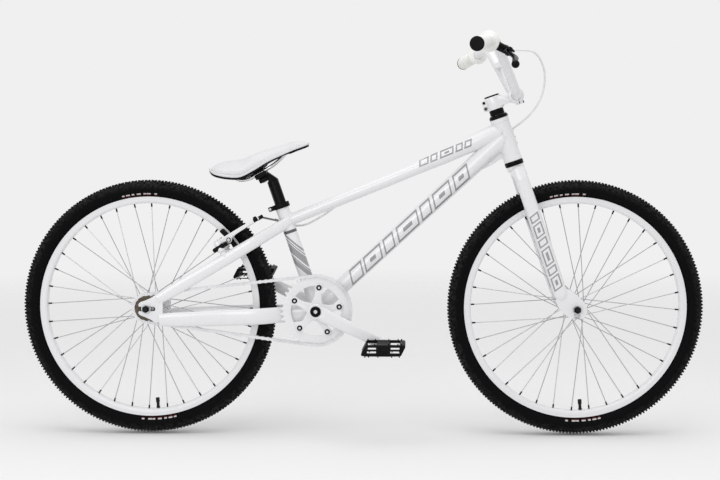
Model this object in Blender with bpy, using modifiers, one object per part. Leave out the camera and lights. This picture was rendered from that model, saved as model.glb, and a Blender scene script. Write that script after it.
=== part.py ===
"""A 24 inch BMX race cruiser, built as separate pieces in metres.

+X points forward, +Y to the rider's left and +Z up. The origin is on the ground, halfway
between the axles. The bicycle's right side, with the chain, faces -Y.
"""
import math

import bmesh
import bpy
from mathutils import Matrix, Vector
from mathutils.geometry import interpolate_bezier

# Driving dimensions

fit_gap = 0.0003
running_gap = 0.0005

wheelbase = 0.997
wheel_radius = 0.298
wheel_facets = 28

tyre_width = 0.046
tread_width = 0.015
tyre_wall = 0.0032
bead_width = 0.0037

rim_width = 0.027
rim_wall = 0.0017
tyre_height = 0.0390
rim_channel_depth = 0.0087
rim_depth = 0.0160
rim_inner_width = 0.019
valve_radius = 0.0030
valve_length = 0.0255
valve_angle = math.radians(-86.3)

spoke_radius = 0.0010
spokes_per_side = 18
spoke_crossing = math.radians(60)
first_nipple_angle = math.radians(88.7)
nipple_stagger = 0.0040

axle_radius = 0.0050
axle_end = 0.0065
nut_width = 0.0150
nut_thickness = 0.0085
washer_radius = 0.0110
washer_thickness = 0.0020

hub_body_radius = 0.0140
hub_flange_radius = 0.0240
hub_hole_radius = 0.0200
hub_flange_thickness = 0.0030
hub_end_radius = 0.0090
front_hub_width = 0.1000
front_flange_offset = 0.0310
rear_hub_width = 0.1100
rear_flange_offset_right = 0.0270
rear_flange_offset_left = 0.0340
freewheel_thread_radius = 0.0147

chain_pitch = 0.0127
ring_teeth = 40
cog_teeth = 16
chainline = 0.0420
chain_width = 0.0086
chain_height = 0.0084
sprocket_thickness = 0.0030
freewheel_body_radius = 0.0225
freewheel_inner_face = 0.0330
freewheel_outer_face = 0.0485

chainstay_length = 0.3935
bottom_bracket_drop = 0.0050
shell_width = 0.0680
shell_radius = 0.0210
shell_bore = 0.0174
cup_flange_radius = 0.0200
cup_flange_thickness = 0.0030

spindle_radius = 0.0095
crank_length = 0.1750
crank_angle = math.radians(-25.5)
crank_boss_radius = 0.0180
spider_thickness = 0.0060
bolt_circle_radius = 0.0550
ring_inner_radius = 0.0470
arm_thickness = 0.0150
arm_outset = 0.0120
pedal_eye_radius = 0.0145
crank_bolt_radius = 0.0120
crank_bolt_height = 0.0030

pedal_axle_radius = 0.0065
pedal_collar_radius = 0.0095
pedal_collar_length = 0.0050
pedal_length = 0.1000
pedal_width = 0.0920
pedal_height = 0.0260
pedal_barrel_radius = 0.0115
pedal_rail = 0.0120
pedal_cheek = 0.0100
pedal_lean = 0.0110

head_angle = math.radians(71)
head_tube_length = 0.1040
head_tube_radius = 0.0222
head_tube_bore = 0.0180
lower_stack = 0.0110
upper_cover_height = 0.0090
spacer_height = 0.0130
spacer_radius = 0.0170
headset_sleeve_depth = 0.0120
steerer_radius = 0.0143
steerer_bore = 0.0120

fork_length = 0.3600
fork_rake = 0.0260
fork_end_drop = 0.0350
fork_leg_depth = 0.0340
fork_leg_width = 0.0250
fork_tyre_clearance = 0.0100
dropout_thickness = 0.0060
dropout_slot = 0.0053

seat_angle = math.radians(71)
seat_tube_length = 0.2620
seat_tube_radius = 0.0160
seat_post_radius = 0.0136
seat_post_insert = 0.0900
seat_post_shown = 0.0577
collar_wall = 0.0035
collar_height = 0.0120
collar_ear = 0.0130
collar_slit = 0.0020
collar_bolt_radius = 0.0026

top_tube_radius = 0.0140
top_tube_head_radius = 0.0220
down_tube_radius = 0.0188
down_tube_head_radius = 0.0215
top_tube_rear_height = 0.2180
top_tube_front_height = 0.0674
down_tube_front_height = 0.0600
gusset_thickness = 0.0080

chainstay_height = 0.0380
chainstay_width = 0.0160
seatstay_height = 0.0290
seatstay_width = 0.0140
stay_tyre_clearance = 0.0085
seatstay_joint_height = 0.2145
bridge_radius = 0.0070

stem_height = 0.0300
stem_clamp_wall = 0.0060
stem_reach = 0.0530
stem_width = 0.0480
bar_clamp_wall = 0.0065
faceplate_gap = 0.0015
faceplate_split = 0.0020
top_cap_height = 0.0035

bar_radius = 0.0111
bar_lean = math.radians(64.6)
bar_rise = 0.1305
bar_half_width = 0.3600
bar_clamp_half = 0.0500
bar_corner = 0.1500
bar_backsweep = math.radians(15)
bar_upsweep = 0.0010
bar_lower_bend = 0.0500
bar_upper_bend = 0.0550
crossbar_height = 0.0820
crossbar_radius = 0.0080

grip_radius = 0.0160
grip_length = 0.1350
grip_flange_radius = 0.0235
grip_flange_thickness = 0.0040
plug_radius = 0.0158
plug_thickness = 0.0030

lever_clamp_radius = 0.0160
lever_clamp_length = 0.0140
lever_droop = math.radians(-30)
lever_pivot_ahead = 0.0450
lever_pivot_inboard = 0.0200
lever_blade_length = 0.1250
lever_blade_reach = 0.0860

cable_radius = 0.0025
noodle_radius = 0.0024
cable_standoff = 0.0052
guide_length = 0.0080
guide_wall = 0.0017

brake_post_spacing = 0.0850
brake_post_radius = 0.0040
brake_boss_radius = 0.0070
brake_pad_drop = 0.0095
brake_pad_along = 0.0275
brake_pad_below = 0.0080
brake_pad_eye_radius = 0.0072
brake_arm_length = 0.1130
brake_arm_width = 0.0100
brake_arm_thickness = 0.0060
brake_boss_height = 0.0190
brake_arm_plane = 0.0430
brake_barrel_radius = 0.0080
brake_pad_gap = 0.0028
brake_pad_thickness = 0.0100
brake_pad_height = 0.0120
brake_pad_length = 0.0600
brake_pad_curve = 0.0018
brake_pad_washer_radius = 0.0065
brake_pad_post_radius = 0.0030

rail_radius = 0.0035
rail_spacing = 0.0440
saddle_tilt = math.radians(30)
saddle_clamp_length = 0.0290
saddle_clamp_width = 0.0560
saddle_clamp_height = 0.0075
saddle_bolt_radius = 0.0040
saddle_bolt_seat = 0.0190
saddle_bolt_head_radius = 0.0068
saddle_bolt_head_height = 0.0045
saddle_cradle_height = 0.0115
saddle_clamp_back = 0.0280
saddle_clamp_rise = 0.0170
saddle_length = 0.2290
saddle_half_width = 0.0700
saddle_crown = 0.0400
saddle_shell_rim = 0.0055
saddle_shell_wall = 0.0030

# Sizes that follow from the dimensions

rim_flange_radius = wheel_radius - tyre_height
rim_bed_radius = rim_flange_radius - rim_channel_depth
rim_inner_radius = rim_flange_radius - rim_depth

# Directions and places that follow from the dimensions

forward = Vector((1, 0, 0))
left = Vector((0, 1, 0))
up = Vector((0, 0, 1))
steer_up = Vector((-math.cos(head_angle), 0, math.sin(head_angle)))
steer_ahead = Vector((math.sin(head_angle), 0, math.cos(head_angle)))
seat_up = Vector((-math.cos(seat_angle), 0, math.sin(seat_angle)))
seat_ahead = Vector((math.sin(seat_angle), 0, math.cos(seat_angle)))

rear_axle_at = Vector((-wheelbase / 2, 0, wheel_radius))
front_axle_at = Vector((wheelbase / 2, 0, wheel_radius))
chainstay_run = math.sqrt(chainstay_length**2 - bottom_bracket_drop**2)
bracket_at = rear_axle_at + Vector((chainstay_run, 0, -bottom_bracket_drop))

crown_at = front_axle_at - steer_ahead * fork_rake + steer_up * fork_length
head_base = crown_at + steer_up * lower_stack
head_top = head_base + steer_up * head_tube_length
stem_base = head_top + steer_up * (upper_cover_height + spacer_height + 2 * fit_gap)
stem_middle = stem_base + steer_up * (stem_height / 2)
bar_centre = stem_middle + steer_ahead * stem_reach

seat_tube_top = bracket_at + seat_up * seat_tube_length
top_tube_rear = bracket_at + seat_up * top_tube_rear_height
top_tube_front = head_base + steer_up * top_tube_front_height
down_tube_front = head_base + steer_up * down_tube_front_height

ring_pitch_radius = chain_pitch / (2 * math.sin(math.pi / ring_teeth))
cog_pitch_radius = chain_pitch / (2 * math.sin(math.pi / cog_teeth))
ring_disc_radius = ring_pitch_radius - chain_height / 2 - running_gap
cog_disc_radius = cog_pitch_radius - chain_height / 2 - running_gap

rear_dropout_y = rear_hub_width / 2 + dropout_thickness / 2
front_dropout_y = front_hub_width / 2 + dropout_thickness / 2

facet_step = 2 * math.pi / wheel_facets
facet_stretch = 1 / math.cos(facet_step / 2)

materials = {
    "white_paint": ((0.86, 0.86, 0.87), 0.28, 0.0),
    "pale_grip": ((0.74, 0.75, 0.71), 0.45, 0.0),
    "black_metal": ((0.020, 0.020, 0.022), 0.40, 0.6),
    "black_plastic": ((0.022, 0.022, 0.024), 0.55, 0.0),
    "tyre_rubber": ((0.028, 0.028, 0.030), 0.80, 0.0),
    "tube_rubber": ((0.018, 0.018, 0.019), 0.70, 0.0),
    "silver": ((0.62, 0.63, 0.65), 0.30, 1.0),
    "bright_steel": ((0.70, 0.70, 0.72), 0.22, 1.0),
    "pale_chain": ((0.72, 0.72, 0.74), 0.35, 0.8),
    "saddle_vinyl": ((0.84, 0.84, 0.84), 0.45, 0.0),
    "cable_sheath": ((0.60, 0.61, 0.63), 0.50, 0.0),
}

bike = bpy.data.collections.new("bmx_cruiser")


def clear_scene():
    """Empty the scene and link the bicycle's collection to it."""
    for thing in list(bpy.data.objects):
        bpy.data.objects.remove(thing, do_unlink=True)
    bpy.context.scene.collection.children.link(bike)


def material(name):
    """The Principled material of that name, made on first use."""
    if name in bpy.data.materials:
        return bpy.data.materials[name]
    made = bpy.data.materials.new(name)
    made.use_nodes = True
    colour, roughness, metallic = materials[name]
    shader = made.node_tree.nodes["Principled BSDF"]
    shader.inputs["Base Color"].default_value = (*colour, 1)
    shader.inputs["Roughness"].default_value = roughness
    shader.inputs["Metallic"].default_value = metallic
    made.diffuse_color = (*colour, 1)
    return made


def from_bmesh(shape, name="piece"):
    """A new object in the bicycle's collection that holds a bmesh."""
    bmesh.ops.recalc_face_normals(shape, faces=shape.faces)
    mesh = bpy.data.meshes.new(name)
    shape.to_mesh(mesh)
    shape.free()
    made = bpy.data.objects.new(name, mesh)
    bike.objects.link(made)
    return made


def name_part(piece, name, finish):
    """Give a finished piece its name, its material and smooth round surfaces."""
    piece.name = name
    piece.data.name = name
    piece.data.materials.clear()
    piece.data.materials.append(material(finish))
    piece.data.shade_smooth()
    piece.data.set_sharp_from_angle(angle=math.radians(32))
    return piece


def as_mesh(thing):
    """Turn a curve, or an object with modifiers, into a plain closed mesh."""
    depsgraph = bpy.context.evaluated_depsgraph_get()
    mesh = bpy.data.meshes.new_from_object(thing.evaluated_get(depsgraph))
    shape = bmesh.new()
    shape.from_mesh(mesh)
    shape.transform(thing.matrix_world)
    bmesh.ops.remove_doubles(shape, verts=shape.verts, dist=1e-6)
    bpy.data.meshes.remove(mesh)
    bpy.data.objects.remove(thing, do_unlink=True)
    return from_bmesh(shape)


def facing(direction):
    """The rotation that turns +Z to a direction and keeps X in the upright plane."""
    axis = direction.normalized()
    side = axis.cross(left)
    if side.length < 1e-6:
        side = forward.copy()
    side.normalize()
    return Matrix((side, axis.cross(side), axis)).transposed().to_4x4()


def rod(start, end, radius, end_radius=None, sides=18, twist=0.0):
    """A round bar, or a cone, between two points."""
    place = Matrix.Translation((start + end) / 2) @ facing(end - start)
    shape = bmesh.new()
    bmesh.ops.create_cone(
        shape,
        cap_ends=True,
        segments=sides,
        radius1=radius,
        radius2=radius if end_radius is None else end_radius,
        depth=(end - start).length,
        matrix=place @ Matrix.Rotation(twist, 4, "Z"),
    )
    return from_bmesh(shape)


def gathered(pieces):
    """Pieces that don't touch one another, as one object."""
    shape = bmesh.new()
    for piece in pieces:
        shape.from_mesh(piece.data)
        bpy.data.objects.remove(piece, do_unlink=True)
    return from_bmesh(shape)


def block(centre, size, tilt=0.0):
    """A box. A positive tilt raises its +X end."""
    shape = bmesh.new()
    place = Matrix.Translation(centre) @ Matrix.Rotation(-tilt, 4, "Y")
    bmesh.ops.create_cube(shape, size=1, matrix=place @ Matrix.Diagonal((*size, 1)))
    return from_bmesh(shape)


def oval(centre, tall, wide, sides=12, first=0.0):
    """A ring of points: an ellipse with the given half axes. The first corner may be turned."""
    turns = [first + 2 * math.pi * n / sides for n in range(sides)]
    return [centre + tall * math.cos(t) + wide * math.sin(t) for t in turns]


def loft(rings):
    """A closed body through rings of points, with flat ends."""
    shape = bmesh.new()
    rows = [[shape.verts.new(p) for p in ring] for ring in rings]
    for row, after in zip(rows, rows[1:]):
        for n in range(len(row)):
            m = (n + 1) % len(row)
            shape.faces.new((row[n], row[m], after[m], after[n]))
    shape.faces.new(rows[0][::-1])
    shape.faces.new(rows[-1])
    return from_bmesh(shape)


def bar_through(stations, sides=12):
    """An oval bar through (centre, height, width) stations, with flats at its full height."""
    half_turn = math.pi / sides
    stretch = 1 / math.cos(half_turn)
    rings = []
    for n, (centre, height, width) in enumerate(stations):
        before = stations[max(n - 1, 0)][0]
        after = stations[min(n + 1, len(stations) - 1)][0]
        run = after - before
        run.y = 0
        tall = run.normalized().cross(left) * (stretch * height / 2)
        rings.append(oval(centre, tall, left * (stretch * width / 2), sides, half_turn))
    return loft(rings)


def plate(outlines, y, thickness):
    """A flat plate in the XZ plane. The first outline is its edge and the others are holes."""
    curve = bpy.data.curves.new("plate", "CURVE")
    curve.dimensions = "2D"
    curve.fill_mode = "BOTH"
    curve.extrude = thickness / 2
    for outline in outlines:
        spline = curve.splines.new("POLY")
        spline.points.add(len(outline) - 1)
        spline.use_cyclic_u = True
        for corner, p in zip(spline.points, outline):
            corner.co = (p.x, p.z, 0, 1)
    made = bpy.data.objects.new("plate", curve)
    bike.objects.link(made)
    made.rotation_euler.x = math.pi / 2
    made.location.y = y
    bpy.context.view_layer.update()
    return as_mesh(made)


def tube_along(points, radius, resolution=2):
    """A round tube on a poly curve, with its ends filled."""
    curve = bpy.data.curves.new("tube", "CURVE")
    curve.dimensions = "3D"
    curve.bevel_depth = radius
    curve.bevel_resolution = resolution
    curve.use_fill_caps = True
    spline = curve.splines.new("POLY")
    spline.points.add(len(points) - 1)
    for corner, p in zip(spline.points, points):
        corner.co = (*p, 1)
    made = bpy.data.objects.new("tube", curve)
    bike.objects.link(made)
    bpy.context.view_layer.update()
    return as_mesh(made)


def turned(profile, centre, axis, steps, closed=False):
    """A turned shape: (radius, height) pairs spun round an axis through the centre.

    A closed profile makes a ring, such as a tyre. An open one starts and ends on the axis.
    """
    mesh = bpy.data.meshes.new("turned")
    points = [(radius, 0, height) for radius, height in profile]
    edges = [(n, n + 1) for n in range(len(points) - 1)]
    if closed:
        edges.append((len(points) - 1, 0))
    mesh.from_pydata(points, edges, [])
    made = bpy.data.objects.new("turned", mesh)
    bike.objects.link(made)
    screw = made.modifiers.new("turn", "SCREW")
    screw.steps = steps
    screw.render_steps = steps
    screw.use_merge_vertices = True
    screw.merge_threshold = 0.00001
    screw.use_smooth_shade = False
    half_step = Matrix.Rotation(math.pi / steps, 4, "Z")
    made.matrix_world = Matrix.Translation(centre) @ facing(axis) @ half_step
    bpy.context.view_layer.update()
    return as_mesh(made)


def combine(base, others, operation):
    """Join others to a piece, or cut them from it, and delete them."""
    for other in others:
        step = base.modifiers.new(operation.lower(), "BOOLEAN")
        step.operation = operation
        step.solver = "EXACT"
        step.object = other
    bpy.context.view_layer.update()
    made = as_mesh(base)
    for other in others:
        bpy.data.objects.remove(other, do_unlink=True)
    return made


def join(base, *others):
    """One body made of overlapping pieces."""
    return combine(base, others, "UNION")


def cut(base, *others):
    """A piece with others cut away."""
    return combine(base, others, "DIFFERENCE")


def at(place, x=0.0, y=0.0, z=0.0):
    """A point beside a place."""
    return place + Vector((x, y, z))


def in_wheel(centre, radius, angle, y=0.0):
    """A point in a wheel's plane, with its angle measured from +X towards +Z."""
    return centre + Vector((radius * math.cos(angle), y, radius * math.sin(angle)))


def circle(centre, radius, sides=16):
    """The points of a circle in the XZ plane."""
    return [in_wheel(centre, radius, 2 * math.pi * n / sides) for n in range(sides)]


def arc(centre, radius, start, end, steps):
    """The points of an arc in the XZ plane, from one angle to another."""
    return [
        in_wheel(centre, radius, start + (end - start) * n / steps)
        for n in range(steps + 1)
    ]


def smooth_path(knots, spacing):
    """Points about one spacing apart on a smooth curve through the knots."""
    gaps = [(after - before).length for before, after in zip(knots, knots[1:])]
    slopes = [(knots[1] - knots[0]) / gaps[0]]
    for n in range(1, len(gaps)):
        arriving = (knots[n] - knots[n - 1]) * (gaps[n] / gaps[n - 1])
        leaving = (knots[n + 1] - knots[n]) * (gaps[n - 1] / gaps[n])
        slopes.append((arriving + leaving) / (gaps[n - 1] + gaps[n]))
    slopes.append((knots[-1] - knots[-2]) / gaps[-1])
    found = [knots[0]]
    for n, gap in enumerate(gaps):
        start, end = knots[n], knots[n + 1]
        handle = start + slopes[n] * (gap / 3)
        far_handle = end - slopes[n + 1] * (gap / 3)
        steps = max(1, round(gap / spacing))
        found += interpolate_bezier(start, handle, far_handle, end, steps + 1)[1:]
    return found


def rounded(corners, radii, steps=5):
    """A path of straight runs whose inner corners are rounded to the given radii."""
    path = [corners[0]]
    for before, corner, after, radius in zip(corners, corners[1:], corners[2:], radii):
        back = (before - corner).normalized()
        on = (after - corner).normalized()
        half = back.angle(on) / 2
        centre = corner + (back + on).normalized() * (radius / math.sin(half))
        first = corner + back * (radius / math.tan(half)) - centre
        last = corner + on * (radius / math.tan(half)) - centre
        sweep = first.angle(last)
        for n in range(steps + 1):
            t = n / steps
            first_share = math.sin((1 - t) * sweep) / math.sin(sweep)
            last_share = math.sin(t * sweep) / math.sin(sweep)
            path.append(centre + first * first_share + last * last_share)
    path.append(corners[-1])
    return path


# Wheels


def ring_of_wheel(profile, centre):
    """A ring with its flats where the profile's radii say, and one flat on the ground."""
    stretched = [(radius * facet_stretch, y) for radius, y in profile]
    return turned(stretched, centre, left, wheel_facets, closed=True)


def both_sides(half):
    """A closed profile from the (radius, y) points of its half at +Y, outermost point first."""
    return [*half[::-1], *[(radius, -y) for radius, y in half]]


tyre_half = tyre_width / 2
bead_outer = rim_width / 2 - rim_wall - fit_gap
bead_inner = bead_outer - bead_width
bead_radius = rim_bed_radius + fit_gap
tyre_middle = (wheel_radius + rim_flange_radius) / 2


def tyre_profile():
    """The tyre's closed section: outside from +Y to -Y, then back inside its wall."""
    outside = [
        (wheel_radius, tread_width / 2),
        (tyre_middle + 0.17 * tyre_height, tyre_half - 0.0010),
        (tyre_middle - 0.22 * tyre_height, tyre_half - 0.0005),
        (rim_flange_radius + 0.0008, bead_outer),
        (bead_radius, bead_outer),
    ]
    inside = [
        (bead_radius, bead_inner),
        (rim_flange_radius + 0.0020, bead_inner),
        (tyre_middle - 0.05 * tyre_height, tyre_half - tyre_wall - 0.0005),
        (wheel_radius - tyre_wall, tread_width / 2 - 0.0008),
    ]
    around = both_sides(outside)
    return around + [(r, -y) for r, y in inside] + [(r, y) for r, y in inside[::-1]]


def rim_profile():
    """The rim's closed section, with the channel that the tyre's beads sit in."""
    channel = rim_width / 2 - rim_wall
    outer_side = [
        (rim_bed_radius, channel),
        (rim_flange_radius, channel),
        (rim_flange_radius, rim_width / 2),
        (rim_inner_radius + 0.0045, rim_width / 2 - 0.0010),
        (rim_inner_radius, rim_inner_width / 2),
    ]
    return [(r, -y) for r, y in outer_side] + [(r, y) for r, y in outer_side[::-1]]


def inner_tube_profile():
    """The blown-up inner tube's closed section."""
    half = [
        (wheel_radius - tyre_wall - fit_gap, tread_width / 2 - 0.0015),
        (tyre_middle - 0.05 * tyre_height, tyre_half - tyre_wall - 0.0012),
        (rim_flange_radius + 0.0030, bead_inner - 0.0010),
    ]
    return both_sides(half)


def make_tyre(name, centre):
    name_part(ring_of_wheel(tyre_profile(), centre), name, "tyre_rubber")


def make_rim(name, centre):
    ring = ring_of_wheel(rim_profile(), centre)
    hole = rod(
        in_wheel(centre, rim_inner_radius - 0.004, valve_angle),
        in_wheel(centre, rim_bed_radius + 0.004, valve_angle),
        valve_radius + fit_gap,
        sides=12,
    )
    name_part(cut(ring, hole), name, "white_paint")


def make_inner_tube(name, centre):
    ring = ring_of_wheel(inner_tube_profile(), centre)
    stem = rod(
        in_wheel(centre, rim_flange_radius + 0.006, valve_angle),
        in_wheel(centre, rim_inner_radius - valve_length, valve_angle),
        valve_radius,
        sides=12,
    )
    name_part(join(ring, stem), name, "tube_rubber")


def make_spokes(name, centre, flange_y, first_angle):
    """The laced spokes of one flange. They touch where they cross, so they are one body.

    Half of them lean forward and half of them back, by three crossings.
    """
    side = math.copysign(1, flange_y)
    start_y = flange_y + side * (hub_flange_thickness / 2 + 2 * spoke_radius)
    end_radius = rim_inner_radius - 2 * fit_gap
    halves = []
    for first, lean, twist in ((0, -spoke_crossing, 0), (1, spoke_crossing, math.pi / 3)):
        spokes = []
        for n in range(first, spokes_per_side, 2):
            angle = first_angle + n * 2 * math.pi / spokes_per_side
            start = in_wheel(centre, hub_hole_radius, angle + lean, start_y)
            end = in_wheel(centre, end_radius, angle, side * nipple_stagger)
            spokes.append(rod(start, end, spoke_radius, sides=3, twist=twist))
        halves.append(gathered(spokes))
    name_part(join(*halves), name, "bright_steel")


def hub_profile(right_flange, left_flange, width, right_end):
    """The (radius, height) profile of a hub about +Y, with its bore."""
    bore = axle_radius + fit_gap
    half = hub_flange_thickness / 2
    side = [
        (hub_end_radius, width / 2 - fit_gap),
        (hub_end_radius, left_flange + half + 0.006),
        (hub_body_radius, left_flange + half + 0.0005),
        (hub_flange_radius, left_flange + half),
        (hub_flange_radius, left_flange - half),
        (hub_body_radius, left_flange - half - 0.0015),
        (hub_body_radius, -right_flange + half + 0.0015),
        (hub_flange_radius, -right_flange + half),
        (hub_flange_radius, -right_flange - half),
    ]
    inside = [(bore, -width / 2 + fit_gap), (bore, width / 2 - fit_gap)]
    return side + right_end + inside


def make_front_hub():
    half = hub_flange_thickness / 2
    right_end = [
        (hub_body_radius, -front_flange_offset - half - 0.0005),
        (hub_end_radius, -front_flange_offset - half - 0.006),
        (hub_end_radius, -front_hub_width / 2 + fit_gap),
    ]
    profile = hub_profile(
        front_flange_offset, front_flange_offset, front_hub_width, right_end
    )
    hub = turned(profile, front_axle_at, left, 12, closed=True)
    name_part(hub, "front_hub", "silver")


def make_rear_hub():
    half = hub_flange_thickness / 2
    right_end = [
        (freewheel_thread_radius, -rear_flange_offset_right - half),
        (freewheel_thread_radius, -freewheel_outer_face + 0.003),
        (hub_end_radius, -freewheel_outer_face + 0.003),
        (hub_end_radius, -rear_hub_width / 2 + fit_gap),
    ]
    profile = hub_profile(
        rear_flange_offset_right, rear_flange_offset_left, rear_hub_width, right_end
    )
    hub = turned(profile, rear_axle_at, left, 12, closed=True)
    name_part(hub, "rear_hub", "silver")


def make_axle_set(end, centre, hub_width):
    """A solid axle and the two flanged nuts that hold it in the dropouts."""
    nut_inside = hub_width / 2 + dropout_thickness + fit_gap
    nut_outside = nut_inside + washer_thickness + nut_thickness
    reach = nut_outside + axle_end
    axle = rod(at(centre, y=-reach), at(centre, y=reach), axle_radius, sides=14)
    name_part(axle, f"{end}_axle", "bright_steel")
    corner_radius = nut_width / math.sqrt(3)
    for side, word in ((-1, "right"), (1, "left")):
        washer_end = nut_inside + washer_thickness
        washer = rod(
            at(centre, y=side * nut_inside),
            at(centre, y=side * washer_end),
            washer_radius,
            sides=12,
        )
        nut = rod(
            at(centre, y=side * (washer_end - 0.001)),
            at(centre, y=side * nut_outside),
            corner_radius,
            sides=6,
        )
        bore = rod(
            at(centre, y=side * (nut_inside - 0.002)),
            at(centre, y=side * (nut_outside + 0.002)),
            axle_radius + 2 * fit_gap,
            sides=10,
        )
        both = cut(join(washer, nut), bore)
        name_part(both, f"{end}_axle_nut_{word}", "black_metal")


def make_wheels():
    for end, centre in (("front", front_axle_at), ("rear", rear_axle_at)):
        make_tyre(f"{end}_tyre", centre)
        make_rim(f"{end}_rim", centre)
        make_inner_tube(f"{end}_inner_tube", centre)
    make_front_hub()
    make_rear_hub()
    between = math.pi / spokes_per_side
    flanges = {
        "front_spokes_right": (front_axle_at, -front_flange_offset, 0),
        "front_spokes_left": (front_axle_at, front_flange_offset, between),
        "rear_spokes_right": (rear_axle_at, -rear_flange_offset_right, 0),
        "rear_spokes_left": (rear_axle_at, rear_flange_offset_left, between),
    }
    for name, (centre, flange_y, turn) in flanges.items():
        make_spokes(name, centre, flange_y, first_nipple_angle + turn)
    make_axle_set("front", front_axle_at, front_hub_width)
    make_axle_set("rear", rear_axle_at, rear_hub_width)


# Frame

seatstay_front = bracket_at + seat_up * seatstay_joint_height
seatstay_rear = at(rear_axle_at, 0.028, 0, 0.022)
seatstay_run = (seatstay_front - seatstay_rear).normalized()
seatstay_above = Vector((-seatstay_run.z, 0, seatstay_run.x))
pad_above_stay = brake_arm_plane - brake_pad_below
stay_at_tyre = tyre_half + stay_tyre_clearance


def place_of_pivot():
    """How far up the seat stay the brake's pivots sit, so that the pads meet the rim."""
    foot = seatstay_rear - rear_axle_at
    above = foot.dot(seatstay_above) + pad_above_stay
    pad_radius = rim_flange_radius - brake_pad_drop
    return math.sqrt(pad_radius**2 - above**2) - foot.dot(seatstay_run) - brake_pad_along


brake_pivot_along = place_of_pivot()


def stay_stations(side):
    """The chain stay's and the seat stay's stations on one side."""
    end_y = side * rear_dropout_y
    tyre_y = side * (stay_at_tyre + chainstay_width / 2)
    chain = [
        (at(rear_axle_at, 0.030, end_y, -0.0255), 0.028, 0.0115),
        (at(rear_axle_at, 0.062, end_y - side * 0.0020, -0.0250), 0.033, 0.0125),
        (at(rear_axle_at, 0.190, tyre_y + side * 0.0040, -0.0215), chainstay_height, 0.0150),
        (at(rear_axle_at, 0.272, tyre_y, -0.0185), chainstay_height, chainstay_width),
        (at(rear_axle_at, 0.306, tyre_y - side * 0.0130, -0.0170), 0.037, chainstay_width),
        (at(bracket_at, -0.040, side * 0.0250, -0.0105), 0.034, chainstay_width),
        (at(bracket_at, -0.008, side * 0.0245, -0.0030), 0.030, chainstay_width),
    ]
    tyre_y = side * (stay_at_tyre + seatstay_width / 2)
    post_y = side * brake_post_spacing / 2
    seat = [
        (seatstay_rear + left * end_y, 0.024, 0.0115),
        (seatstay_rear + seatstay_run * 0.045 + left * (end_y - side * 0.004), seatstay_height, 0.0125),
        (seatstay_rear + seatstay_run * brake_pivot_along + left * post_y, seatstay_height, seatstay_width),
        (seatstay_rear + seatstay_run * 0.262 + left * tyre_y, 0.028, seatstay_width),
        (seatstay_rear + seatstay_run * 0.300 + left * (tyre_y - side * 0.0115), 0.027, seatstay_width),
        (seatstay_front + seatstay_run * 0.004 + left * side * 0.0130, 0.026, seatstay_width),
    ]
    return chain, seat


def dropout_outline():
    """The rear dropout's edge. Its slot opens to the rear."""
    slot_end = arc(at(rear_axle_at, 0.016), dropout_slot, math.pi / 2, -math.pi / 2, 6)
    lower_rim = [
        at(rear_axle_at, -0.0165, 0, -dropout_slot),
        at(rear_axle_at, -0.0185, 0, -dropout_slot - 0.003),
        at(rear_axle_at, -0.0120, 0, -0.0190),
        at(rear_axle_at, 0.0220, 0, -0.0330),
        at(rear_axle_at, 0.0370, 0, -0.0250),
        at(rear_axle_at, 0.0385, 0, -0.0110),
    ]
    upper_rim = [
        at(rear_axle_at, 0.0385, 0, 0.0110),
        at(rear_axle_at, 0.0370, 0, 0.0280),
        at(rear_axle_at, 0.0240, 0, 0.0350),
        at(rear_axle_at, -0.0120, 0, 0.0200),
        at(rear_axle_at, -0.0185, 0, dropout_slot + 0.003),
        at(rear_axle_at, -0.0165, 0, dropout_slot),
    ]
    return slot_end + lower_rim + upper_rim


def top_tube_stations():
    """The top tube swells towards the head tube. Its lower edge stays straight."""
    run = top_tube_front - top_tube_rear
    swell = top_tube_head_radius - top_tube_radius
    stations = []
    for share, grown in ((0, 0), (0.25, 0), (0.55, 0.03), (0.785, 0.43), (0.93, 0.92), (1, 1)):
        size = 2 * (top_tube_radius + swell * grown)
        rise = up * (swell * grown * run.length / run.x)
        stations.append((top_tube_rear + run * share + rise, size, size * 0.96))
    return stations


def cable_guide(place, run):
    """A short ring for the brake cable's sheath."""
    half = run.normalized() * (guide_length / 2)
    return rod(place - half, place + half, cable_radius + fit_gap + guide_wall, sides=8)


def brake_boss(side):
    """The stud on a seat stay that a brake arm turns on."""
    foot = seatstay_rear + seatstay_run * brake_pivot_along
    foot = foot + left * (side * brake_post_spacing / 2)
    stud_top = brake_arm_plane + brake_arm_thickness / 2 + 0.0015
    boss = rod(foot, foot + seatstay_above * brake_boss_height, brake_boss_radius, sides=12)
    stud = rod(foot, foot + seatstay_above * stud_top, brake_post_radius, sides=12)
    return [boss, stud]


def gusset():
    """The plate under the joint of the down tube and the head tube."""
    run = (bracket_at - down_tube_front).normalized()
    below = Vector((-run.z, 0, run.x))
    corner = head_base + steer_up * 0.012
    edge = down_tube_front + below * down_tube_head_radius
    outline = [
        corner,
        corner - steer_ahead * (head_tube_radius + 0.004),
        edge + run * 0.050 + below * 0.009,
        edge + run * 0.072 + below * 0.006,
        edge + run * 0.095 - below * 0.003,
        down_tube_front + run * 0.060,
        down_tube_front,
    ]
    hole = circle(edge + run * 0.068 + below * 0.0015, 0.0022, 8)
    return plate([outline, hole], 0, gusset_thickness)


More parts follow.
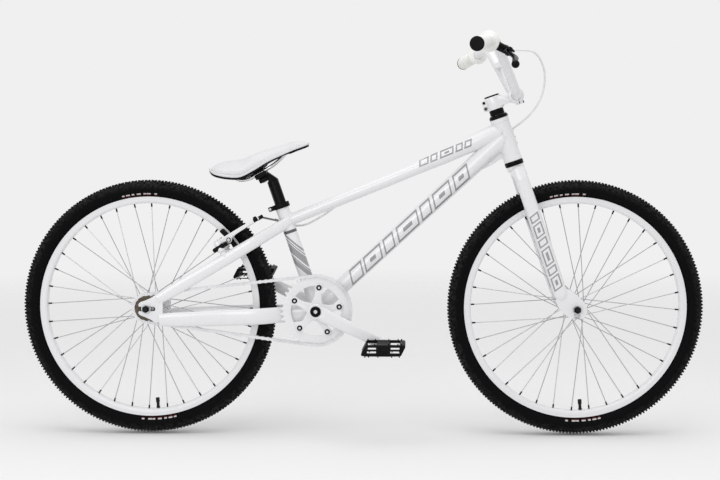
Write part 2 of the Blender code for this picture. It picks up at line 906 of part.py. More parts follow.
def make_frame():
    head = rod(head_base, head_top, head_tube_radius, sides=20)
    top = bar_through(top_tube_stations(), sides=12)
    down_end = bracket_at + (down_tube_front - bracket_at).normalized() * 0.008
    down = rod(down_end, down_tube_front, down_tube_radius, down_tube_head_radius, sides=16)
    seat = rod(bracket_at, seat_tube_top, seat_tube_radius, sides=18)
    shell = rod(
        at(bracket_at, y=-shell_width / 2),
        at(bracket_at, y=shell_width / 2),
        shell_radius,
        sides=18,
    )
    pieces = [top, down, seat, shell, gusset()]
    for side in (-1, 1):
        chain, seat_side = stay_stations(side)
        pieces.append(bar_through(chain, sides=8))
        pieces.append(bar_through(seat_side, sides=10))
        pieces.append(plate([dropout_outline()], side * rear_dropout_y, dropout_thickness))
        pieces += brake_boss(side)
    seat_bridge = seatstay_rear + seatstay_run * 0.305
    chain_bridge = at(rear_axle_at, 0.322, 0, -0.016)
    for place, half in ((seat_bridge, 0.024), (chain_bridge, 0.024)):
        pieces.append(rod(at(place, y=-half), at(place, y=half), bridge_radius, sides=10))
    for place, run in guide_places():
        pieces.append(cable_guide(place, run))
    frame = join(head, *pieces)
    bores = [
        rod(head_base - steer_up * 0.01, head_top + steer_up * 0.01, head_tube_bore, sides=20),
        rod(
            seat_tube_top - seat_up * (seat_post_insert + 0.004),
            seat_tube_top + seat_up * 0.01,
            seat_post_radius + fit_gap,
            sides=18,
        ),
        rod(
            at(bracket_at, y=-shell_width),
            at(bracket_at, y=shell_width),
            shell_bore,
            sides=20,
        ),
    ]
    for place, run in guide_places():
        half = run.normalized() * guide_length
        bores.append(rod(place - half, place + half, cable_radius + 2 * fit_gap, sides=8))
    name_part(cut(frame, *bores), "frame", "white_paint")


# Brake cable


def beside_top_tube(share):
    """A point on the brake cable's line along the left of the top tube."""
    stations = top_tube_stations()
    run = top_tube_front - top_tube_rear
    place = top_tube_rear + run * share
    swell = [(s[0] - top_tube_rear).dot(run) / run.length_squared for s in stations]
    for n in range(len(stations) - 1):
        if swell[n] <= share <= swell[n + 1]:
            t = (share - swell[n]) / (swell[n + 1] - swell[n])
            place = stations[n][0].lerp(stations[n + 1][0], t)
            size = stations[n][2] + (stations[n + 1][2] - stations[n][2]) * t
    outward = Vector((0, math.cos(0.5), -math.sin(0.5)))
    return place + outward * (size / 2 + cable_standoff - cable_radius / 2)


def guide_places():
    """Where the cable guides sit on the top tube, and which way each points."""
    shares = (0.82, 0.56, 0.28)
    step = 0.03
    return [
        (beside_top_tube(share), beside_top_tube(share + step) - beside_top_tube(share - step))
        for share in shares
    ]


def make_front_cable():
    """The cable's free loop from the lever to the first guide on the frame."""
    guide, run = guide_places()[0]
    run = run.normalized()
    end = guide + run * (guide_length / 2 + 0.002)
    barrel_out = lever_forward * 0.35 - grip_out("right") * 0.94
    start = lever_barrel_end() + barrel_out.normalized() * (cable_radius * 0.2 + fit_gap)
    knots = [
        start,
        start + barrel_out * 0.020,
        Vector((0.3950, -0.0930, 0.8820)),
        Vector((0.4110, -0.0640, 0.8640)),
        Vector((0.4200, -0.0400, 0.8420)),
        Vector((0.4215, -0.0200, 0.8150)),
        Vector((0.4130, 0.0000, 0.7800)),
        Vector((0.3930, 0.0180, 0.7490)),
        Vector((0.3640, 0.0330, 0.7230)),
        end + run * 0.026 + left * 0.005,
        end + run * 0.008,
        end,
    ]
    tube = tube_along(smooth_path(knots, 0.018), cable_radius, 1)
    name_part(tube, "brake_cable_front", "cable_sheath")


def make_rear_cable():
    """The sheath clipped along the frame, from the first guide to the brake's noodle."""
    guide, run = guide_places()[0]
    knots = [guide + run.normalized() * (guide_length / 2 + 0.002 - fit_gap)]
    knots += [beside_top_tube(share) for share in (0.82, 0.69, 0.56, 0.42, 0.28, 0.265)]
    knots += [
        Vector((-0.0960, 0.0230, 0.5090)),
        Vector((-0.1400, 0.0380, 0.4880)),
        Vector((-0.1750, 0.0560, 0.4880)),
        noodle_end + noodle_run * 0.010,
        noodle_end + noodle_run * 2 * fit_gap,
    ]
    tube = tube_along(smooth_path(knots, 0.018), cable_radius, 1)
    name_part(tube, "brake_cable_rear", "cable_sheath")


# Saddle and seat post

seat_post_top = seat_tube_top + seat_up * seat_post_shown
saddle_clamp_at = at(seat_post_top, -saddle_clamp_back, 0, saddle_clamp_rise)
rail_run = Vector((math.cos(saddle_tilt), 0, math.sin(saddle_tilt)))
rail_above = Vector((-math.sin(saddle_tilt), 0, math.cos(saddle_tilt)))


def make_seat_post():
    foot = seat_tube_top - seat_up * seat_post_insert
    post = rod(foot, seat_post_top - seat_up * 0.001, seat_post_radius, sides=18)
    cradle_top = saddle_clamp_at - rail_above * fit_gap
    cradle = block(
        cradle_top - rail_above * (saddle_cradle_height / 2),
        (saddle_clamp_length, saddle_clamp_width, saddle_cradle_height),
        saddle_tilt,
    )
    bolt_seat = saddle_clamp_at - rail_above * saddle_bolt_seat
    head_outline = [
        cradle_top - rail_above * 0.004 - rail_run * 0.0120,
        bolt_seat - rail_run * 0.0100,
        bolt_seat + rail_run * 0.0100,
        seat_post_top - seat_up * 0.0120 - seat_ahead * (seat_post_radius - 0.0010),
        seat_post_top - seat_up * 0.0120 + seat_ahead * (seat_post_radius - 0.0010),
        seat_post_top + seat_ahead * (seat_post_radius - 0.0010),
        cradle_top - rail_above * 0.0020 + rail_run * (saddle_clamp_length / 2 - 0.0005),
    ]
    whole = join(post, cradle, plate([head_outline], 0, 2 * seat_post_radius - 0.003))
    grooves = [rail_groove(side) for side in (-1, 1)]
    name_part(cut(whole, *grooves, saddle_bolt_hole()), "seat_post", "black_metal")


def rail_groove(side):
    """The cutter for the groove that a saddle rail lies in."""
    middle = saddle_clamp_at + left * (side * rail_spacing / 2)
    reach = rail_run * saddle_clamp_length
    return rod(middle - reach, middle + reach, rail_radius + fit_gap, sides=12)


def saddle_bolt_hole():
    """The cutter for the clamp bolt's hole."""
    return rod(
        saddle_clamp_at - rail_above * 0.03,
        saddle_clamp_at + rail_above * 0.03,
        saddle_bolt_radius + fit_gap,
        sides=12,
    )


def make_saddle_clamp():
    top = block(
        saddle_clamp_at + rail_above * (saddle_clamp_height / 2 + fit_gap),
        (saddle_clamp_length - 0.002, saddle_clamp_width, saddle_clamp_height),
        saddle_tilt,
    )
    grooves = [rail_groove(side) for side in (-1, 1)]
    name_part(cut(top, *grooves, saddle_bolt_hole()), "saddle_clamp", "black_metal")


def make_saddle_clamp_bolt():
    top = saddle_clamp_at + rail_above * (saddle_clamp_height + fit_gap)
    seat = saddle_clamp_at - rail_above * (saddle_bolt_seat + fit_gap)
    shank = rod(seat - rail_above * 0.001, top, saddle_bolt_radius, sides=12)
    head_foot = seat - rail_above * saddle_bolt_head_height
    head = rod(head_foot, seat, saddle_bolt_head_radius, sides=12)
    name_part(join(shank, head), "saddle_clamp_bolt", "bright_steel")


saddle_stations = (
    # shares: along and height of the seam of the length, half width, crown
    (-0.507, 0.035, 0.400, 0.100),
    (-0.476, 0.002, 0.671, 0.400),
    (-0.419, -0.035, 0.886, 0.675),
    (-0.301, -0.061, 1.000, 0.950),
    (-0.175, -0.037, 0.986, 1.000),
    (-0.044, 0.031, 0.800, 0.925),
    (0.087, 0.114, 0.571, 0.688),
    (0.223, 0.179, 0.414, 0.550),
    (0.354, 0.236, 0.329, 0.450),
    (0.450, 0.275, 0.257, 0.325),
    (0.493, 0.295, 0.157, 0.150),
)
cover_outline = (
    # share of the half width, share of the crown's height
    (-0.95, 0.00),
    (-1.00, 0.20),
    (-0.95, 0.46),
    (-0.78, 0.74),
    (-0.44, 0.94),
    (0.00, 1.00),
    (0.44, 0.94),
    (0.78, 0.74),
    (0.95, 0.46),
    (1.00, 0.20),
    (0.95, 0.00),
    (0.00, 0.00),
)
shell_outline = (
    # share of the half width, depth below the seam in metres
    (-0.97, saddle_shell_rim),
    (-0.97, fit_gap),
    (0.97, fit_gap),
    (0.97, saddle_shell_rim),
    (0.88, saddle_shell_rim),
    (0.82, saddle_shell_wall),
    (-0.82, saddle_shell_wall),
    (-0.88, saddle_shell_rim),
)


def make_saddle():
    """The padded cover on its shell. Both follow the same stations."""
    cover_rings = []
    shell_rings = []
    for along, seam, half, crown in saddle_stations:
        middle = at(saddle_clamp_at, along * saddle_length, 0, seam * saddle_length)
        wide = half * saddle_half_width
        tall = crown * saddle_crown
        cover_rings.append([at(middle, 0, y * wide, z * tall) for y, z in cover_outline])
        shell_rings.append([at(middle, 0, y * wide, -z) for y, z in shell_outline])
    name_part(loft(cover_rings), "saddle_cover", "saddle_vinyl")
    name_part(loft(shell_rings), "saddle_shell", "black_plastic")


def under_saddle(share, y, drop=0.0):
    """A rail's point below the shell, from its share of the saddle's length and its place across."""
    for before, after in zip(saddle_stations, saddle_stations[1:]):
        if before[0] <= share <= after[0]:
            t = (share - before[0]) / (after[0] - before[0])
            seam = (before[1] + (after[1] - before[1]) * t) * saddle_length
    below = saddle_shell_wall + rail_radius + 2 * fit_gap + drop
    return at(saddle_clamp_at, share * saddle_length, y, seam - below)


def make_saddle_rails():
    """One steel wire bent under the nose. Its ends lie under the saddle's rear."""
    beside_clamp = saddle_clamp_at + left * (rail_spacing / 2)
    straight = saddle_clamp_length / 2 + 0.001
    side_knots = [
        under_saddle(-0.367, rail_spacing * 0.64),
        under_saddle(-0.301, rail_spacing * 0.625, 0.0005),
        beside_clamp - rail_run * 0.0260,
        beside_clamp - rail_run * straight,
        beside_clamp,
        beside_clamp + rail_run * straight,
        beside_clamp + rail_run * 0.0300,
        under_saddle(0.218, rail_spacing * 0.27, 0.0030),
        under_saddle(0.288, rail_spacing * 0.16),
        under_saddle(0.306, 0),
    ]
    flip = Matrix.Scale(-1, 3, left)
    other = [flip @ p for p in side_knots[-2::-1]]
    wire = tube_along(smooth_path(side_knots + other, 0.018), rail_radius, 1)
    name_part(wire, "saddle_rails", "bright_steel")


def make_seat_clamp():
    """The collar round the seat tube's top, slit at the rear between two ears."""
    top = seat_tube_top + seat_up * 0.0005
    foot = top - seat_up * collar_height
    outer = seat_tube_radius + fit_gap + collar_wall
    ring = rod(foot, top, outer, sides=20)
    middle = (top + foot) / 2
    ear_middle = middle - seat_ahead * (outer + collar_ear / 2 - 0.003)
    ears = block(
        ear_middle,
        (collar_ear + 0.003, 0.0160, collar_height - 0.001),
        math.pi / 2 - seat_angle,
    )
    ring = join(ring, ears)
    bore = rod(foot - seat_up * 0.01, top + seat_up * 0.01, seat_tube_radius + fit_gap, sides=20)
    slit = block(
        ear_middle,
        (collar_ear * 2.4, collar_slit, collar_height * 2),
        math.pi / 2 - seat_angle,
    )
    bolt_at = middle - seat_ahead * (outer + collar_ear * 0.55)
    hole = rod(
        at(bolt_at, y=-0.02), at(bolt_at, y=0.02), collar_bolt_radius + fit_gap, sides=10
    )
    name_part(cut(ring, bore, slit, hole), "seat_clamp", "black_metal")
    shank = rod(at(bolt_at, y=-0.0100), at(bolt_at, y=0.0085), collar_bolt_radius, sides=10)
    head = rod(
        at(bolt_at, y=-0.0080 - fit_gap), at(bolt_at, y=-0.0125), 0.0047, sides=10
    )
    name_part(join(shank, head), "seat_clamp_bolt", "bright_steel")


# Headset, fork, stem and bars


def make_headset():
    """Each bearing cup has a sleeve that is pressed into the head tube."""
    bore = steerer_radius + fit_gap
    sleeve = head_tube_bore - fit_gap
    lower = [
        (bore, headset_sleeve_depth),
        (sleeve, headset_sleeve_depth),
        (sleeve, -fit_gap),
        (head_tube_radius, -fit_gap),
        (head_tube_radius, -lower_stack + fit_gap),
        (bore, -lower_stack + fit_gap),
    ]
    part = turned(lower, head_base, steer_up, 16, closed=True)
    name_part(part, "headset_cup_lower", "black_metal")
    upper = [
        (bore, upper_cover_height),
        (head_tube_radius - 0.002, upper_cover_height),
        (head_tube_radius, upper_cover_height - 0.003),
        (head_tube_radius, fit_gap),
        (sleeve, fit_gap),
        (sleeve, -headset_sleeve_depth),
        (bore, -headset_sleeve_depth),
    ]
    part = turned(upper, head_top, steer_up, 16, closed=True)
    name_part(part, "headset_cup_upper", "black_metal")
    spacer_foot = upper_cover_height + fit_gap
    spacer = [
        (bore, spacer_foot + spacer_height),
        (spacer_radius, spacer_foot + spacer_height),
        (spacer_radius, spacer_foot),
        (bore, spacer_foot),
    ]
    part = turned(spacer, head_top, steer_up, 16, closed=True)
    name_part(part, "headset_spacer", "black_metal")


def fork_leg(side):
    """One fork leg, from the crown's shoulder to the dropout."""
    inner = tyre_half + fork_tyre_clearance
    leg_y = side * (inner + fork_leg_width / 2)
    end_y = side * front_dropout_y
    depth, width = fork_leg_depth, fork_leg_width
    length = fork_length - fork_end_drop
    down = [
        (0.008, leg_y - side * 0.008, 0.88 * depth, 0.90 * width),
        (0.030, leg_y - side * 0.002, 0.91 * depth, width),
        (0.070, leg_y, 0.95 * depth, width),
        (length * 0.62, leg_y + side * 0.002, depth, width),
        (length - 0.035, leg_y + side * 0.004, 0.96 * depth, 0.84 * width),
        (length - 0.008, end_y, 0.90 * depth, 0.60 * width),
        (length, end_y, 0.60 * depth, 0.40 * width),
    ]
    rings = [
        oval(
            crown_at - steer_up * drop + steer_ahead * 0.002 + left * y,
            steer_ahead * tall / 2,
            left * wide / 2,
            8,
        )
        for drop, y, tall, wide in down
    ]
    return loft(rings)


def fork_dropout_outline():
    """The fork dropout's edge. Its slot opens downwards."""
    slot = arc(front_axle_at, dropout_slot, 0, math.pi, 6)
    rest = [
        at(front_axle_at, -dropout_slot + 0.003, 0, -0.0220),
        at(front_axle_at, -0.0130, 0, -0.0210),
        at(front_axle_at, -0.0340, 0, -0.0060),
        at(front_axle_at, -0.0490, 0, 0.0180),
        at(front_axle_at, -0.0460, 0, 0.0480),
        at(front_axle_at, -0.0180, 0, 0.0470),
        at(front_axle_at, 0.0060, 0, 0.0280),
        at(front_axle_at, 0.0200, 0, 0.0110),
        at(front_axle_at, 0.0230, 0, -0.0030),
        at(front_axle_at, 0.0170, 0, -0.0180),
        at(front_axle_at, dropout_slot + 0.003, 0, -0.0220),
    ]
    return slot + rest


def make_fork():
    """The steerer, crown, legs and dropouts, welded into one piece."""
    steerer_top = stem_base + steer_up * (stem_height - 0.003)
    steerer = rod(crown_at - steer_up * 0.020, steerer_top, steerer_radius, sides=16)
    race = rod(crown_at - steer_up * 0.012, crown_at, head_tube_radius - 0.002, sides=16)
    shoulder = tyre_half + fork_tyre_clearance + fork_leg_width * 0.45
    crown_rings = [
        oval(
            crown_at - steer_up * drop + steer_ahead * 0.002 + left * y,
            steer_ahead * 0.0165,
            steer_up * tall / 2,
            12,
        )
        for y, drop, tall in (
            (-shoulder, 0.022, 0.022),
            (-0.024, 0.016, 0.030),
            (0.024, 0.016, 0.030),
            (shoulder, 0.022, 0.022),
        )
    ]
    pieces = [race, loft(crown_rings)]
    for side in (-1, 1):
        pieces.append(fork_leg(side))
        pieces.append(
            plate([fork_dropout_outline()], side * front_dropout_y, dropout_thickness)
        )
    fork = join(steerer, *pieces)
    bore = rod(
        crown_at - steer_up * 0.060, steerer_top + steer_up * 0.01, steerer_bore, sides=14
    )
    name_part(cut(fork, bore), "fork", "white_paint")


def stem_body(rear_half):
    """The stem's solid, or with rear_half False its faceplate, before the bores."""
    clamp_radius = bar_radius + fit_gap + bar_clamp_wall
    half = stem_width / 2
    bar_clamp = rod(
        at(bar_centre, y=-half), at(bar_centre, y=half), clamp_radius, sides=18
    )
    lugs = block(
        bar_centre + steer_ahead * 0.003,
        (0.0150, stem_width - 0.004, 2 * clamp_radius + 0.0090),
        math.pi / 2 - head_angle,
    )
    front = join(bar_clamp, lugs)
    depth = 4 * clamp_radius
    away_side = 1 if rear_half else -1
    offset = faceplate_split + away_side * (depth - faceplate_gap) / 2
    away = block(
        bar_centre + steer_ahead * offset,
        (depth, 2 * stem_width, 2 * depth),
        math.pi / 2 - head_angle,
    )
    return cut(front, away)


def steerer_bore_cutter():
    """The cutter for the hole that the steerer passes through."""
    foot = stem_base - steer_up * 0.01
    top = stem_base + steer_up * (stem_height + 0.01)
    return rod(foot, top, steerer_radius + fit_gap, sides=20)


def bar_bore_cutter():
    """The cutter for the hole that the handlebar passes through."""
    return rod(
        at(bar_centre, y=-stem_width), at(bar_centre, y=stem_width), bar_radius + fit_gap, sides=16
    )


def make_stem():
    outer = steerer_radius + fit_gap + stem_clamp_wall
    clamp = rod(
        stem_base + steer_up * fit_gap, stem_base + steer_up * stem_height, outer, sides=20
    )
    arm = block(
        stem_middle + steer_ahead * (stem_reach / 2),
        (stem_reach - 0.022, 0.034, stem_height - 0.007),
        math.pi / 2 - head_angle,
    )
    bosses = block(
        stem_middle - steer_ahead * (outer + 0.0010),
        (0.012, 0.022, stem_height - 0.003),
        math.pi / 2 - head_angle,
    )
    slit = block(
        stem_middle - steer_ahead * (outer + 0.006),
        (0.026, 0.002, stem_height * 2),
        math.pi / 2 - head_angle,
    )
    body = join(clamp, arm, bosses, stem_body(True))
    body = cut(body, steerer_bore_cutter(), bar_bore_cutter(), slit)
    name_part(body, "stem", "white_paint")
    face = cut(stem_body(False), bar_bore_cutter())
    name_part(face, "stem_faceplate", "white_paint")


def make_top_cap():
    foot = stem_base + steer_up * (stem_height + fit_gap)
    cap = rod(foot, foot + steer_up * top_cap_height, steerer_radius + 0.0035, sides=18)
    bolt_foot = foot - steer_up * 0.030
    bolt = rod(bolt_foot, foot + steer_up * 0.001, 0.0030, sides=10)
    name_part(join(cap, bolt), "stem_top_cap", "black_metal")


bar_up = Vector((-math.cos(bar_lean), 0, math.sin(bar_lean)))
bar_back = Vector((-math.sin(bar_lean), 0, -math.cos(bar_lean)))
bar_sweep_back = (bar_half_width - bar_corner) * math.tan(bar_backsweep)


def bar_point(y, rise, back=0.0):
    """A point on the handlebar, from its place in the leaning plane of the bar."""
    return bar_centre + left * y + bar_up * rise + bar_back * back


def grip_out(side):
    """The direction in which a grip points, away from the bicycle."""
    sign = -1 if side == "right" else 1
    inner = bar_point(sign * bar_corner, bar_rise)
    outer = bar_point(sign * bar_half_width, bar_rise + bar_upsweep, bar_sweep_back)
    return (outer - inner).normalized()


def bar_end(side):
    sign = -1 if side == "right" else 1
    return bar_point(sign * bar_half_width, bar_rise + bar_upsweep, bar_sweep_back)


def make_handlebar():
    """A bent tube with a crossbar between its uprights."""
    corners = [
        bar_end("right"),
        bar_point(-bar_corner, bar_rise),
        bar_point(-bar_clamp_half, 0),
        bar_point(bar_clamp_half, 0),
        bar_point(bar_corner, bar_rise),
        bar_end("left"),
    ]
    bends = (bar_upper_bend, bar_lower_bend, bar_lower_bend, bar_upper_bend)
    tube = tube_along(rounded(corners, bends, 3), bar_radius, 3)
    share = crossbar_height / bar_rise
    reach = bar_clamp_half + (bar_corner - bar_clamp_half) * share
    cross = rod(
        bar_point(-reach, crossbar_height),
        bar_point(reach, crossbar_height),
        crossbar_radius,
        sides=12,
    )
    name_part(join(tube, cross), "handlebar", "white_paint")


def make_grips():
    for side in ("right", "left"):
        out = grip_out(side)
        end = bar_end(side)
        inner = bar_radius + fit_gap
        foot = -grip_length
        profile = [
            (inner, 0),
            (grip_radius - 0.001, 0),
            (grip_radius, -0.004),
            (grip_radius, foot + grip_flange_thickness + 0.002),
            (grip_flange_radius, foot + grip_flange_thickness),
            (grip_flange_radius, foot),
            (inner, foot),
        ]
        grip = turned(profile, end, out, 14, closed=True)
        name_part(grip, f"grip_{side}", "pale_grip")
        plug = rod(end + out * fit_gap, end + out * plug_thickness, plug_radius, sides=18)
        name_part(plug, f"bar_end_plug_{side}", "black_plastic")


# Brake lever

lever_forward = Vector((math.cos(lever_droop), 0, math.sin(lever_droop)))
lever_out = grip_out("right")
lever_forward = (lever_forward - lever_out * lever_forward.dot(lever_out)).normalized()
lever_axis = lever_forward.cross(lever_out).normalized()
lever_clamp_at = bar_end("right") - lever_out * (
    grip_length + running_gap + lever_clamp_length / 2 + 0.001
)
lever_pivot_at = (
    lever_clamp_at + lever_forward * lever_pivot_ahead - lever_out * lever_pivot_inboard
)


def lever_barrel_end():
    """The inboard end of the cable's barrel adjuster."""
    return lever_clamp_at + lever_forward * 0.034 - lever_out * 0.052


def make_lever_bracket():
    half = lever_out * (lever_clamp_length / 2)
    ring = rod(lever_clamp_at - half, lever_clamp_at + half, lever_clamp_radius, sides=16)
    tall = lever_axis * 0.0095
    body_rings = [
        oval(lever_clamp_at + lever_forward * 0.012, tall, lever_out * 0.0065, 10),
        oval(lever_clamp_at + lever_forward * 0.026 - lever_out * 0.006, tall, lever_out * 0.012, 10),
        oval(lever_pivot_at, tall * 0.95, lever_out * 0.011, 10),
        oval(lever_pivot_at + lever_forward * 0.011, tall * 0.8, lever_out * 0.006, 10),
    ]
    barrel_foot = lever_clamp_at + lever_forward * 0.026 - lever_out * 0.004
    barrel = rod(barrel_foot, lever_barrel_end(), 0.0062, 0.0048, sides=12)
    bracket = join(ring, loft(body_rings), barrel)
    bar_bore = rod(
        lever_clamp_at - lever_out * 0.04,
        lever_clamp_at + lever_out * 0.04,
        bar_radius + fit_gap,
        sides=16,
    )
    fork_slot = block_facing(
        lever_pivot_at + lever_forward * 0.006 + lever_out * 0.004,
        (lever_forward, lever_out, lever_axis),
        (0.030, 0.036, 0.0076),
    )
    name_part(cut(bracket, bar_bore, fork_slot), "brake_lever_bracket", "black_metal")


def block_facing(centre, axes, size):
    """A box along three given directions."""
    turn = Matrix(axes).transposed().to_4x4()
    shape = bmesh.new()
    place = Matrix.Translation(centre) @ turn @ Matrix.Diagonal((*size, 1))
    bmesh.ops.create_cube(shape, size=1, matrix=place)
    return from_bmesh(shape)


def make_brake_lever():
    """The lever's blade, from its pivot to the ball at its tip."""
    tip = lever_pivot_at + lever_out * lever_blade_length + lever_forward * (
        lever_blade_reach - lever_pivot_ahead
    )
    knots = [
        (lever_pivot_at - lever_out * 0.004, 0.0085, 0.0033),
        (lever_pivot_at + lever_out * 0.012 + lever_forward * 0.006, 0.0075, 0.0033),
        (lever_pivot_at + lever_out * 0.040 + lever_forward * 0.024, 0.0050, 0.0050),
        (lever_pivot_at + lever_out * 0.075 + lever_forward * 0.030, 0.0045, 0.0060),
        (tip - lever_out * 0.006, 0.0045, 0.0055),
    ]
    blade = loft([oval(p, lever_forward * a, lever_axis * b, 10) for p, a, b in knots])
    ball_mesh = bmesh.new()
    bmesh.ops.create_uvsphere(
        ball_mesh, u_segments=12, v_segments=8, radius=0.0088, matrix=Matrix.Translation(tip)
    )
    lever = join(blade, from_bmesh(ball_mesh))
    name_part(lever, "brake_lever", "black_metal")


# Rear brake

noodle_end = Vector((-0.2010, 0.0660, 0.4965))
noodle_run = Vector((0.0350, -0.0020, -0.0120)).normalized()


def brake_pivot(side):
    foot = seatstay_rear + seatstay_run * brake_pivot_along
    return foot + seatstay_above * brake_arm_plane + left * (side * brake_post_spacing / 2)


def pad_post_at(side):
    """Where a pad's post crosses its arm."""
    return beside_arm(brake_pivot(side), brake_pad_along, -brake_pad_below)


def beside_arm(pivot, along, above):
    """A point of a brake arm's outline, from its place along and above the arm's middle line."""
    return pivot + seatstay_run * along + seatstay_above * above


def make_brake_arm(side, word):
    """A bar along the stay, with an eye for the pad's post and a barrel that turns on the stud."""
    pivot = brake_pivot(side)
    half = brake_arm_thickness / 2
    barrel_foot = pivot - seatstay_above * (brake_arm_plane - brake_boss_height - fit_gap)
    barrel = rod(barrel_foot, pivot + seatstay_above * half, brake_barrel_radius, sides=12)
    eye = pad_post_at(side)
    slant = math.atan2(seatstay_run.z, seatstay_run.x)
    outline = [
        beside_arm(pivot, -0.0090, half),
        beside_arm(pivot, -0.0090, -half - 0.001),
        beside_arm(pivot, 0.0140, -half - 0.002),
        *arc(eye, brake_pad_eye_radius, slant + math.pi, slant + 2 * math.pi, 6),
        beside_arm(pivot, brake_pad_along + 0.0120, -half - 0.001),
        beside_arm(pivot, brake_arm_length * 0.6, -half),
        beside_arm(pivot, brake_arm_length, -half + 0.001),
        beside_arm(pivot, brake_arm_length, half - 0.001),
        beside_arm(pivot, brake_arm_length * 0.6, half),
    ]
    arm = join(barrel, plate([outline], pivot.y, brake_arm_width))
    stud_bore = rod(
        pivot - seatstay_above * brake_arm_plane,
        pivot + seatstay_above * brake_arm_plane,
        brake_post_radius + fit_gap,
        sides=12,
    )
    post_hole = rod(
        at(eye, y=-brake_arm_width),
        at(eye, y=brake_arm_width),
        brake_pad_post_radius + fit_gap,
        sides=10,
    )
    name_part(cut(arm, stud_bore, post_hole), f"brake_arm_{word}", "white_paint")


def make_brake_pad(side, word):
    """A rubber pad along the rim, with the post, washers and nut that hold it in its arm."""
    post = pad_post_at(side)
    from_axle = post - rear_axle_at
    from_axle.y = 0
    radial = from_axle.normalized()
    along = Vector((-radial.z, 0, radial.x))
    face_y = rim_width / 2 + brake_pad_gap
    face_middle = rear_axle_at + from_axle + left * (side * face_y)
    rings = []
    for share in (-1, -0.5, 0, 0.5, 1):
        middle = face_middle + along * (share * brake_pad_length / 2)
        middle = middle - radial * (brake_pad_curve * share * share)
        thick = brake_pad_thickness * (1 - 0.25 * share * share)
        centre = middle + left * (side * thick / 2)
        tall = radial * (brake_pad_height / 2)
        deep = left * (side * thick / 2)
        corners = ((-1, -1), (1, -1), (1, 1), (-1, 1))
        rings.append([centre + tall * a + deep * b for a, b in corners])
    arm_inside = abs(post.y) - brake_arm_width / 2 - fit_gap
    arm_outside = abs(post.y) + brake_arm_width / 2 + fit_gap
    back_y = face_y + brake_pad_thickness
    post_line = rear_axle_at + from_axle
    lengths = (
        (back_y - 0.004, arm_outside + 0.0060, brake_pad_post_radius),
        (back_y - 0.002, arm_inside, brake_pad_washer_radius),
        (arm_outside, arm_outside + 0.0045, brake_pad_washer_radius - 0.001),
    )
    rounds = [
        rod(at(post_line, y=side * inner), at(post_line, y=side * outer), radius, sides=8)
        for inner, outer, radius in lengths
    ]
    name_part(join(loft(rings), *rounds), f"brake_pad_{word}", "black_plastic")


def make_noodle():
    """The bent pipe that leads the cable into the left brake arm, with its collar."""
    pivot = brake_pivot(1)
    arm_top = beside_arm(pivot, brake_arm_length - 0.006, 0)
    foot = arm_top + left * (brake_arm_width / 2 + fit_gap)
    corner = foot + left * 0.0160
    pipe = tube_along(rounded([foot + left * 0.001, corner, noodle_end], (0.0100,)), noodle_radius)
    collar = rod(foot, foot + left * 0.0060, noodle_radius + 0.0020, sides=10)
    name_part(join(collar, pipe), "brake_noodle", "black_metal")


# Drive


def make_bottom_bracket():
    """Each cup screws into the shell and carries the spindle."""
    bore = spindle_radius + fit_gap
    sleeve = shell_bore - fit_gap
    for side, word in ((-1, "right"), (1, "left")):
        face = shell_width / 2 + fit_gap
        profile = [
            (bore, face + cup_flange_thickness),
            (cup_flange_radius, face + cup_flange_thickness),
            (cup_flange_radius, face),
            (sleeve, face),
            (sleeve, face - 0.020),
            (bore, face - 0.020),
        ]
        cup = turned(profile, bracket_at, left * side, 14, closed=True)
        name_part(cup, f"bottom_bracket_cup_{word}", "black_metal")


spider_y = chainline + sprocket_thickness / 2 + fit_gap + spider_thickness / 2
arm_inner_y = spider_y + spider_thickness / 2 - 0.001
arm_outer_y = arm_inner_y + arm_thickness
pedal_eye_y = arm_outer_y + arm_outset - arm_thickness / 2
crank_run = Vector((math.cos(crank_angle), 0, math.sin(crank_angle)))


def pedal_at(side):
    """The pedal axle's place on its crank arm, at the middle of the arm's eye."""
    sign = -side
    return bracket_at + crank_run * (crank_length * sign) + left * (side * pedal_eye_y)


def make_spindle():
    """The crank spindle and the capped bolts in its ends."""
    reach = arm_outer_y + fit_gap
    spindle = rod(at(bracket_at, y=-reach), at(bracket_at, y=reach), spindle_radius, sides=14)
    caps = [
        rod(
            at(bracket_at, y=side * reach - side * 0.0002),
            at(bracket_at, y=side * (reach + crank_bolt_height)),
            crank_bolt_radius,
            sides=16,
        )
        for side in (-1, 1)
    ]
    name_part(join(spindle, *caps), "crank_spindle", "black_metal")


def crank_arm(side):
    """The arm's solid on one side, before its bores."""
    run = crank_run * -side
    across = Vector((-run.z, 0, run.x))
    inner = arm_inner_y * side
    middle = inner + side * arm_thickness / 2
    eye = pedal_eye_y * side
    stations = [
        (-0.010, middle, 0.0150, arm_thickness / 2),
        (0.012, middle, 0.0155, arm_thickness / 2),
        (0.045, middle + side * 0.002, 0.0135, 0.0070),
        (0.110, middle + (eye - middle) * 0.60, 0.0118, 0.0066),
        (crank_length - 0.016, eye, 0.0120, 0.0064),
        (crank_length + 0.004, eye, 0.0130, 0.0064),
    ]
    rings = []
    for along, y, tall, wide in stations:
        centre = bracket_at + run * along + left * y
        corners = ((1, 0.6), (0.6, 1), (-0.6, 1), (-1, 0.6), (-1, -0.6), (-0.6, -1), (0.6, -1), (1, -0.6))
        rings.append([centre + across * (a * tall) + left * (b * wide) for a, b in corners])
    boss = rod(
        at(bracket_at, y=inner),
        at(bracket_at, y=inner + side * arm_thickness),
        crank_boss_radius,
        sides=18,
    )
    eye_centre = bracket_at + run * crank_length
    eye_ring = rod(
        at(eye_centre, y=eye - 0.0068), at(eye_centre, y=eye + 0.0068), pedal_eye_radius, sides=14
    )
    return join(boss, loft(rings), eye_ring)


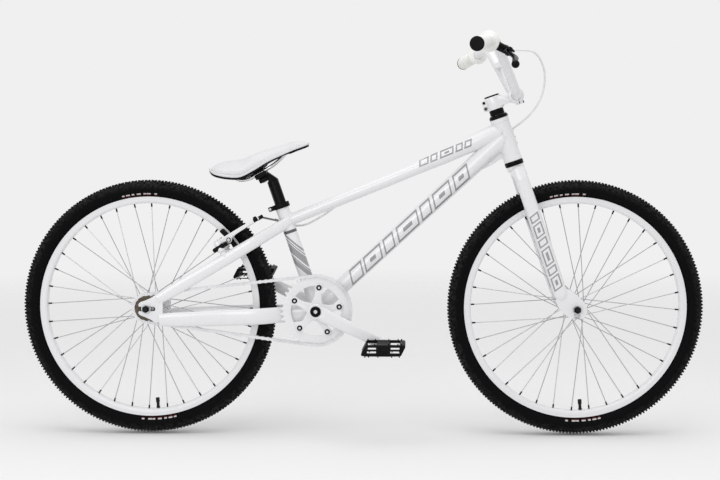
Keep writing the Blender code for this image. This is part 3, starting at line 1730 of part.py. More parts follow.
def spider():
    """The five-armed plate that carries the chainring."""
    spread = 2 * math.pi / 5
    outline = []
    for n in range(5):
        angle = crank_angle + spread * (n + 0.5)
        tip = in_wheel(bracket_at, bolt_circle_radius, angle)
        outline.append(in_wheel(bracket_at, 0.0240, angle - 0.34))
        outline += arc(tip, 0.0085, angle - math.pi / 2, angle + math.pi / 2, 4)
        outline.append(in_wheel(bracket_at, 0.0240, angle + 0.34))
    return plate([outline], -spider_y, spider_thickness)


def make_cranks():
    for side, word in ((-1, "right"), (1, "left")):
        arm = crank_arm(side)
        if side < 0:
            arm = join(arm, spider())
        spindle_bore = rod(
            at(bracket_at, y=side * 0.03),
            at(bracket_at, y=side * 0.10),
            spindle_radius + fit_gap,
            sides=18,
        )
        eye = pedal_at(side)
        axle_bore = rod(
            at(eye, y=-0.02), at(eye, y=0.02), pedal_axle_radius + fit_gap, sides=12
        )
        name_part(cut(arm, spindle_bore, axle_bore), f"crank_arm_{word}", "white_paint")


def make_pedals():
    for side, word in ((-1, "right"), (1, "left")):
        eye = pedal_at(side)
        eye_half = 0.0068
        collar_start = eye_half + fit_gap
        body_start = collar_start + pedal_collar_length + running_gap
        body_end = body_start + pedal_width
        axle = rod(
            at(eye, y=-side * (eye_half - 0.001)),
            at(eye, y=side * (body_end - 0.008)),
            pedal_axle_radius,
            sides=12,
        )
        collar = rod(
            at(eye, y=side * collar_start),
            at(eye, y=side * (collar_start + pedal_collar_length)),
            pedal_collar_radius,
            sides=12,
        )
        name_part(join(axle, collar), f"pedal_axle_{word}", "bright_steel")
        middle = at(eye, y=side * (body_start + pedal_width / 2))
        name_part(pedal_body(middle, side), f"pedal_{word}", "black_plastic")


def pedal_body(middle, side):
    """A platform cage round a barrel that runs on the axle. Its ends lean forward."""
    half_length, half_width, half_height = pedal_length / 2, pedal_width / 2, pedal_height / 2
    edge = 0.0030
    section = [
        (-half_length, edge - half_height),
        (pedal_lean - half_length, half_height),
        (half_length - edge, half_height),
        (half_length, half_height - edge),
        (half_length - pedal_lean, -half_height),
        (edge - half_length, -half_height),
    ]
    rings = [[at(middle, x, end * half_width, z) for x, z in section] for end in (-1, 1)]
    cage = loft(rings)
    barrel = rod(
        at(middle, y=-half_width), at(middle, y=half_width), pedal_barrel_radius, sides=16
    )
    window_length = half_length - pedal_rail - pedal_barrel_radius
    window_middle = (pedal_barrel_radius + half_length - pedal_rail) / 2
    windows = [
        block(
            at(middle, end * window_middle),
            (window_length, pedal_width - 2 * pedal_cheek, 2 * pedal_height),
        )
        for end in (-1, 1)
    ]
    cage = join(cut(cage, *windows), barrel)
    bore = rod(
        at(middle, y=-side * (half_width + 0.01)),
        at(middle, y=side * (half_width - 0.006)),
        pedal_axle_radius + running_gap,
        sides=16,
    )
    return cut(cage, bore)


def make_chainring():
    half = sprocket_thickness / 2
    profile = [
        (ring_disc_radius, half),
        (ring_disc_radius, -half),
        (ring_inner_radius, -half),
        (ring_inner_radius, half),
    ]
    ring = turned(profile, at(bracket_at, y=-chainline), left, ring_teeth, closed=True)
    name_part(ring, "chainring", "white_paint")


def make_freewheel():
    half = sprocket_thickness / 2
    bore = freewheel_thread_radius + fit_gap
    profile = [
        (freewheel_body_radius, -freewheel_inner_face),
        (freewheel_body_radius, -chainline + half),
        (cog_disc_radius, -chainline + half),
        (cog_disc_radius, -chainline - half),
        (freewheel_body_radius, -chainline - half),
        (freewheel_body_radius, -freewheel_outer_face),
        (bore, -freewheel_outer_face),
        (bore, -freewheel_inner_face),
    ]
    wheel = turned(profile, rear_axle_at, left, 20, closed=True)
    name_part(wheel, "freewheel", "black_metal")


def chain_loop(offset):
    """The loop round both sprockets, a distance outside their pitch circles."""
    big, small = ring_pitch_radius + offset, cog_pitch_radius + offset
    between = bracket_at - rear_axle_at
    heading = math.atan2(between.z, between.x)
    spread = math.acos((big - small) / between.length)
    front = arc(bracket_at, big, heading - math.pi + spread, heading + math.pi - spread, 24)
    rear = arc(
        rear_axle_at,
        small,
        heading + math.pi - spread,
        heading + math.pi + spread,
        12,
    )
    return front + rear


def make_chain():
    band = plate(
        [chain_loop(chain_height / 2), chain_loop(-chain_height / 2)], -chainline, chain_width
    )
    name_part(band, "chain", "pale_chain")


# Joint axes

moving_groups = {
    "steering_axis": (
        head_base,
        (
            "fork stem stem_faceplate stem_top_cap headset_spacer handlebar grip_right grip_left"
            " bar_end_plug_right bar_end_plug_left brake_lever_bracket brake_cable_front"
            " front_axle front_axle_nut_right front_axle_nut_left"
        ),
    ),
    "lever_axis": (lever_pivot_at, "brake_lever"),
    "front_wheel_axis": (
        front_axle_at,
        "front_tyre front_rim front_inner_tube front_hub front_spokes_right front_spokes_left",
    ),
    "rear_wheel_axis": (
        rear_axle_at,
        "rear_tyre rear_rim rear_inner_tube rear_hub rear_spokes_right rear_spokes_left",
    ),
    "freewheel_axis": (rear_axle_at, "freewheel"),
    "crank_axis": (
        bracket_at,
        "crank_spindle crank_arm_right crank_arm_left chainring pedal_axle_right pedal_axle_left",
    ),
    "pedal_axis_right": (pedal_at(-1), "pedal_right"),
    "pedal_axis_left": (pedal_at(1), "pedal_left"),
    "brake_axis_right": (brake_pivot(-1), "brake_arm_right brake_pad_right"),
    "brake_axis_left": (brake_pivot(1), "brake_arm_left brake_pad_left brake_noodle"),
}


def hang_on_axes():
    """Give each moving group an empty on its joint's axis as its parent."""
    for name, (place, parts) in moving_groups.items():
        axis = bpy.data.objects.new(name, None)
        axis.empty_display_size = 0.03
        axis.location = place
        bike.objects.link(axis)
        for part in parts.split():
            thing = bpy.data.objects[part]
            thing.data.transform(Matrix.Translation(-place))
            thing.parent = axis


def build():
    clear_scene()
    make_wheels()
    make_frame()
    make_headset()
    make_fork()
    make_stem()
    make_top_cap()
    make_handlebar()
    make_grips()
    make_lever_bracket()
    make_brake_lever()
    make_front_cable()
    make_rear_cable()
    make_seat_clamp()
    make_seat_post()
    make_saddle_clamp()
    make_saddle_clamp_bolt()
    make_saddle()
    make_saddle_rails()
    for side, word in ((-1, "right"), (1, "left")):
        make_brake_arm(side, word)
        make_brake_pad(side, word)
    make_noodle()
    make_bottom_bracket()
    make_spindle()
    make_cranks()
    make_pedals()
    make_chainring()
    make_freewheel()
    make_chain()
    hang_on_axes()


build()
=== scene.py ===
# %% [markdown]
# # A white BMX race cruiser, dressed for its portrait
#
# The solid model of this bicycle is already packed: sixty plain solids that carry the sizes,
# the joints and the places. This notebook puts a finely made surface over each of them. It
# starts by loading that frame. Everything is in metres, +X forward, +Y to the rider's left and
# +Z up, and the side with the chain faces -Y.

# %% Load the packed bicycle
import math

import bmesh
import bpy
from mathutils import Matrix, Vector
from mathutils.bvhtree import BVHTree
from mathutils.geometry import interpolate_bezier


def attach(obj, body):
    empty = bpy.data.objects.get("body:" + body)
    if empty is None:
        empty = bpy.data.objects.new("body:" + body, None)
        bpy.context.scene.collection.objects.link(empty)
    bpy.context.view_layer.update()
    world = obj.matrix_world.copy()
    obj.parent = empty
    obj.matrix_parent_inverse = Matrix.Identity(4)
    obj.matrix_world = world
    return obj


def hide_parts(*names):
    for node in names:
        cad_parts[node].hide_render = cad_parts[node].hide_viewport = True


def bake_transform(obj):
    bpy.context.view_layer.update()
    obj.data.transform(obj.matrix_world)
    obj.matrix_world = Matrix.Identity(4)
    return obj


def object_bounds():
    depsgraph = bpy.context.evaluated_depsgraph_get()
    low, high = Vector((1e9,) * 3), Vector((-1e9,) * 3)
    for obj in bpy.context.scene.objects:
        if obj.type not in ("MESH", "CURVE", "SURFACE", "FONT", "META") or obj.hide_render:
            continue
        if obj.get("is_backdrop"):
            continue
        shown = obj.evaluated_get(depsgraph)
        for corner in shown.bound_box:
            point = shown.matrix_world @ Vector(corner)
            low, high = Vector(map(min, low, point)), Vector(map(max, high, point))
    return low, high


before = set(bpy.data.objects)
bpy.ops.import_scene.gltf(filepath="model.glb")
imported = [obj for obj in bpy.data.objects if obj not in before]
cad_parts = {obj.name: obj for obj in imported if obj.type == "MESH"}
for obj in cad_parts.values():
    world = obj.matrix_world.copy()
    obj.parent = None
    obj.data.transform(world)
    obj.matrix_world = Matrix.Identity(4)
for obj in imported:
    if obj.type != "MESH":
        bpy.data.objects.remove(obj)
cad_low, cad_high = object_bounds()
print("the solids reach from", tuple(round(c, 3) for c in cad_low))
print("to", tuple(round(c, 3) for c in cad_high))

# %% [markdown]
# ## Camera
#
# The photograph was taken from the bicycle's right, about 3.4 metres away, with the lens at
# the height of the handlebar and tipped down by four degrees. A camera looks along its own -Z,
# so its turn comes from the direction it should look in. A small shift moves the picture
# without turning the camera, which keeps the upright lines upright.

# %% Camera
forward, left, up = Vector((1, 0, 0)), Vector((0, 1, 0)), Vector((0, 0, 1))
world_axes = (forward, left, up)
camera_place, yaw, pitch = (0.103, -3.355, 0.674), math.radians(-1.43), math.radians(-4.13)
picture_width, focal_length, picture_shift = 720, 1435, (-10, 10)  # pixels of the photograph


def linked(name, data):
    """A new object in the scene."""
    thing = bpy.data.objects.new(name, data)
    bpy.context.scene.collection.objects.link(thing)
    return thing


def aimed(name, data, place, look):
    """A camera or a lamp that stands at a place and looks along a direction."""
    thing = linked(name, data)
    thing.location = place
    thing.rotation_euler = look.to_track_quat("-Z", "Y").to_euler()
    return thing


lens = bpy.data.cameras.new("portrait_camera")
lens.sensor_width, lens.clip_end = 36, 100
lens.lens = focal_length / picture_width * lens.sensor_width
lens.shift_x, lens.shift_y = (pixels / picture_width for pixels in picture_shift)
level = math.cos(pitch)
look = Vector((math.sin(yaw) * level, math.cos(yaw) * level, math.sin(pitch)))
bpy.context.scene.camera = aimed("portrait_camera", lens, camera_place, look)
print("lens", round(lens.lens, 1), "mm")

# %% [markdown]
# ## The places everything hangs on
#
# A bicycle is laid out from a few points: two axles, the bottom bracket, and the leaning lines
# of the steering and of the seat. The same numbers as in the solids are written once here, and
# each later piece is placed from them. Small outlines are written in millimetres, as on a
# maker's drawing, and `mm` turns them into metres.

# %% Places of the bicycle
wheel_radius = 0.298
front_axle, rear_axle = Vector((0.4985, 0, wheel_radius)), Vector((-0.4985, 0, wheel_radius))
bracket = Vector((-0.105032, 0, 0.293))
lean = math.radians(71)
tube_up = Vector((-math.cos(lean), 0, math.sin(lean)))
tube_ahead = Vector((math.sin(lean), 0, math.cos(lean)))
tube_axes = (tube_ahead, left, tube_up)
crown = front_axle - tube_ahead * 0.026 + tube_up * 0.360
head_length = 0.104
head_base = crown + tube_up * 0.011
head_top = head_base + tube_up * head_length
stem_base = head_top + tube_up * 0.0226
stem_middle = stem_base + tube_up * 0.015
bar_centre = stem_middle + tube_ahead * 0.053
seat_top = bracket + tube_up * 0.262
top_rear, top_front = bracket + tube_up * 0.218, head_base + tube_up * 0.0674
down_front = head_base + tube_up * 0.060
sides = ((-1, "right"), (1, "left"))
print("steering axis", tuple(round(c, 4) for c in tube_up), "head tube", head_length)


# %% Points beside a place, and millimetres
def at(place, x=0.0, y=0.0, z=0.0):
    """A point beside a place."""
    return place + Vector((x, y, z))


def in_wheel(centre, radius, angle, y=0.0):
    """A point in a wheel's plane. The angle is measured from +X towards +Z."""
    return at(centre, radius * math.cos(angle), y, radius * math.sin(angle))


def above_line(run):
    """The direction square to a line in the XZ plane, on its upper side."""
    return Vector((-run.z, 0, run.x))


def mm(*rows):
    """Rows of millimetres as rows of metres."""
    return [tuple(value / 1000 for value in row) for row in rows]


def turns_of(count):
    """The turns of a whole circle, in equal steps."""
    return [2 * math.pi * n / count for n in range(count)]


print("a quarter turn is", round(turns_of(4)[1], 3), "and a bar is", mm((22.2,))[0][0], "m thick")

# %% [markdown]
# ## Node trees written as expressions
#
# A material or a Geometry Nodes tree is a graph, and a graph built call by call is hard to
# read. Two small tools help. `make_node` adds a node of any type with its settings and
# sockets. `Number` wraps a socket so that `1 - mask * 0.3` adds the Math nodes by itself, in
# both kinds of tree.

# %% A node, and a number that is a socket
def feed(tree, node, sockets):
    """Give a node's sockets values, or links from other sockets."""
    for name, value in sockets.items():
        value = getattr(value, "socket", value)
        if isinstance(value, bpy.types.NodeSocket):
            tree.links.new(value, node.inputs[name])
        else:
            node.inputs[name].default_value = value


def make_node(tree, kind, settings=None, sockets=None):
    """Add a node. Its settings are set first, then its sockets get values or links."""
    node = tree.nodes.new(kind)
    for name, value in (settings or {}).items():
        setattr(node, name, value)
    feed(tree, node, sockets or {})
    return node


class Number:
    """A number socket of a node tree, with the sums that a pattern needs."""

    def __init__(self, tree, socket):
        self.tree, self.socket = tree, socket

    def sum(self, operation, *others, clamp=False):
        values = dict(enumerate((self, *others)))
        settings = {"operation": operation, "use_clamp": clamp}
        return Number(self.tree, make_node(self.tree, "ShaderNodeMath", settings, values).outputs[0])

    def __rsub__(self, other):
        return self.sum("MULTIPLY_ADD", -1, other)

    def clamped(self):
        return self.sum("ADD", 0, clamp=True)

    def between(self, low, high):
        return (self > low) * (self < high)

    def step(self, low, high):
        """Rise from 0 to 1 between two values."""
        return ((self - low) / (high - low)).clamped()


def adds_node(operation):
    """The method that adds one Math node."""
    return lambda self, *others: self.sum(operation, *others)


operators = {"add": "ADD", "radd": "ADD", "sub": "SUBTRACT", "mul": "MULTIPLY", "rmul": "MULTIPLY",
             "truediv": "DIVIDE", "abs": "ABSOLUTE", "gt": "GREATER_THAN", "lt": "LESS_THAN"}
for name, operation in operators.items():
    setattr(Number, f"__{name}__", adds_node(operation))
print("sums:", ", ".join(operators))

# %% [markdown]
# A finish is a material whose last node is one Principled shader. What is the same everywhere,
# such as the coat, is set on the shader's own socket. Only what varies over the surface is
# linked. Patterns read Object coordinates, which are metres here because every piece sits at
# the origin. Where several finishes share one of the record's material slots, `slot_of` says
# which.

# %% The finish, its coordinates and its noises
finishes = {}
slot_of = {"frame_paint": "white_paint", "fork_paint": "white_paint", "black_steel": "bright_steel",
           "spoke_steel": "bright_steel", "dull_steel": "black_metal", "worn_steel": "black_metal",
           "pad_rubber": "black_plastic"}


class Finish:
    """A material with one shader, and the handful of patterns that the finishes share."""

    def __init__(self, name, colour, roughness, metallic=0.0, **shader):
        self.material = bpy.data.materials.new(name)
        self.material.use_nodes = True
        self.tree = self.material.node_tree
        self.tree.nodes.clear()
        self.shader = self.node("ShaderNodeBsdfPrincipled")
        self.set(**{"Base Color": (*colour, 1), "Roughness": roughness, "Metallic": metallic})
        self.set(**{name.replace("_", " "): value for name, value in shader.items()})
        self.node("ShaderNodeOutputMaterial", {}, {"Surface": self.shader.outputs[0]})
        self.place = self.node("ShaderNodeTexCoord").outputs["Object"]
        split = self.node("ShaderNodeSeparateXYZ", {}, {0: self.place})
        self.x, self.y, self.z = (Number(self.tree, split.outputs[n]) for n in range(3))
        finishes[name] = self

    def node(self, kind, settings=None, sockets=None):
        return make_node(self.tree, kind, settings, sockets)

    def set(self, **sockets):
        feed(self.tree, self.shader, sockets)

    def noise(self, scale, detail=2.0, stretch=None):
        """Cloudy noise, scale in cells a metre, stretched along an axis if wanted."""
        place = self.place
        if stretch:
            multiplied = self.node("ShaderNodeVectorMath", {"operation": "MULTIPLY"}, {0: place, 1: stretch})
            place = multiplied.outputs[0]
        sockets = {"Vector": place, "Scale": scale, "Detail": detail, "Roughness": 0.5}
        return Number(self.tree, self.node("ShaderNodeTexNoise", {}, sockets).outputs[0])

    def cells(self, scale, feature="F1"):
        """The distance to the nearest of many scattered points."""
        sockets = {"Vector": self.place, "Scale": scale}
        node = self.node("ShaderNodeTexVoronoi", {"feature": feature}, sockets)
        return Number(self.tree, node.outputs["Distance"])

    def along(self, origin, direction):
        """How far a point lies from an origin along a direction."""
        sockets = {0: self.place, 1: tuple(origin)}
        moved = self.node("ShaderNodeVectorMath", {"operation": "SUBTRACT"}, sockets)
        sockets = {0: moved.outputs[0], 1: tuple(direction)}
        dot = self.node("ShaderNodeVectorMath", {"operation": "DOT_PRODUCT"}, sockets)
        return Number(self.tree, dot.outputs["Value"])

    def mixed(self, share, first, second):
        """One colour where the share is 0 and another where it is 1. Each is a socket or a triple."""
        first, second = ((*c, 1) if isinstance(c, tuple) else c for c in (first, second))
        sockets = {"Factor": share, 6: first, 7: second}
        return self.node("ShaderNodeMix", {"data_type": "RGBA"}, sockets).outputs[2]

    def bump(self, height, depth):
        """A relief. Height runs from 0 to 1 and depth is in metres."""
        sockets = {"Height": height, "Distance": depth, "Strength": 1.0}
        self.set(Normal=self.node("ShaderNodeBump", {}, sockets).outputs[0])


print("a finish takes", Finish.__init__.__code__.co_varnames[2:5])

# %% [markdown]
# ## White paint, and the stripes on it
#
# Nearly everything here is glossy white paint under a clear coat. Real paint is never one flat
# colour: it has a faint waviness called orange peel, and it greys a little in a slow, cloudy
# way. The tubes carry a plain design of slanted silver frames. A frame is a mask in two
# measures, along the tube and across it, so it stays crisp from any distance.

# %% White paint
white, shaded_white = (0.79, 0.79, 0.805), (0.765, 0.77, 0.795)
silver_ink, dark_ink = (0.30, 0.30, 0.31), (0.07, 0.07, 0.08)
peel = 0.00003


def painted(name):
    """Glossy white paint under a clear coat. Returns the finish, so that ink can go on it."""
    paint = Finish(name, white, 0.26, Coat_Weight=0.7, Coat_Roughness=0.06)
    clouds = paint.noise(9, 3)
    paint.colour = paint.mixed(clouds.step(0.35, 0.75) * 0.5, white, shaded_white)
    paint.set(**{"Base Color": paint.colour, "Roughness": 0.22 + clouds * 0.10})
    paint.bump(paint.noise(420, 1) * 0.7 + paint.noise(900, 1) * 0.3, peel)
    return paint


def inked(paint, *layers):
    """Lay masks of ink over the paint, each with its colour."""
    for mask, ink in layers:
        paint.colour = paint.mixed(mask, paint.colour, ink)
    paint.set(**{"Base Color": paint.colour})


painted("white_paint")
print("white paint", white)


# %% A mask of slanted frames
def slanted_frames(along, across, shapes, half, line, slant):
    """Hollow frames of a half height and a line's width. A shape is its start, its end and
    half the length of the bar inside it, measured along the tube."""
    mask, run, reach = 0, along - across * slant, abs(across)
    for start, end, bar in shapes:
        outside = run.between(start, end) * (reach < half)
        inside = run.between(start + line, end - line) * (reach < half - line)
        mask = outside - inside + mask
        if bar:
            middle = (start + end) / 2
            mask = run.between(middle - bar, middle + bar) * (reach < half * 0.28) + mask
    return mask.clamped()


down_shapes = mm((108, 146, 0), (152, 206, 9), (214, 246, 0), (256, 322, 14), (330, 362, 0),
                 (370, 424, 9), (434, 480, 8))
top_shapes = mm((338, 362, 0), (366, 384, 0), (390, 424, 6), (429, 447, 0), (451, 469, 0))
leg_shapes = mm((118, 136, 0), (141, 172, 6), (177, 195, 0), (201, 240, 10), (245, 263, 0),
                (268, 300, 6))
print("frames:", len(down_shapes), "down,", len(top_shapes), "top,", len(leg_shapes), "on a leg")

# %% The frame's stripes
frame_paint = painted("frame_paint")
down_run, top_run = (down_front - bracket).normalized(), (top_front - top_rear).normalized()
down_above = above_line(down_run)
along_down = frame_paint.along(bracket, down_run)
across_down = frame_paint.along(bracket, down_above)
down_mask = slanted_frames(along_down, across_down, down_shapes, 0.0162, 0.0042, 0.55)
down_mask = down_mask * (abs(across_down) < 0.0225)

along_top = frame_paint.along(top_rear, top_run)
across_top = frame_paint.along(top_rear, above_line(top_run)) - 0.0095
top_mask = slanted_frames(along_top, across_top, top_shapes, 0.0085, 0.0038, 0.45)

along_seat = frame_paint.along(bracket, tube_up)
across_seat = frame_paint.along(bracket, tube_ahead)
slide = along_seat + across_seat * 1.6
wide_bands, thin_bands = mm((94, 112), (124, 150), (162, 170)), mm((114, 117), (154, 157))
on_seat_tube = (abs(across_seat) < 0.0170) * along_seat.between(0.060, 0.200)
seat_wide = sum(slide.between(*band) for band in wide_bands) * on_seat_tube
seat_thin = sum(slide.between(*band) for band in thin_bands) + along_seat.between(0.189, 0.196)
seat_thin = (seat_thin * on_seat_tube).clamped()
inked(frame_paint, (down_mask, silver_ink), (top_mask, silver_ink),
      (seat_wide.clamped(), silver_ink), (seat_thin, dark_ink))
print("bands on the seat tube:", len(wide_bands), "wide,", len(thin_bands) + 1, "thin")

# %% The fork's stripes
fork_paint = painted("fork_paint")
along_leg = fork_paint.along(crown, -tube_up)
across_leg = fork_paint.along(crown, tube_ahead) - 0.001
leg_mask = slanted_frames(along_leg, across_leg, leg_shapes, 0.0112, 0.0034, -0.35)
inked(fork_paint, (leg_mask, silver_ink))
print("paints:", ", ".join(finishes))

# %% [markdown]
# ## Metals, plastics and rubber
#
# Anodised black is a thin dyed layer on metal, so it keeps a dull metallic gleam. Plastic has
# a fine moulded grain instead. Alloy that was turned on a lathe shows faint rings round its
# axis, and steel wire has scratches along it. Rubber is the least shiny and picks up dust, and
# the tyre's knobs also get a painted highlight.

# %% Metals
def metal(name, colour, roughness, metallic, grain, depth, stretch=None):
    """A metal with fine grain, and a little smudging that changes its gloss."""
    specular = 0.5 if colour[0] > 0.1 else 0.12
    made = Finish(name, colour, roughness, metallic, Specular_IOR_Level=specular)
    smudge, fine = made.noise(28, 3), made.noise(grain, 2, stretch)
    darker = tuple(c * 0.80 for c in colour)
    made.set(**{"Base Color": made.mixed(smudge.step(0.45, 0.8), colour, darker),
                "Roughness": (roughness - 0.07) + smudge * 0.10 + fine * 0.05})
    made.bump(fine, depth)


dyed_black = (0.003, 0.003, 0.0035)
metal("black_metal", dyed_black, 0.34, 0.25, 1500, 0.00002)
metal("black_steel", (0.018, 0.018, 0.020), 0.38, 0.5, 900, 0.00003)
metal("silver", (0.60, 0.61, 0.63), 0.28, 1.0, 260, 0.00003, (1, 14, 1))
metal("bright_steel", (0.66, 0.66, 0.68), 0.20, 1.0, 700, 0.00002)
metal("pale_chain", (0.74, 0.74, 0.76), 0.34, 0.45, 800, 0.00003)
metal("dull_steel", (0.24, 0.235, 0.225), 0.42, 0.8, 900, 0.00003)
metal("worn_steel", (0.115, 0.09, 0.06), 0.50, 0.4, 500, 0.00005)
metal("spoke_steel", (0.46, 0.46, 0.47), 0.30, 1.0, 900, 0.00001)
print("metals:", ", ".join(n for n in finishes if "paint" not in n))


# %% Plastic, grips and cable
def moulded(name, colour, roughness, grain, depth):
    """Moulded plastic or rubber with a fine leathery grain."""
    specular = 0.4 if colour[0] > 0.1 else 0.10
    made = Finish(name, colour, roughness, Specular_IOR_Level=specular)
    pores, clouds = made.cells(grain), made.noise(40, 2)
    lighter = tuple(min(1, c * 1.25 + 0.006) for c in colour)
    made.set(**{"Base Color": made.mixed(clouds.step(0.4, 0.8) * 0.6, colour, lighter),
                "Roughness": (roughness - 0.06) + clouds * 0.12})
    made.bump(pores.step(0.0, 0.6), depth)


moulded("black_plastic", dyed_black, 0.52, 2200, 0.00004)
moulded("pale_grip", (0.84, 0.84, 0.81), 0.50, 1500, 0.00005)
moulded("cable_sheath", (0.80, 0.80, 0.81), 0.42, 1800, 0.00002)
moulded("pad_rubber", (0.007, 0.007, 0.007), 0.75, 1200, 0.00006)
moulded("tube_rubber", (0.016, 0.016, 0.017), 0.66, 900, 0.00005)
print("moulded: black plastic, grips, cable sheath, brake pads, inner tubes")

# %% Tyre rubber, its dust and painted knob highlight, and the dashes beside the rim
tyre = Finish("tyre_rubber", dyed_black, 0.72, Specular_IOR_Level=0.05)
beside_axle = tyre.x - tyre.x.sum("SIGN") * front_axle.x
above_axle = tyre.z - wheel_radius
radius = (beside_axle * beside_axle + above_axle * above_axle).sum("SQRT")
angle = above_axle.sum("ARCTAN2", beside_axle) * (180 / math.pi)
dashes, dash_pitch, long_dash, short_dash = 7, 2.75, 2.0, 1.35  # the last three in degrees
marks = 0
for centre in (95, -85):
    for n in range(dashes):
        start = centre - 9.5 + n * dash_pitch + (0.5 if n % 3 == 1 else 0)
        marks = angle.between(start, start + (long_dash if n % 2 else short_dash)) + marks
band = marks.clamped() * abs(tyre.y).step(0.012, 0.018)
grit = tyre.noise(420, 4)
# The knobs' band turns a lighter, mottled grey: partly dust, partly a painted highlight on the knobs.
dust = tyre.noise(160, 3).step(0.36, 0.66) * radius.step(0.276, 0.290)
wall_rings = (radius * 2600).sum("SINE") * radius.between(0.2615, 0.2800)
rubber = tyre.mixed(dust * 0.8, (0.0035, 0.0035, 0.004), (0.034, 0.034, 0.035))
rubber = tyre.mixed(band * radius.between(0.2643, 0.2672), rubber, (0.62, 0.58, 0.57))
rubber = tyre.mixed(band * radius.between(0.2625, 0.2635), rubber, (0.36, 0.06, 0.05))
tyre.set(**{"Base Color": rubber, "Roughness": 0.62 + grit * 0.2 - band * 0.12})
tyre.bump((grit * 0.7 + wall_rings * 0.3).clamped(), 0.00018)
print("tyre rubber with", 2 * dashes, "plain dashes beside each rim")

# %% Saddle vinyl
vinyl = Finish("saddle_vinyl", (0.78, 0.78, 0.80), 0.42, Sheen_Weight=0.15, Sheen_Roughness=0.4)
crease_cells = 1100
creases = vinyl.cells(crease_cells, "DISTANCE_TO_EDGE").step(0.0, 0.12)
pores, cloud = vinyl.noise(2600, 1), vinyl.noise(14, 3)
shade = vinyl.mixed(cloud.step(0.35, 0.8) * 0.6, (0.73, 0.725, 0.74), (0.67, 0.665, 0.685))
# The grain's crease lines are painted darker and bluer: painted shade in the creases.
shade = vinyl.mixed((1 - creases) * 0.22, shade, (0.62, 0.62, 0.66))
vinyl.set(**{"Base Color": shade, "Roughness": 0.36 + cloud * 0.14})
vinyl.bump(creases * 0.7 + pores * 0.3, 0.00010)
print("vinyl creases", crease_cells, "a metre")

# %% Studio paper
paper = Finish("studio_paper", (0.90, 0.90, 0.90), 0.9)
fades_from, fades_to = 1.2, 4.6
from_middle = (paper.x * paper.x + paper.y * paper.y).sum("SQRT")
paper.set(Roughness=0.85 + paper.noise(60, 3) * 0.1, Alpha=1 - from_middle.step(fades_from, fades_to))
print("finishes:", len(finishes))

# %% [markdown]
# ## A small workshop for shapes
#
# Bicycle parts are made in a few ways: bent tubes, turned rings, forged bars whose section
# changes along their length, and plates cut from sheet. Each way needs rings of points and a
# path for them, so these come first.

# %% Rings and paths
def oval(centre, tall, wide, sides=24, power=1.0):
    """A ring of points round two half axes. A power below 1 squares its corners."""
    points = []
    for turn in turns_of(sides):
        a, b = (math.copysign(abs(v) ** power, v) for v in (math.cos(turn), math.sin(turn)))
        points.append(centre + tall * a + wide * b)
    return points


def across_of(direction):
    """Two unit directions across a line, the first as upright as possible."""
    direction = direction.normalized()
    side = direction.cross(up if abs(direction.z) < 0.95 else forward).normalized()
    return side.cross(direction).normalized(), side


def run_at(line, n):
    """The unit direction of a line at one of its points."""
    return (line[min(n + 1, len(line) - 1)] - line[max(n - 1, 0)]).normalized()


def eased(t):
    """A share that starts and ends slowly."""
    return t * t * (3 - 2 * t)


def length_of(path):
    return sum((b - a).length for a, b in zip(path, path[1:]))


def arc(centre, radius, start, end, steps):
    """Points of an arc in the XZ plane."""
    return [in_wheel(centre, radius, start + (end - start) * n / steps) for n in range(steps + 1)]


def mirrored(path):
    """The same points on the other side of the bicycle, in the opposite order."""
    return [at(p, y=-2 * p.y) for p in path[::-1]]


print("half a circle of 1 m radius is", round(length_of(arc(Vector(), 1, 0, math.pi, 24)), 3), "m")


# %% Curves through knots, and bends between straight runs
def smooth_path(knots, spacing):
    """Points about one spacing apart on a smooth curve through the knots."""
    gaps = [(after - before).length for before, after in zip(knots, knots[1:])]
    slopes = [(knots[1] - knots[0]) / gaps[0]]
    for n in range(1, len(gaps)):
        arriving = (knots[n] - knots[n - 1]) * (gaps[n] / gaps[n - 1])
        leaving = (knots[n + 1] - knots[n]) * (gaps[n - 1] / gaps[n])
        slopes.append((arriving + leaving) / (gaps[n - 1] + gaps[n]))
    slopes.append((knots[-1] - knots[-2]) / gaps[-1])
    found = [knots[0].copy()]
    for n, gap in enumerate(gaps):
        handles = knots[n] + slopes[n] * (gap / 3), knots[n + 1] - slopes[n + 1] * (gap / 3)
        steps = max(1, round(gap / spacing))
        found += interpolate_bezier(knots[n], *handles, knots[n + 1], steps + 1)[1:]
    return found


def rounded(corners, radii, steps=10):
    """Straight runs whose inner corners are rounded."""
    path = [corners[0]]
    for before, corner, after, radius in zip(corners, corners[1:], corners[2:], radii):
        back, on = (before - corner).normalized(), (after - corner).normalized()
        half = back.angle(on) / 2
        centre = corner + (back + on).normalized() * (radius / math.sin(half))
        first = corner + back * (radius / math.tan(half)) - centre
        last = corner + on * (radius / math.tan(half)) - centre
        sweep = first.angle(last)
        for n in range(steps + 1):
            fading, growing = (math.sin(t * sweep) / math.sin(sweep) for t in (1 - n / steps, n / steps))
            path.append(centre + first * fading + last * growing)
    return path + [corners[-1]]


bend = rounded([forward, Vector(), up], (0.5,))
print("a bend of 0.5 m in a right angle leaves", round(length_of(bend), 3), "m of 2 m")

# %% [markdown]
# `Shape` gathers solids in one bmesh. When it's done, its doubles are merged, its faces are
# turned outwards, and edges sharper than a limit stay crisp while the rest are smoothed. A
# plate is a filled 2D curve, because a curve cuts its own holes and eases its own rims.

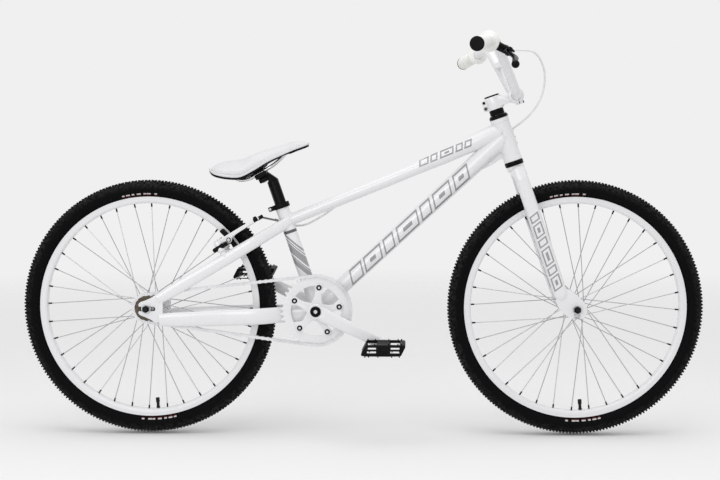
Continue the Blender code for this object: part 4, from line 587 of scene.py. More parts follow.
# %% Solids in one bmesh
class Shape:
    """Solids gathered in one mesh."""

    def __init__(self):
        self.bm = bmesh.new()

    def loft(self, rings, ends=True, closed=False):
        """Skin a row of rings that all have the same number of points."""
        rows = [[self.bm.verts.new(p) for p in ring] for ring in rings]
        pairs = list(zip(rows, rows[1:])) + ([(rows[-1], rows[0])] if closed else [])
        for here, there in pairs:
            for n in range(len(here)):
                m = (n + 1) % len(here)
                self.bm.faces.new((here[n], here[m], there[m], there[n]))
        if ends and not closed:
            self.bm.faces.new(rows[0])
            self.bm.faces.new(rows[-1])
        return self

    def tube(self, path, radius, sides=20):
        """A round bar along a path. The radius is one number, or one for each point."""
        radii = radius if isinstance(radius, (list, tuple)) else [radius] * len(path)
        rings, tall = [], across_of(run_at(path, 0))[0]
        for n, point in enumerate(path):
            run = run_at(path, n)
            tall = (tall - run * tall.dot(run)).normalized()
            rings.append(oval(point, tall * radii[n], run.cross(tall) * radii[n], sides))
        return self.loft(rings)

    def rod(self, start, end, radius, sides=32, edge=0.0004, end_radius=None):
        """A round bar whose rims are eased by a small edge."""
        run = (end - start).normalized()
        end_radius = radius if end_radius is None else end_radius
        path = [start, start + run * edge, end - run * edge, end]
        return self.tube(path, [radius - edge, radius, end_radius, end_radius - edge], sides)

    def pin(self, place, axis, low, high, radius, sides=32, edge=0.0004):
        """A rod between two heights of an axis through a place."""
        return self.rod(place + axis * low, place + axis * high, radius, sides, edge)

    def turned(self, profile, centre, axis, steps=64):
        """A closed profile of (radius, height) pairs spun round an axis."""
        tall, side = across_of(axis)
        rings = []
        for turn in turns_of(steps):
            out = tall * math.cos(turn) + side * math.sin(turn)
            rings.append([centre + out * r + axis * h for r, h in profile])
        return self.loft(rings, ends=False, closed=True)

    def bolt_head(self, spot, out, radius, tall):
        """A bolt's round head with the hollow that its key fits."""
        profile = [(0.0001, tall * 0.35), (radius * 0.50, tall * 0.35), (radius * 0.54, tall),
                   (radius * 0.86, tall), (radius, tall * 0.75), (radius, -0.0010), (0.0001, -0.0010)]
        return self.turned(profile, spot, out, 28)

    def box(self, centre, axes, size, edge=0.0006, steps=2):
        """A block along three directions, with eased edges."""
        made = bmesh.new()
        turn = Matrix(axes).transposed().to_4x4()
        place = Matrix.Translation(centre) @ turn @ Matrix.Diagonal((*size, 1))
        bmesh.ops.create_cube(made, size=1, matrix=place)
        bmesh.ops.bevel(made, geom=made.edges[:], offset=edge, segments=steps, affect="EDGES", profile=0.5)
        return self.add(made)

    def add(self, made):
        """Take in the faces of another bmesh."""
        mesh = bpy.data.meshes.new("part")
        made.to_mesh(mesh)
        return self.add_mesh(mesh)

    def add_mesh(self, mesh):
        self.bm.from_mesh(mesh)
        bpy.data.meshes.remove(mesh)
        return self

    def plate(self, outlines, y, thick, edge=0.0005, steps=2):
        """Flat outlines in the XZ plane made thick about a y. Inner outlines are holes."""
        curve = bpy.data.curves.new("plate", "CURVE")
        curve.dimensions, curve.fill_mode, curve.bevel_resolution = "2D", "BOTH", steps
        curve.extrude, curve.bevel_depth, curve.offset = thick / 2 - edge, edge, -edge
        for outline in outlines:
            spline = curve.splines.new("POLY")
            spline.points.add(len(outline) - 1)
            spline.use_cyclic_u = True
            for corner, p in zip(spline.points, outline):
                corner.co = (p.x, p.z, 0, 1)
        mesh = evaluated(linked("plate", curve))
        mesh.transform(Matrix.Translation((0, y, 0)) @ Matrix.Rotation(math.pi / 2, 4, "X"))
        bpy.data.curves.remove(curve)
        return self.add_mesh(mesh)

    def cleaned(self, merge):
        """The solids as a mesh without doubles, its faces turned outwards."""
        bmesh.ops.remove_doubles(self.bm, verts=self.bm.verts[:], dist=merge)
        bmesh.ops.recalc_face_normals(self.bm, faces=self.bm.faces[:])
        mesh = bpy.data.meshes.new("part")
        self.bm.to_mesh(mesh)
        return mesh

    def done(self, name, finish, sharp=32):
        """Close the mesh and give it its finish."""
        return put(name, self.cleaned(0.00002), finish, sharp)


print("a shape knows", ", ".join(name for name in vars(Shape) if "_" not in name))


# %% Pieces, and the bodies that they ride on
def evaluated(thing):
    """An object's mesh as its modifiers leave it. The object itself is removed."""
    bpy.context.view_layer.update()
    mesh = bpy.data.meshes.new_from_object(thing.evaluated_get(bpy.context.evaluated_depsgraph_get()))
    bpy.data.objects.remove(thing)
    return mesh


def put(name, mesh, finish, sharp=32):
    """Link a mesh as a piece with a finish and crisp edges."""
    mesh.name = name
    mesh.materials.clear()
    mesh.materials.append(finishes[finish].material)
    mesh.polygons.foreach_set("use_smooth", [True] * len(mesh.polygons))
    mesh.set_sharp_from_angle(angle=math.radians(sharp))
    return linked(name, mesh)


def joined(name, finish, *pieces, sharp=32):
    """Several pieces as one mesh with one finish."""
    whole = bmesh.new()
    for piece in pieces:
        whole.from_mesh(piece.data)
        bpy.data.objects.remove(piece)
    mesh = bpy.data.meshes.new(name)
    whole.to_mesh(mesh)
    whole.free()
    return put(name, mesh, finish, sharp)


def mount(piece, body, *nodes, slot=None):
    """Hang the piece on the body that it moves with, and hide the solids that it stands for."""
    finish = next(n for n, made in finishes.items() if made.material == piece.data.materials[0])
    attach(piece, body)
    if nodes:
        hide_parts(*nodes)


print("finishes that share a slot:", ", ".join(slot_of))

# %% [markdown]
# ## Brake cables
#
# The cable's sheath runs from the lever down to a guide on the top tube, then along the frame
# to the rear brake. The rear length rides with the frame, and the front length is left where it
# lies. Both lengths are tubes along one smooth curve through a few given knots.

# %% Lever, guides and noodle, where the cable starts and ends
lever_clamp = Vector((0.283741, -0.221391, 0.90145))
lever_pivot = Vector((0.32626, -0.208701, 0.880094))
lever_axis = Vector((-0.488541, 0.212862, -0.846178))
lever_forward = Vector((0.840083, -0.147298, -0.522076))
lever_out = Vector((-0.235771, -0.965916, -0.10686))
barrel_end = Vector((0.324564, -0.176172, 0.889257))
guides = [(Vector(place), Vector(run).normalized()) for place, run in (
    ((0.238282, 0.018884, 0.660834), (0.915551, 0.041114, 0.400095)),
    ((0.107883, 0.015575, 0.605719), (0.923413, 0.014234, 0.383544)),
    ((-0.034001, 0.015281, 0.548177), (0.926863, 0.001232, 0.375397)))]
noodle_end = Vector((-0.2010, 0.0660, 0.4965))
noodle_run = Vector((0.944567, -0.053975, -0.323852)).normalized()
print("cable guides:", len(guides))

# %% The top tube's middle, which the cable follows
top_rear_radius, top_front_radius = 0.0140, 0.0220
top_swelling = ((0, 0), (0.25, 0), (0.55, 0.03), (0.785, 0.43), (0.93, 0.92), (1, 1))
top_line = top_front - top_rear
top_steepness = top_line.length / top_line.x


def top_tube_at(share, swelling):
    """The top tube's middle and height. Its lower side stays straight, so it rises as it swells."""
    growth = (top_front_radius - top_rear_radius) * swelling
    return top_rear + top_line * share + up * (growth * top_steepness), 2 * (top_rear_radius + growth)


def beside_top_tube(share):
    """A point of the cable where it runs along the left of the top tube."""
    pairs = zip(top_swelling, top_swelling[1:])
    (a, small), (b, large) = next(pair for pair in pairs if share <= pair[1][0])
    middle, size = top_tube_at(share, small + (large - small) * (share - a) / (b - a))
    return middle + Vector((0, math.cos(0.5), -math.sin(0.5))) * (size / 2 + 0.00395)


print("the top tube grows from", 2 * top_rear_radius, "to", 2 * top_front_radius, "m")

# %% Routes of the cable
cable_radius = 0.0025
guide, guide_run = guides[0]
barrel_out = lever_forward * 0.35 - lever_out * 0.94
front_start = barrel_end + barrel_out.normalized() * 0.0008
front_end = guide + guide_run * 0.006
front_bow = ((0.3950, -0.0930, 0.8820), (0.4110, -0.0640, 0.8640), (0.4200, -0.0400, 0.8420),
             (0.4215, -0.0200, 0.8150), (0.4130, 0, 0.7800), (0.3930, 0.0180, 0.7490),
             (0.3640, 0.0330, 0.7230))
front_knots = ([front_start, front_start + barrel_out * 0.020] + [Vector(p) for p in front_bow]
               + [front_end + guide_run * 0.026 + left * 0.005, front_end + guide_run * 0.008,
                  front_end])
along_tube = (0.775, 0.69, 0.56, 0.42, 0.28, 0.265)
rear_bow = ((-0.0960, 0.0230, 0.5090), (-0.1400, 0.0380, 0.4880), (-0.1750, 0.0560, 0.4880))
rear_knots = ([guide - guide_run * 0.0057] + [beside_top_tube(share) for share in along_tube]
              + [Vector(p) for p in rear_bow]
              + [noodle_end + noodle_run * 0.010, noodle_end + noodle_run * 0.0006])
front_path, rear_path = smooth_path(front_knots, 0.003), smooth_path(rear_knots, 0.004)


def tightest_bend(path):
    """The smallest radius of a circle through three neighbouring points."""
    bends = []
    for before, here, after in zip(path, path[1:], path[2:]):
        turn = max((here - before).angle(after - here), 1e-6)
        bends.append((after - before).length / (2 * math.sin(turn)))
    return min(bends)


for path in (front_path, rear_path):
    print("cable", round(length_of(path), 3), "m, tightest bend", round(tightest_bend(path), 4), "m")


# %% Lay both lengths of cable
def sheath(name, path, node):
    """A cable's sheath with a short ferrule at each end."""
    shape = Shape().tube(path, cable_radius - 0.00002, 24)
    for end, inside in ((path[0], path[1]), (path[-1], path[-2])):
        shape.pin(end, (inside - end).normalized(), 0, 0.0080, 0.0029, 28, 0.0003)
    piece = shape.done(name, "cable_sheath", 40)
    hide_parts(node)
    length_of(path)
    return piece


front_cable = sheath("front_brake_cable", front_path, "brake_cable_front")
rear_cable = sheath("rear_brake_cable", rear_path, "brake_cable_rear")
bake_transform(front_cable)
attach(rear_cable, "frame")
print("cables:", front_cable.name, rear_cable.name)

# %% [markdown]
# ## Things that repeat
#
# A wheel is all repetition: knobs, spokes, nipples. Geometry Nodes place one small shape many
# times from a few named numbers. The first tree stands copies of the piece that it is given
# round an axis along Y. It ends in Realize Instances, because only real faces are exported,
# and its result is kept as a plain mesh.

# %% A tree, its inputs and its result
class Tree:
    """A Geometry Nodes tree with named inputs, which stands copies of the piece it is given."""

    def __init__(self, name, **inputs):
        self.tree = bpy.data.node_groups.new(name, "GeometryNodeTree")
        face = self.tree.interface
        inputs = {"Geometry": ("Geometry", None), **inputs, "Material": ("Material", None)}
        for title, (kind, value) in inputs.items():
            socket = face.new_socket(title, in_out="INPUT", socket_type=f"NodeSocket{kind}")
            if value is not None:
                socket.default_value = value
        face.new_socket("Geometry", in_out="OUTPUT", socket_type="NodeSocketGeometry")
        self.inputs = self.node("NodeGroupInput").outputs
        self.index = Number(self.tree, self.node("GeometryNodeInputIndex").outputs[0])

    def node(self, kind, settings=None, sockets=None):
        return make_node(self.tree, kind, settings, sockets)

    def vector(self, x=0.0, y=0.0, z=0.0):
        return self.node("ShaderNodeCombineXYZ", {}, {0: x, 1: y, 2: z}).outputs[0]

    def in_wheel(self, radius, turn, y):
        """A point of the wheel's plane beside the centre, as a vector socket."""
        spot = self.vector(turn.sum("COSINE") * radius, y, turn.sum("SINE") * radius)
        return self.node("ShaderNodeVectorMath", {}, {0: spot, 1: self.inputs["Centre"]}).outputs[0]

    def turned_to(self, run, **settings):
        """The turn that lays the copies' Z axis, or another, along a direction."""
        kind = "FunctionNodeAlignRotationToVector"
        return self.node(kind, {"axis": "Z", **settings}, {"Vector": run}).outputs[0]

    def points_at(self, place):
        """As many points as the tree's Count, moved to their places."""
        points = self.node("GeometryNodePoints", {}, {0: self.inputs["Count"]}).outputs[0]
        return self.node("GeometryNodeSetPosition", {}, {0: points, "Position": place}).outputs[0]

    def stand(self, points, turn, scale=(1, 1, 1)):
        """Stand the copies, realize them and give them the material. This ends the tree."""
        sockets = {"Points": points, "Instance": self.inputs["Geometry"], "Rotation": turn, "Scale": scale}
        copies = self.node("GeometryNodeInstanceOnPoints", {}, sockets).outputs[0]
        real = self.node("GeometryNodeRealizeInstances", {}, {0: copies}).outputs[0]
        sockets = {0: real, "Material": self.inputs["Material"]}
        made = self.node("GeometryNodeSetMaterial", {}, sockets).outputs[0]
        self.node("NodeGroupOutput", {}, {0: made})
        print("tree:", self.tree.name, "with", len(self.tree.nodes), "nodes")

    def grown(self, piece, **values):
        """Run the tree on a piece, keep its result as a plain mesh and delete the seed."""
        step = piece.modifiers.new("grow", "NODES")
        step.node_group = self.tree
        values["Material"] = piece.data.materials[0]
        for item in self.tree.interface.items_tree:
            if item.in_out == "INPUT" and item.name in values:
                step[item.identifier] = values[item.name]
        finish = next(n for n, made in finishes.items() if made.material == values["Material"])
        return put(piece.name, evaluated(piece), finish)


round_axis = Tree("round_an_axis", Count=("Int", 36), Radius=("Float", 0.1), Offset=("Float", 0.0),
                  Tilt=("Float", 0.0), First_turn=("Float", 0.0), Centre=("Vector", (0, 0, 0)))
given = round_axis.inputs
turn = round_axis.index / given["Count"] * (2 * math.pi) + given["First_turn"]
places = round_axis.in_wheel(given["Radius"], turn, given["Offset"])
round_axis.stand(round_axis.points_at(places), round_axis.vector(given["Tilt"], math.pi / 2 - turn))

# %% [markdown]
# ## Tyres
#
# A race tyre has a thin smooth wall beside the rim and rows of low rubber knobs that reach
# right round the shoulder. The casing is one turned ring. The knobs stand on it in thirteen
# rows, and each row is turned by half a step against its neighbour, so the outline shows twice
# as many teeth as one row has.

# %% Tyre casing and knobs
def both_sides(half):
    """A closed outline from its left half, from the inside outwards."""
    return half + [(r, -y) for r, y in half[::-1]]


casing_half = mm((259.4, 11.3), (260.8, 12), (262.6, 14.8), (266, 18.2), (270.5, 20.8), (276.5, 22.1),
                 (282, 21.6), (286.8, 19.6), (290.5, 16.4), (293, 12.4), (294.5, 8), (295.2, 3.5))
casing_inside = mm((260, -8.8), (268, -15), (278, -18.5), (288, -14), (291.5, -5))
casing = both_sides(casing_half) + both_sides(casing_inside)
# radius of the row, y, length round, width, height, and lean outwards in degrees
knob_rows = [(*sizes, lean_out) for sizes, lean_out in zip(mm(
    (295, 0, 4, 4, 3), (294.9, 5.2, 4.2, 3.8, 3), (293.8, 10.2, 4, 4, 3.2), (291.2, 15.2, 4.4, 4, 3),
    (286.8, 19.5, 4.2, 5, 2.1), (281.5, 21.5, 4.6, 3.4, 1.3), (277.2, 22, 4, 2.4, 0.7)),
    (0, 8, 22, 40, 58, 76, 86))]
knobs_in_a_row = 118


def knob(long, wide, tall):
    """A rubber knob standing on the origin along +Z, open below."""
    rings = []
    for z, share in ((-0.0010, 1.0), (tall * 0.75, 0.9), (tall, 0.80)):
        corners = ((-1, -1), (1, -1), (1, 1), (-1, 1))
        rings.append([Vector((a * long / 2 * share, b * wide / 2 * share, z)) for a, b in corners])
    return Shape().loft(rings).done("knob", "tyre_rubber")


def dressed_tyre(name, centre):
    """The casing and its rows of knobs. Every second row is turned by half a step."""
    parts = [Shape().turned(casing, centre, left, 120).done("casing", "tyre_rubber")]
    for n, (row_radius, y, long, wide, tall, lean_out) in enumerate(knob_rows):
        for side in ((1, -1) if y else (1,)):
            half_step = math.pi / knobs_in_a_row * ((n + (side < 0)) % 2)
            parts.append(round_axis.grown(
                knob(long, wide, tall), Count=knobs_in_a_row, Radius=row_radius, Offset=side * y,
                Tilt=-side * math.radians(lean_out), First_turn=half_step, Centre=centre))
    return joined(name, "tyre_rubber", *parts, sharp=35)


wheels = (("front", front_axle), ("rear", rear_axle))
for end, centre in wheels:
    piece = dressed_tyre(f"{end}_tyre_casing", centre)
    mount(piece, f"{end}_wheel", f"{end}_tyre")
    print(piece.name, len(piece.data.polygons), "faces")

# %% [markdown]
# ## Rims, spokes and nipples
#
# A rim is a hollow alloy extrusion rolled into a hoop, deeper than it is wide at the inside.
# Each flange carries eighteen spokes. Half lean forward and half lean back, so that they pull
# against each other, and each ends in a small black nipple in the rim. The second tree lays
# the spokes out from the numbers that a wheelbuilder uses.

# %% Rims and valves
rim_half = mm((250.5, 11.2), (258.6, 11.6), (259.2, 12.4), (259, 13.4), (257, 13.4), (251, 13.1),
              (248.4, 12.8), (247, 12.2), (244, 10), (243.2, 8.6))
tube_half = mm((261.2, 6.2), (270, 12), (280, 15), (289, 10))
# the valve's steps: where each starts and ends, measured from the axle, and its radius
valve_steps = mm((262, 241.8, 3), (242, 239.5, 4.6), (239.7, 229, 3.6), (229.2, 218.2, 4.4))
valve_out = in_wheel(Vector(), 1, math.radians(-86.3))
for end, centre in wheels:
    rim = Shape().turned(both_sides(rim_half), centre, left, 144)
    mount(rim.done(f"{end}_rim_hoop", "white_paint", 40), f"{end}_wheel", f"{end}_rim")
    tube = Shape().turned(both_sides(tube_half), centre, left, 72)
    for start, stop, thick in valve_steps:
        tube.pin(centre, valve_out, start, stop, thick, 24)
    for n in range(6):
        tube.pin(centre, valve_out, 0.2278 - n * 0.0015, 0.2272 - n * 0.0015, 0.0047, 24, 0.0001)
    mount(tube.done(f"{end}_tube_and_valve", "tube_rubber"), f"{end}_wheel", f"{end}_inner_tube")
print("rim depth", round(rim_half[2][0] - rim_half[-1][0], 4), "m")

# %% The spoke tree
laced = Tree("laced_spokes", Count=("Int", 9), Hub_radius=("Float", 0.02), Hub_side=("Float", 0.03),
             Rim_radius=("Float", 0.243), Rim_side=("Float", 0.004), First_angle=("Float", 0.0),
             Lean=("Float", 1.0), Thickness=("Float", 0.001), Nipple=("Bool", False),
             Centre=("Vector", (0, 0, 0)))
given = laced.inputs
rim_turn = laced.index / given["Count"] * (2 * math.pi) + given["First_angle"]
at_hub = laced.in_wheel(given["Hub_radius"], rim_turn + given["Lean"], given["Hub_side"])
at_rim = laced.in_wheel(given["Rim_radius"], rim_turn, given["Rim_side"])
run = laced.node("ShaderNodeVectorMath", {"operation": "SUBTRACT"}, {0: at_rim, 1: at_hub}).outputs[0]
reach = laced.node("ShaderNodeVectorMath", {"operation": "LENGTH"}, {0: run}).outputs["Value"]
is_nipple, thick = Number(laced.tree, given["Nipple"]), given["Thickness"]
long = Number(laced.tree, reach) * (1 - is_nipple) + is_nipple * thick
choice = {"Switch": given["Nipple"], "False": at_hub, "True": at_rim}
where = laced.node("GeometryNodeSwitch", {"input_type": "VECTOR"}, choice).outputs[0]
laced.stand(laced.points_at(where), laced.turned_to(run), laced.vector(thick, thick, long))


# %% Lace the wheels
def unit_bar(low, high, finish, sides):
    """A bar of 1 m radius along +Z, which the tree scales to a spoke or a nipple."""
    return Shape().pin(Vector(), up, low, high, 1, sides, 0.0001).done("bar", finish)


hub_radius, spokes_a_flange = 0.0200, 18
first_nipple, nipple_step = math.radians(88.7), 2 * math.pi / spokes_a_flange
flanges = (("front", "right", -0.0310, 0), ("front", "left", 0.0310, 0.5),
           ("rear", "right", -0.0270, 0), ("rear", "left", 0.0340, 0.5))
for end, word, flange_y, shift in flanges:
    centre, side = dict(wheels)[end], math.copysign(1, flange_y)
    spokes, nipples = [], []
    for leaning, first in ((-1, 0), (1, 1)):
        elbow = flange_y + side * (0.0030 if leaning < 0 else 0.0022)
        lean_turn, first_angle = leaning * math.radians(60), first_nipple + (first + shift) * nipple_step
        numbers = {"Count": spokes_a_flange // 2, "Hub_radius": hub_radius, "Hub_side": elbow,
                   "Rim_side": side * 0.0040, "Lean": lean_turn, "First_angle": first_angle,
                   "Centre": centre}
        spokes.append(laced.grown(unit_bar(0, 1, "spoke_steel", 10), Thickness=0.00100,
                                  Rim_radius=0.2425, **numbers))
        nipples.append(laced.grown(unit_bar(-4.6, 1.2, "black_metal", 12), Thickness=0.0019,
                                   Nipple=True, Rim_radius=0.2434, **numbers))
        for turn in turns_of(spokes_a_flange // 2):
            spot = in_wheel(centre, hub_radius, first_angle + turn + lean_turn, flange_y)
            head = Shape().pin(spot, left * side, -0.0032, 0.0031, 0.0011, 10)
            head.pin(spot, left * side, -0.0026, -0.0016, 0.0021, 12)
            spokes.append(head.done("spoke_head", "spoke_steel"))
    wire = joined(f"{end}_spokes_{word}_wire", "spoke_steel", *spokes)
    mount(wire, f"{end}_wheel", f"{end}_spokes_{word}")
    mount(joined(f"{end}_nipples_{word}", "black_metal", *nipples), f"{end}_wheel")
print("spokes:", len(flanges) * spokes_a_flange)


# %% Hubs
def flange(y, outwards):
    """The outline of one thin flange, passed from the shell's outer end to its middle."""
    steps = ((15, 2.2), (23.2, 1.5), (24, 0.8), (24, -0.8), (23.2, -1.5), (16.5, -2.2), (13.8, -6))
    return [(r, outwards * (y + h)) for r, h in mm(*steps)]


def hub_profile(right, left_side, half, has_freewheel):
    """A turned alloy hub with two thin flanges, in (radius, height) about +Y."""
    shoulder = [(0.0053, half), (0.0088, half), (0.0088, left_side + 0.0080), (0.0105, left_side + 0.0060)]
    right_flange = flange(right, -1)[::-1]
    if has_freewheel:
        right_flange[-1:] = [(0.0147, -0.0020 - right), (0.0147, -0.0455), (0.0088, -0.0455)]
    else:
        right_flange += [(0.0105, -0.0060 - right), (0.0088, -0.0080 - right)]
    middle, end = [(0.0132, 0.0)], [(0.0088, -half), (0.0053, -half)]
    return shoulder + flange(left_side, 1) + middle + right_flange + end


hub_sizes = {"front": (0.031, 0.031, 0.0497), "rear": (0.027, 0.034, 0.0547)}
for end, centre in wheels:
    hub = Shape().turned(hub_profile(*hub_sizes[end], end == "rear"), centre, left)
    mount(hub.done(f"{end}_hub_shell", "silver", 28), f"{end}_wheel", f"{end}_hub")
print("hubs:", ", ".join(hub_sizes))

# %% [markdown]
# ## The frame
#
# The frame is aluminium tubes welded together. The top tube swells and rises towards the head
# tube, the down tube is fatter there too, and the stays are squeezed from round tube. Each
# tube is a loft through the same stations as the solid's, with many more sides.

# %% Lofts through stations
def through(stations, sides=40, power=1.0):
    """Rings along a bar from its stations of centre, height and width, smoothed between them."""
    centres = [station[0] for station in stations]
    sizes = [Vector((tall, wide, 0)) for _, tall, wide in stations]
    lengths = [length_of(centres[:n + 1]) for n in range(len(centres))]
    line, rings = smooth_path(centres, 0.012), []
    stretch = lengths[-1] / length_of(line)
    for n, point in enumerate(line):
        share = length_of(line[:n + 1]) * stretch
        k = max(j for j in range(len(stations) - 1) if lengths[j] <= share + 1e-9)
        t = min(1, (share - lengths[k]) / (lengths[k + 1] - lengths[k]))
        size = sizes[k].lerp(sizes[k + 1], eased(t))
        tall, wide = across_of(run_at(line, n))
        rings.append(oval(point, tall * size.x / 2, wide * size.y / 2, sides, power))
    return rings


top_stations = [(middle, size, size * 0.96) for middle, size in
                (top_tube_at(share, swelling) for share, swelling in top_swelling)]
print("top tube rings:", len(through(top_stations)))

# %% Stays
stay_front, stay_rear = bracket + tube_up * 0.2145, at(rear_axle, 0.028, 0, 0.022)
stay_length, stay_run = (stay_front - stay_rear).length, (stay_front - stay_rear).normalized()
stay_above = above_line(stay_run)
stay_y, pivot_y = 0.058, 0.0425
pivot_middle = Vector((-0.334762, 0, 0.450753))
pivot_along = (pivot_middle - stay_above * 0.043 - stay_rear).dot(stay_run)


def stays(side):
    """Stations of the chain stay and of the seat stay on one side."""
    beside_wheel = mm((30, 58, -25.5, 28, 11.5), (62, 56, -25, 33, 12.5), (190, 43.5, -21.5, 38, 15),
                      (272, 39.5, -18.5, 38, 16), (306, 26.5, -17, 37, 16))
    beside_shell = mm((-40, 25, -10.5, 34, 16), (-8, 24.5, -3, 30, 16))
    chain = [(at(place, x, side * y, z), tall, wide)
             for place, rows in ((rear_axle, beside_wheel), (bracket, beside_shell))
             for x, y, z, tall, wide in rows]
    rows = [(0, stay_y, 0.024, 0.0115), (0.045, 0.054, 0.029, 0.0125),
            (pivot_along, pivot_y, 0.029, 0.014), (0.262, 0.0385, 0.028, 0.014),
            (0.300, 0.027, 0.027, 0.014), (stay_length + 0.004, 0.012, 0.026, 0.013),
            (stay_length + 0.013, 0.006, 0.019, 0.010)]
    seat = [(stay_rear + stay_run * along + left * side * y, tall, wide) for along, y, tall, wide in rows]
    return chain, seat


print("seat stays", round(stay_length, 3), "m, brake studs at", round(pivot_along, 3), "m")

# %% Main tubes
tubes = {
    "top": Shape().loft(through(top_stations)),
    "seat": Shape().rod(bracket, seat_top - tube_up * 0.0005, 0.0158, 48),
    "down": Shape().loft([
        oval(bracket.lerp(down_front, 0.013 + 0.987 * t), down_above * (0.0188 + 0.0027 * t ** 1.5),
             left * (0.0188 + 0.0027 * t ** 1.5), 48) for t in [n / 24 for n in range(25)]]),
    "shell": Shape().turned(mm((17.6, -34), (20.2, -34), (21, -33.2), (21, 33.2), (20.2, 34),
                               (17.6, 34)), bracket, left),
    "head": Shape().turned([(0.0214, 0), (0.0214, head_length), (0.0185, head_length), (0.0185, 0)],
                           head_base, tube_up)}
head_wall = mm((21.2, 0), (22.1, 0.6), (22.2, 8), (21.4, 9), (21.2, 52), (21.4, 95), (22.2, 96),
               (22.1, 103.4), (21.2, 104), (18.5, 104), (18.5, 0))
frame_shape = Shape().turned(head_wall, head_base, tube_up)
print("tubes:", ", ".join(tubes))

# %% [markdown]
# Where two tubes meet, the welder leaves a bead that looks like a row of fish scales. Its line
# is found by looking along one tube from all round, and asking where each look meets the other
# tube. `BVHTree` answers that question. Then a tube with small regular swellings follows it.

# %% Weld beads
def weld(trunk, start, run, branch_radius, flat=1.0, looks=120):
    """Points round a branch where it meets a trunk. Looks that miss the trunk are left out."""
    tree = BVHTree.FromBMesh(trunk.bm)
    found = []
    tall, side = across_of(run)
    for out in oval(Vector(), tall * branch_radius, side * (branch_radius * flat), looks):
        hit = tree.ray_cast(start + out, run, 0.12)[0]
        if hit:
            found.append(hit + out.normalized() * 0.0002)
    return found


def bead_round(shape, line, size=0.0019, scale_length=0.0030):
    """Lay the bead along a closed line as overlapping scales. A wide gap stays a straight run."""
    fine = []
    for a, b in zip(line, line[1:] + line[:1]):
        gap = (b - a).length
        pieces = 1 if gap > 0.02 else max(1, round(gap / 0.0009))
        fine += [a.lerp(b, k / pieces) for k in range(pieces)]
    rings = []
    for n, point in enumerate(fine):
        ripple = length_of(fine[:n + 1]) / scale_length % 1
        radius = size * (0.80 + 0.28 * math.sin(math.pi * ripple))
        tall, side = across_of(fine[(n + 1) % len(fine)] - fine[n - 1])
        rings.append(oval(point, tall * radius, side * radius, 8))
    shape.loft(rings, ends=False, closed=True)


beads, look_from = Shape(), 0.10
for trunk, start, run, branch_radius, flat in (
        ("head", down_front, down_run, 0.0212, 1), ("head", top_stations[-1][0], top_run, 0.0217, 0.96),
        ("seat", top_rear, -top_run, 0.0142, 1), ("shell", bracket, -tube_up, 0.0160, 1),
        ("shell", bracket, -down_run, 0.0190, 1)):
    bead_round(beads, weld(tubes[trunk], start - run * look_from, run, branch_radius, flat))
print("weld beads:", len(beads.bm.faces), "faces")

# %% [markdown]
# Plates do the small jobs: the dropouts hold the rear axle, a gusset stiffens the joint under
# the down tube, and bridges tie the stays together. Two studs on the seat stays carry the
# brake, and three rings on the top tube guide its cable.

# %% Outlines of the dropout and the gusset
slot_half = 0.0053


def dropout_edge():
    """The rear dropout's outline. Its slot opens backwards."""
    edge = mm((-16.5, -5.3), (-18.5, -8.3), (-16.8, -12.5), (-11.5, -16), (-3, -18.8), (10, -25),
              (22, -32.5), (32, -30), (37, -25), (38.5, -11), (38.5, 11), (37, 28), (31, 33.5),
              (24, 34), (12, 26), (-3, 19.2), (-11.5, 16.6), (-16.8, 13), (-18.5, 8.3), (-16.5, 5.3))
    slot_end = arc(at(rear_axle, 0.016), slot_half, math.pi / 2, -math.pi / 2, 14)
    return slot_end + [at(rear_axle, x, 0, z) for x, z in edge]


def gusset_edges():
    """The gusset's outline under the down tube, and the small round hole in it."""
    under_tube = down_front - down_above * 0.0215
    foot = head_base + tube_up * 0.012
    outline = [foot, foot - tube_ahead * 0.0262]
    for t in [n / 6 for n in range(7)]:
        outline.append(under_tube - down_run * (0.040 + 0.055 * t) - down_above * (0.0095 - 0.0125 * t * t))
    outline += [down_front - down_run * 0.060, down_front]
    hole = under_tube - down_run * 0.068 - down_above * 0.0015
    return [outline, [in_wheel(hole, 0.0022, turn) for turn in turns_of(20)]]


print("dropout corners:", len(dropout_edge()))

# %% Plates, bridges, studs and guides
for side, _ in sides:
    chain_stay, seat_stay = stays(side)
    frame_shape.loft(through(chain_stay, 32, 0.86)).loft(through(seat_stay, 32, 0.90))
    frame_shape.plate([dropout_edge()], side * stay_y, 0.0058, 0.0007)
    foot = stay_rear + stay_run * pivot_along + left * side * pivot_y
    frame_shape.pin(foot, stay_above, 0, 0.0188, 0.0070).pin(foot, stay_above, 0, 0.0472, 0.0040, 24)
for bridge in (stay_rear + stay_run * 0.305, at(rear_axle, 0.322, 0, -0.016)):
    frame_shape.pin(bridge, left, -0.024, 0.024, 0.0070)
frame_shape.plate(gusset_edges(), 0, 0.0078, 0.0010, 3)
guide_ring = mm((2.9, -4), (4, -4), (4.5, -3.4), (4.5, 3.4), (4, 4), (2.9, 4))
for place, run in guides:
    frame_shape.turned(guide_ring, place, run, 32)
for name in ("top", "seat", "down", "shell"):
    bmesh.ops.remove_doubles(tubes[name].bm, verts=tubes[name].bm.verts[:], dist=0.00001)
    frame_shape.add(tubes[name].bm)
frame_piece = frame_shape.add(beads.bm).done("welded_frame", "frame_paint", 34)
mount(frame_piece, "frame", "frame")
print("frame:", len(frame_piece.data.polygons), "faces")

# %% [markdown]
# The head tube carries a small bare plate on its front. It is a curved sheet that follows the
# tube, held by three dark rivets.

# %% Head plate
def round_head(height, radius, degrees):
    """A point on the front of the head tube."""
    turn = math.radians(degrees)
    out = tube_ahead * math.cos(turn) + left * math.sin(turn)
    return head_base + tube_up * height + out * radius


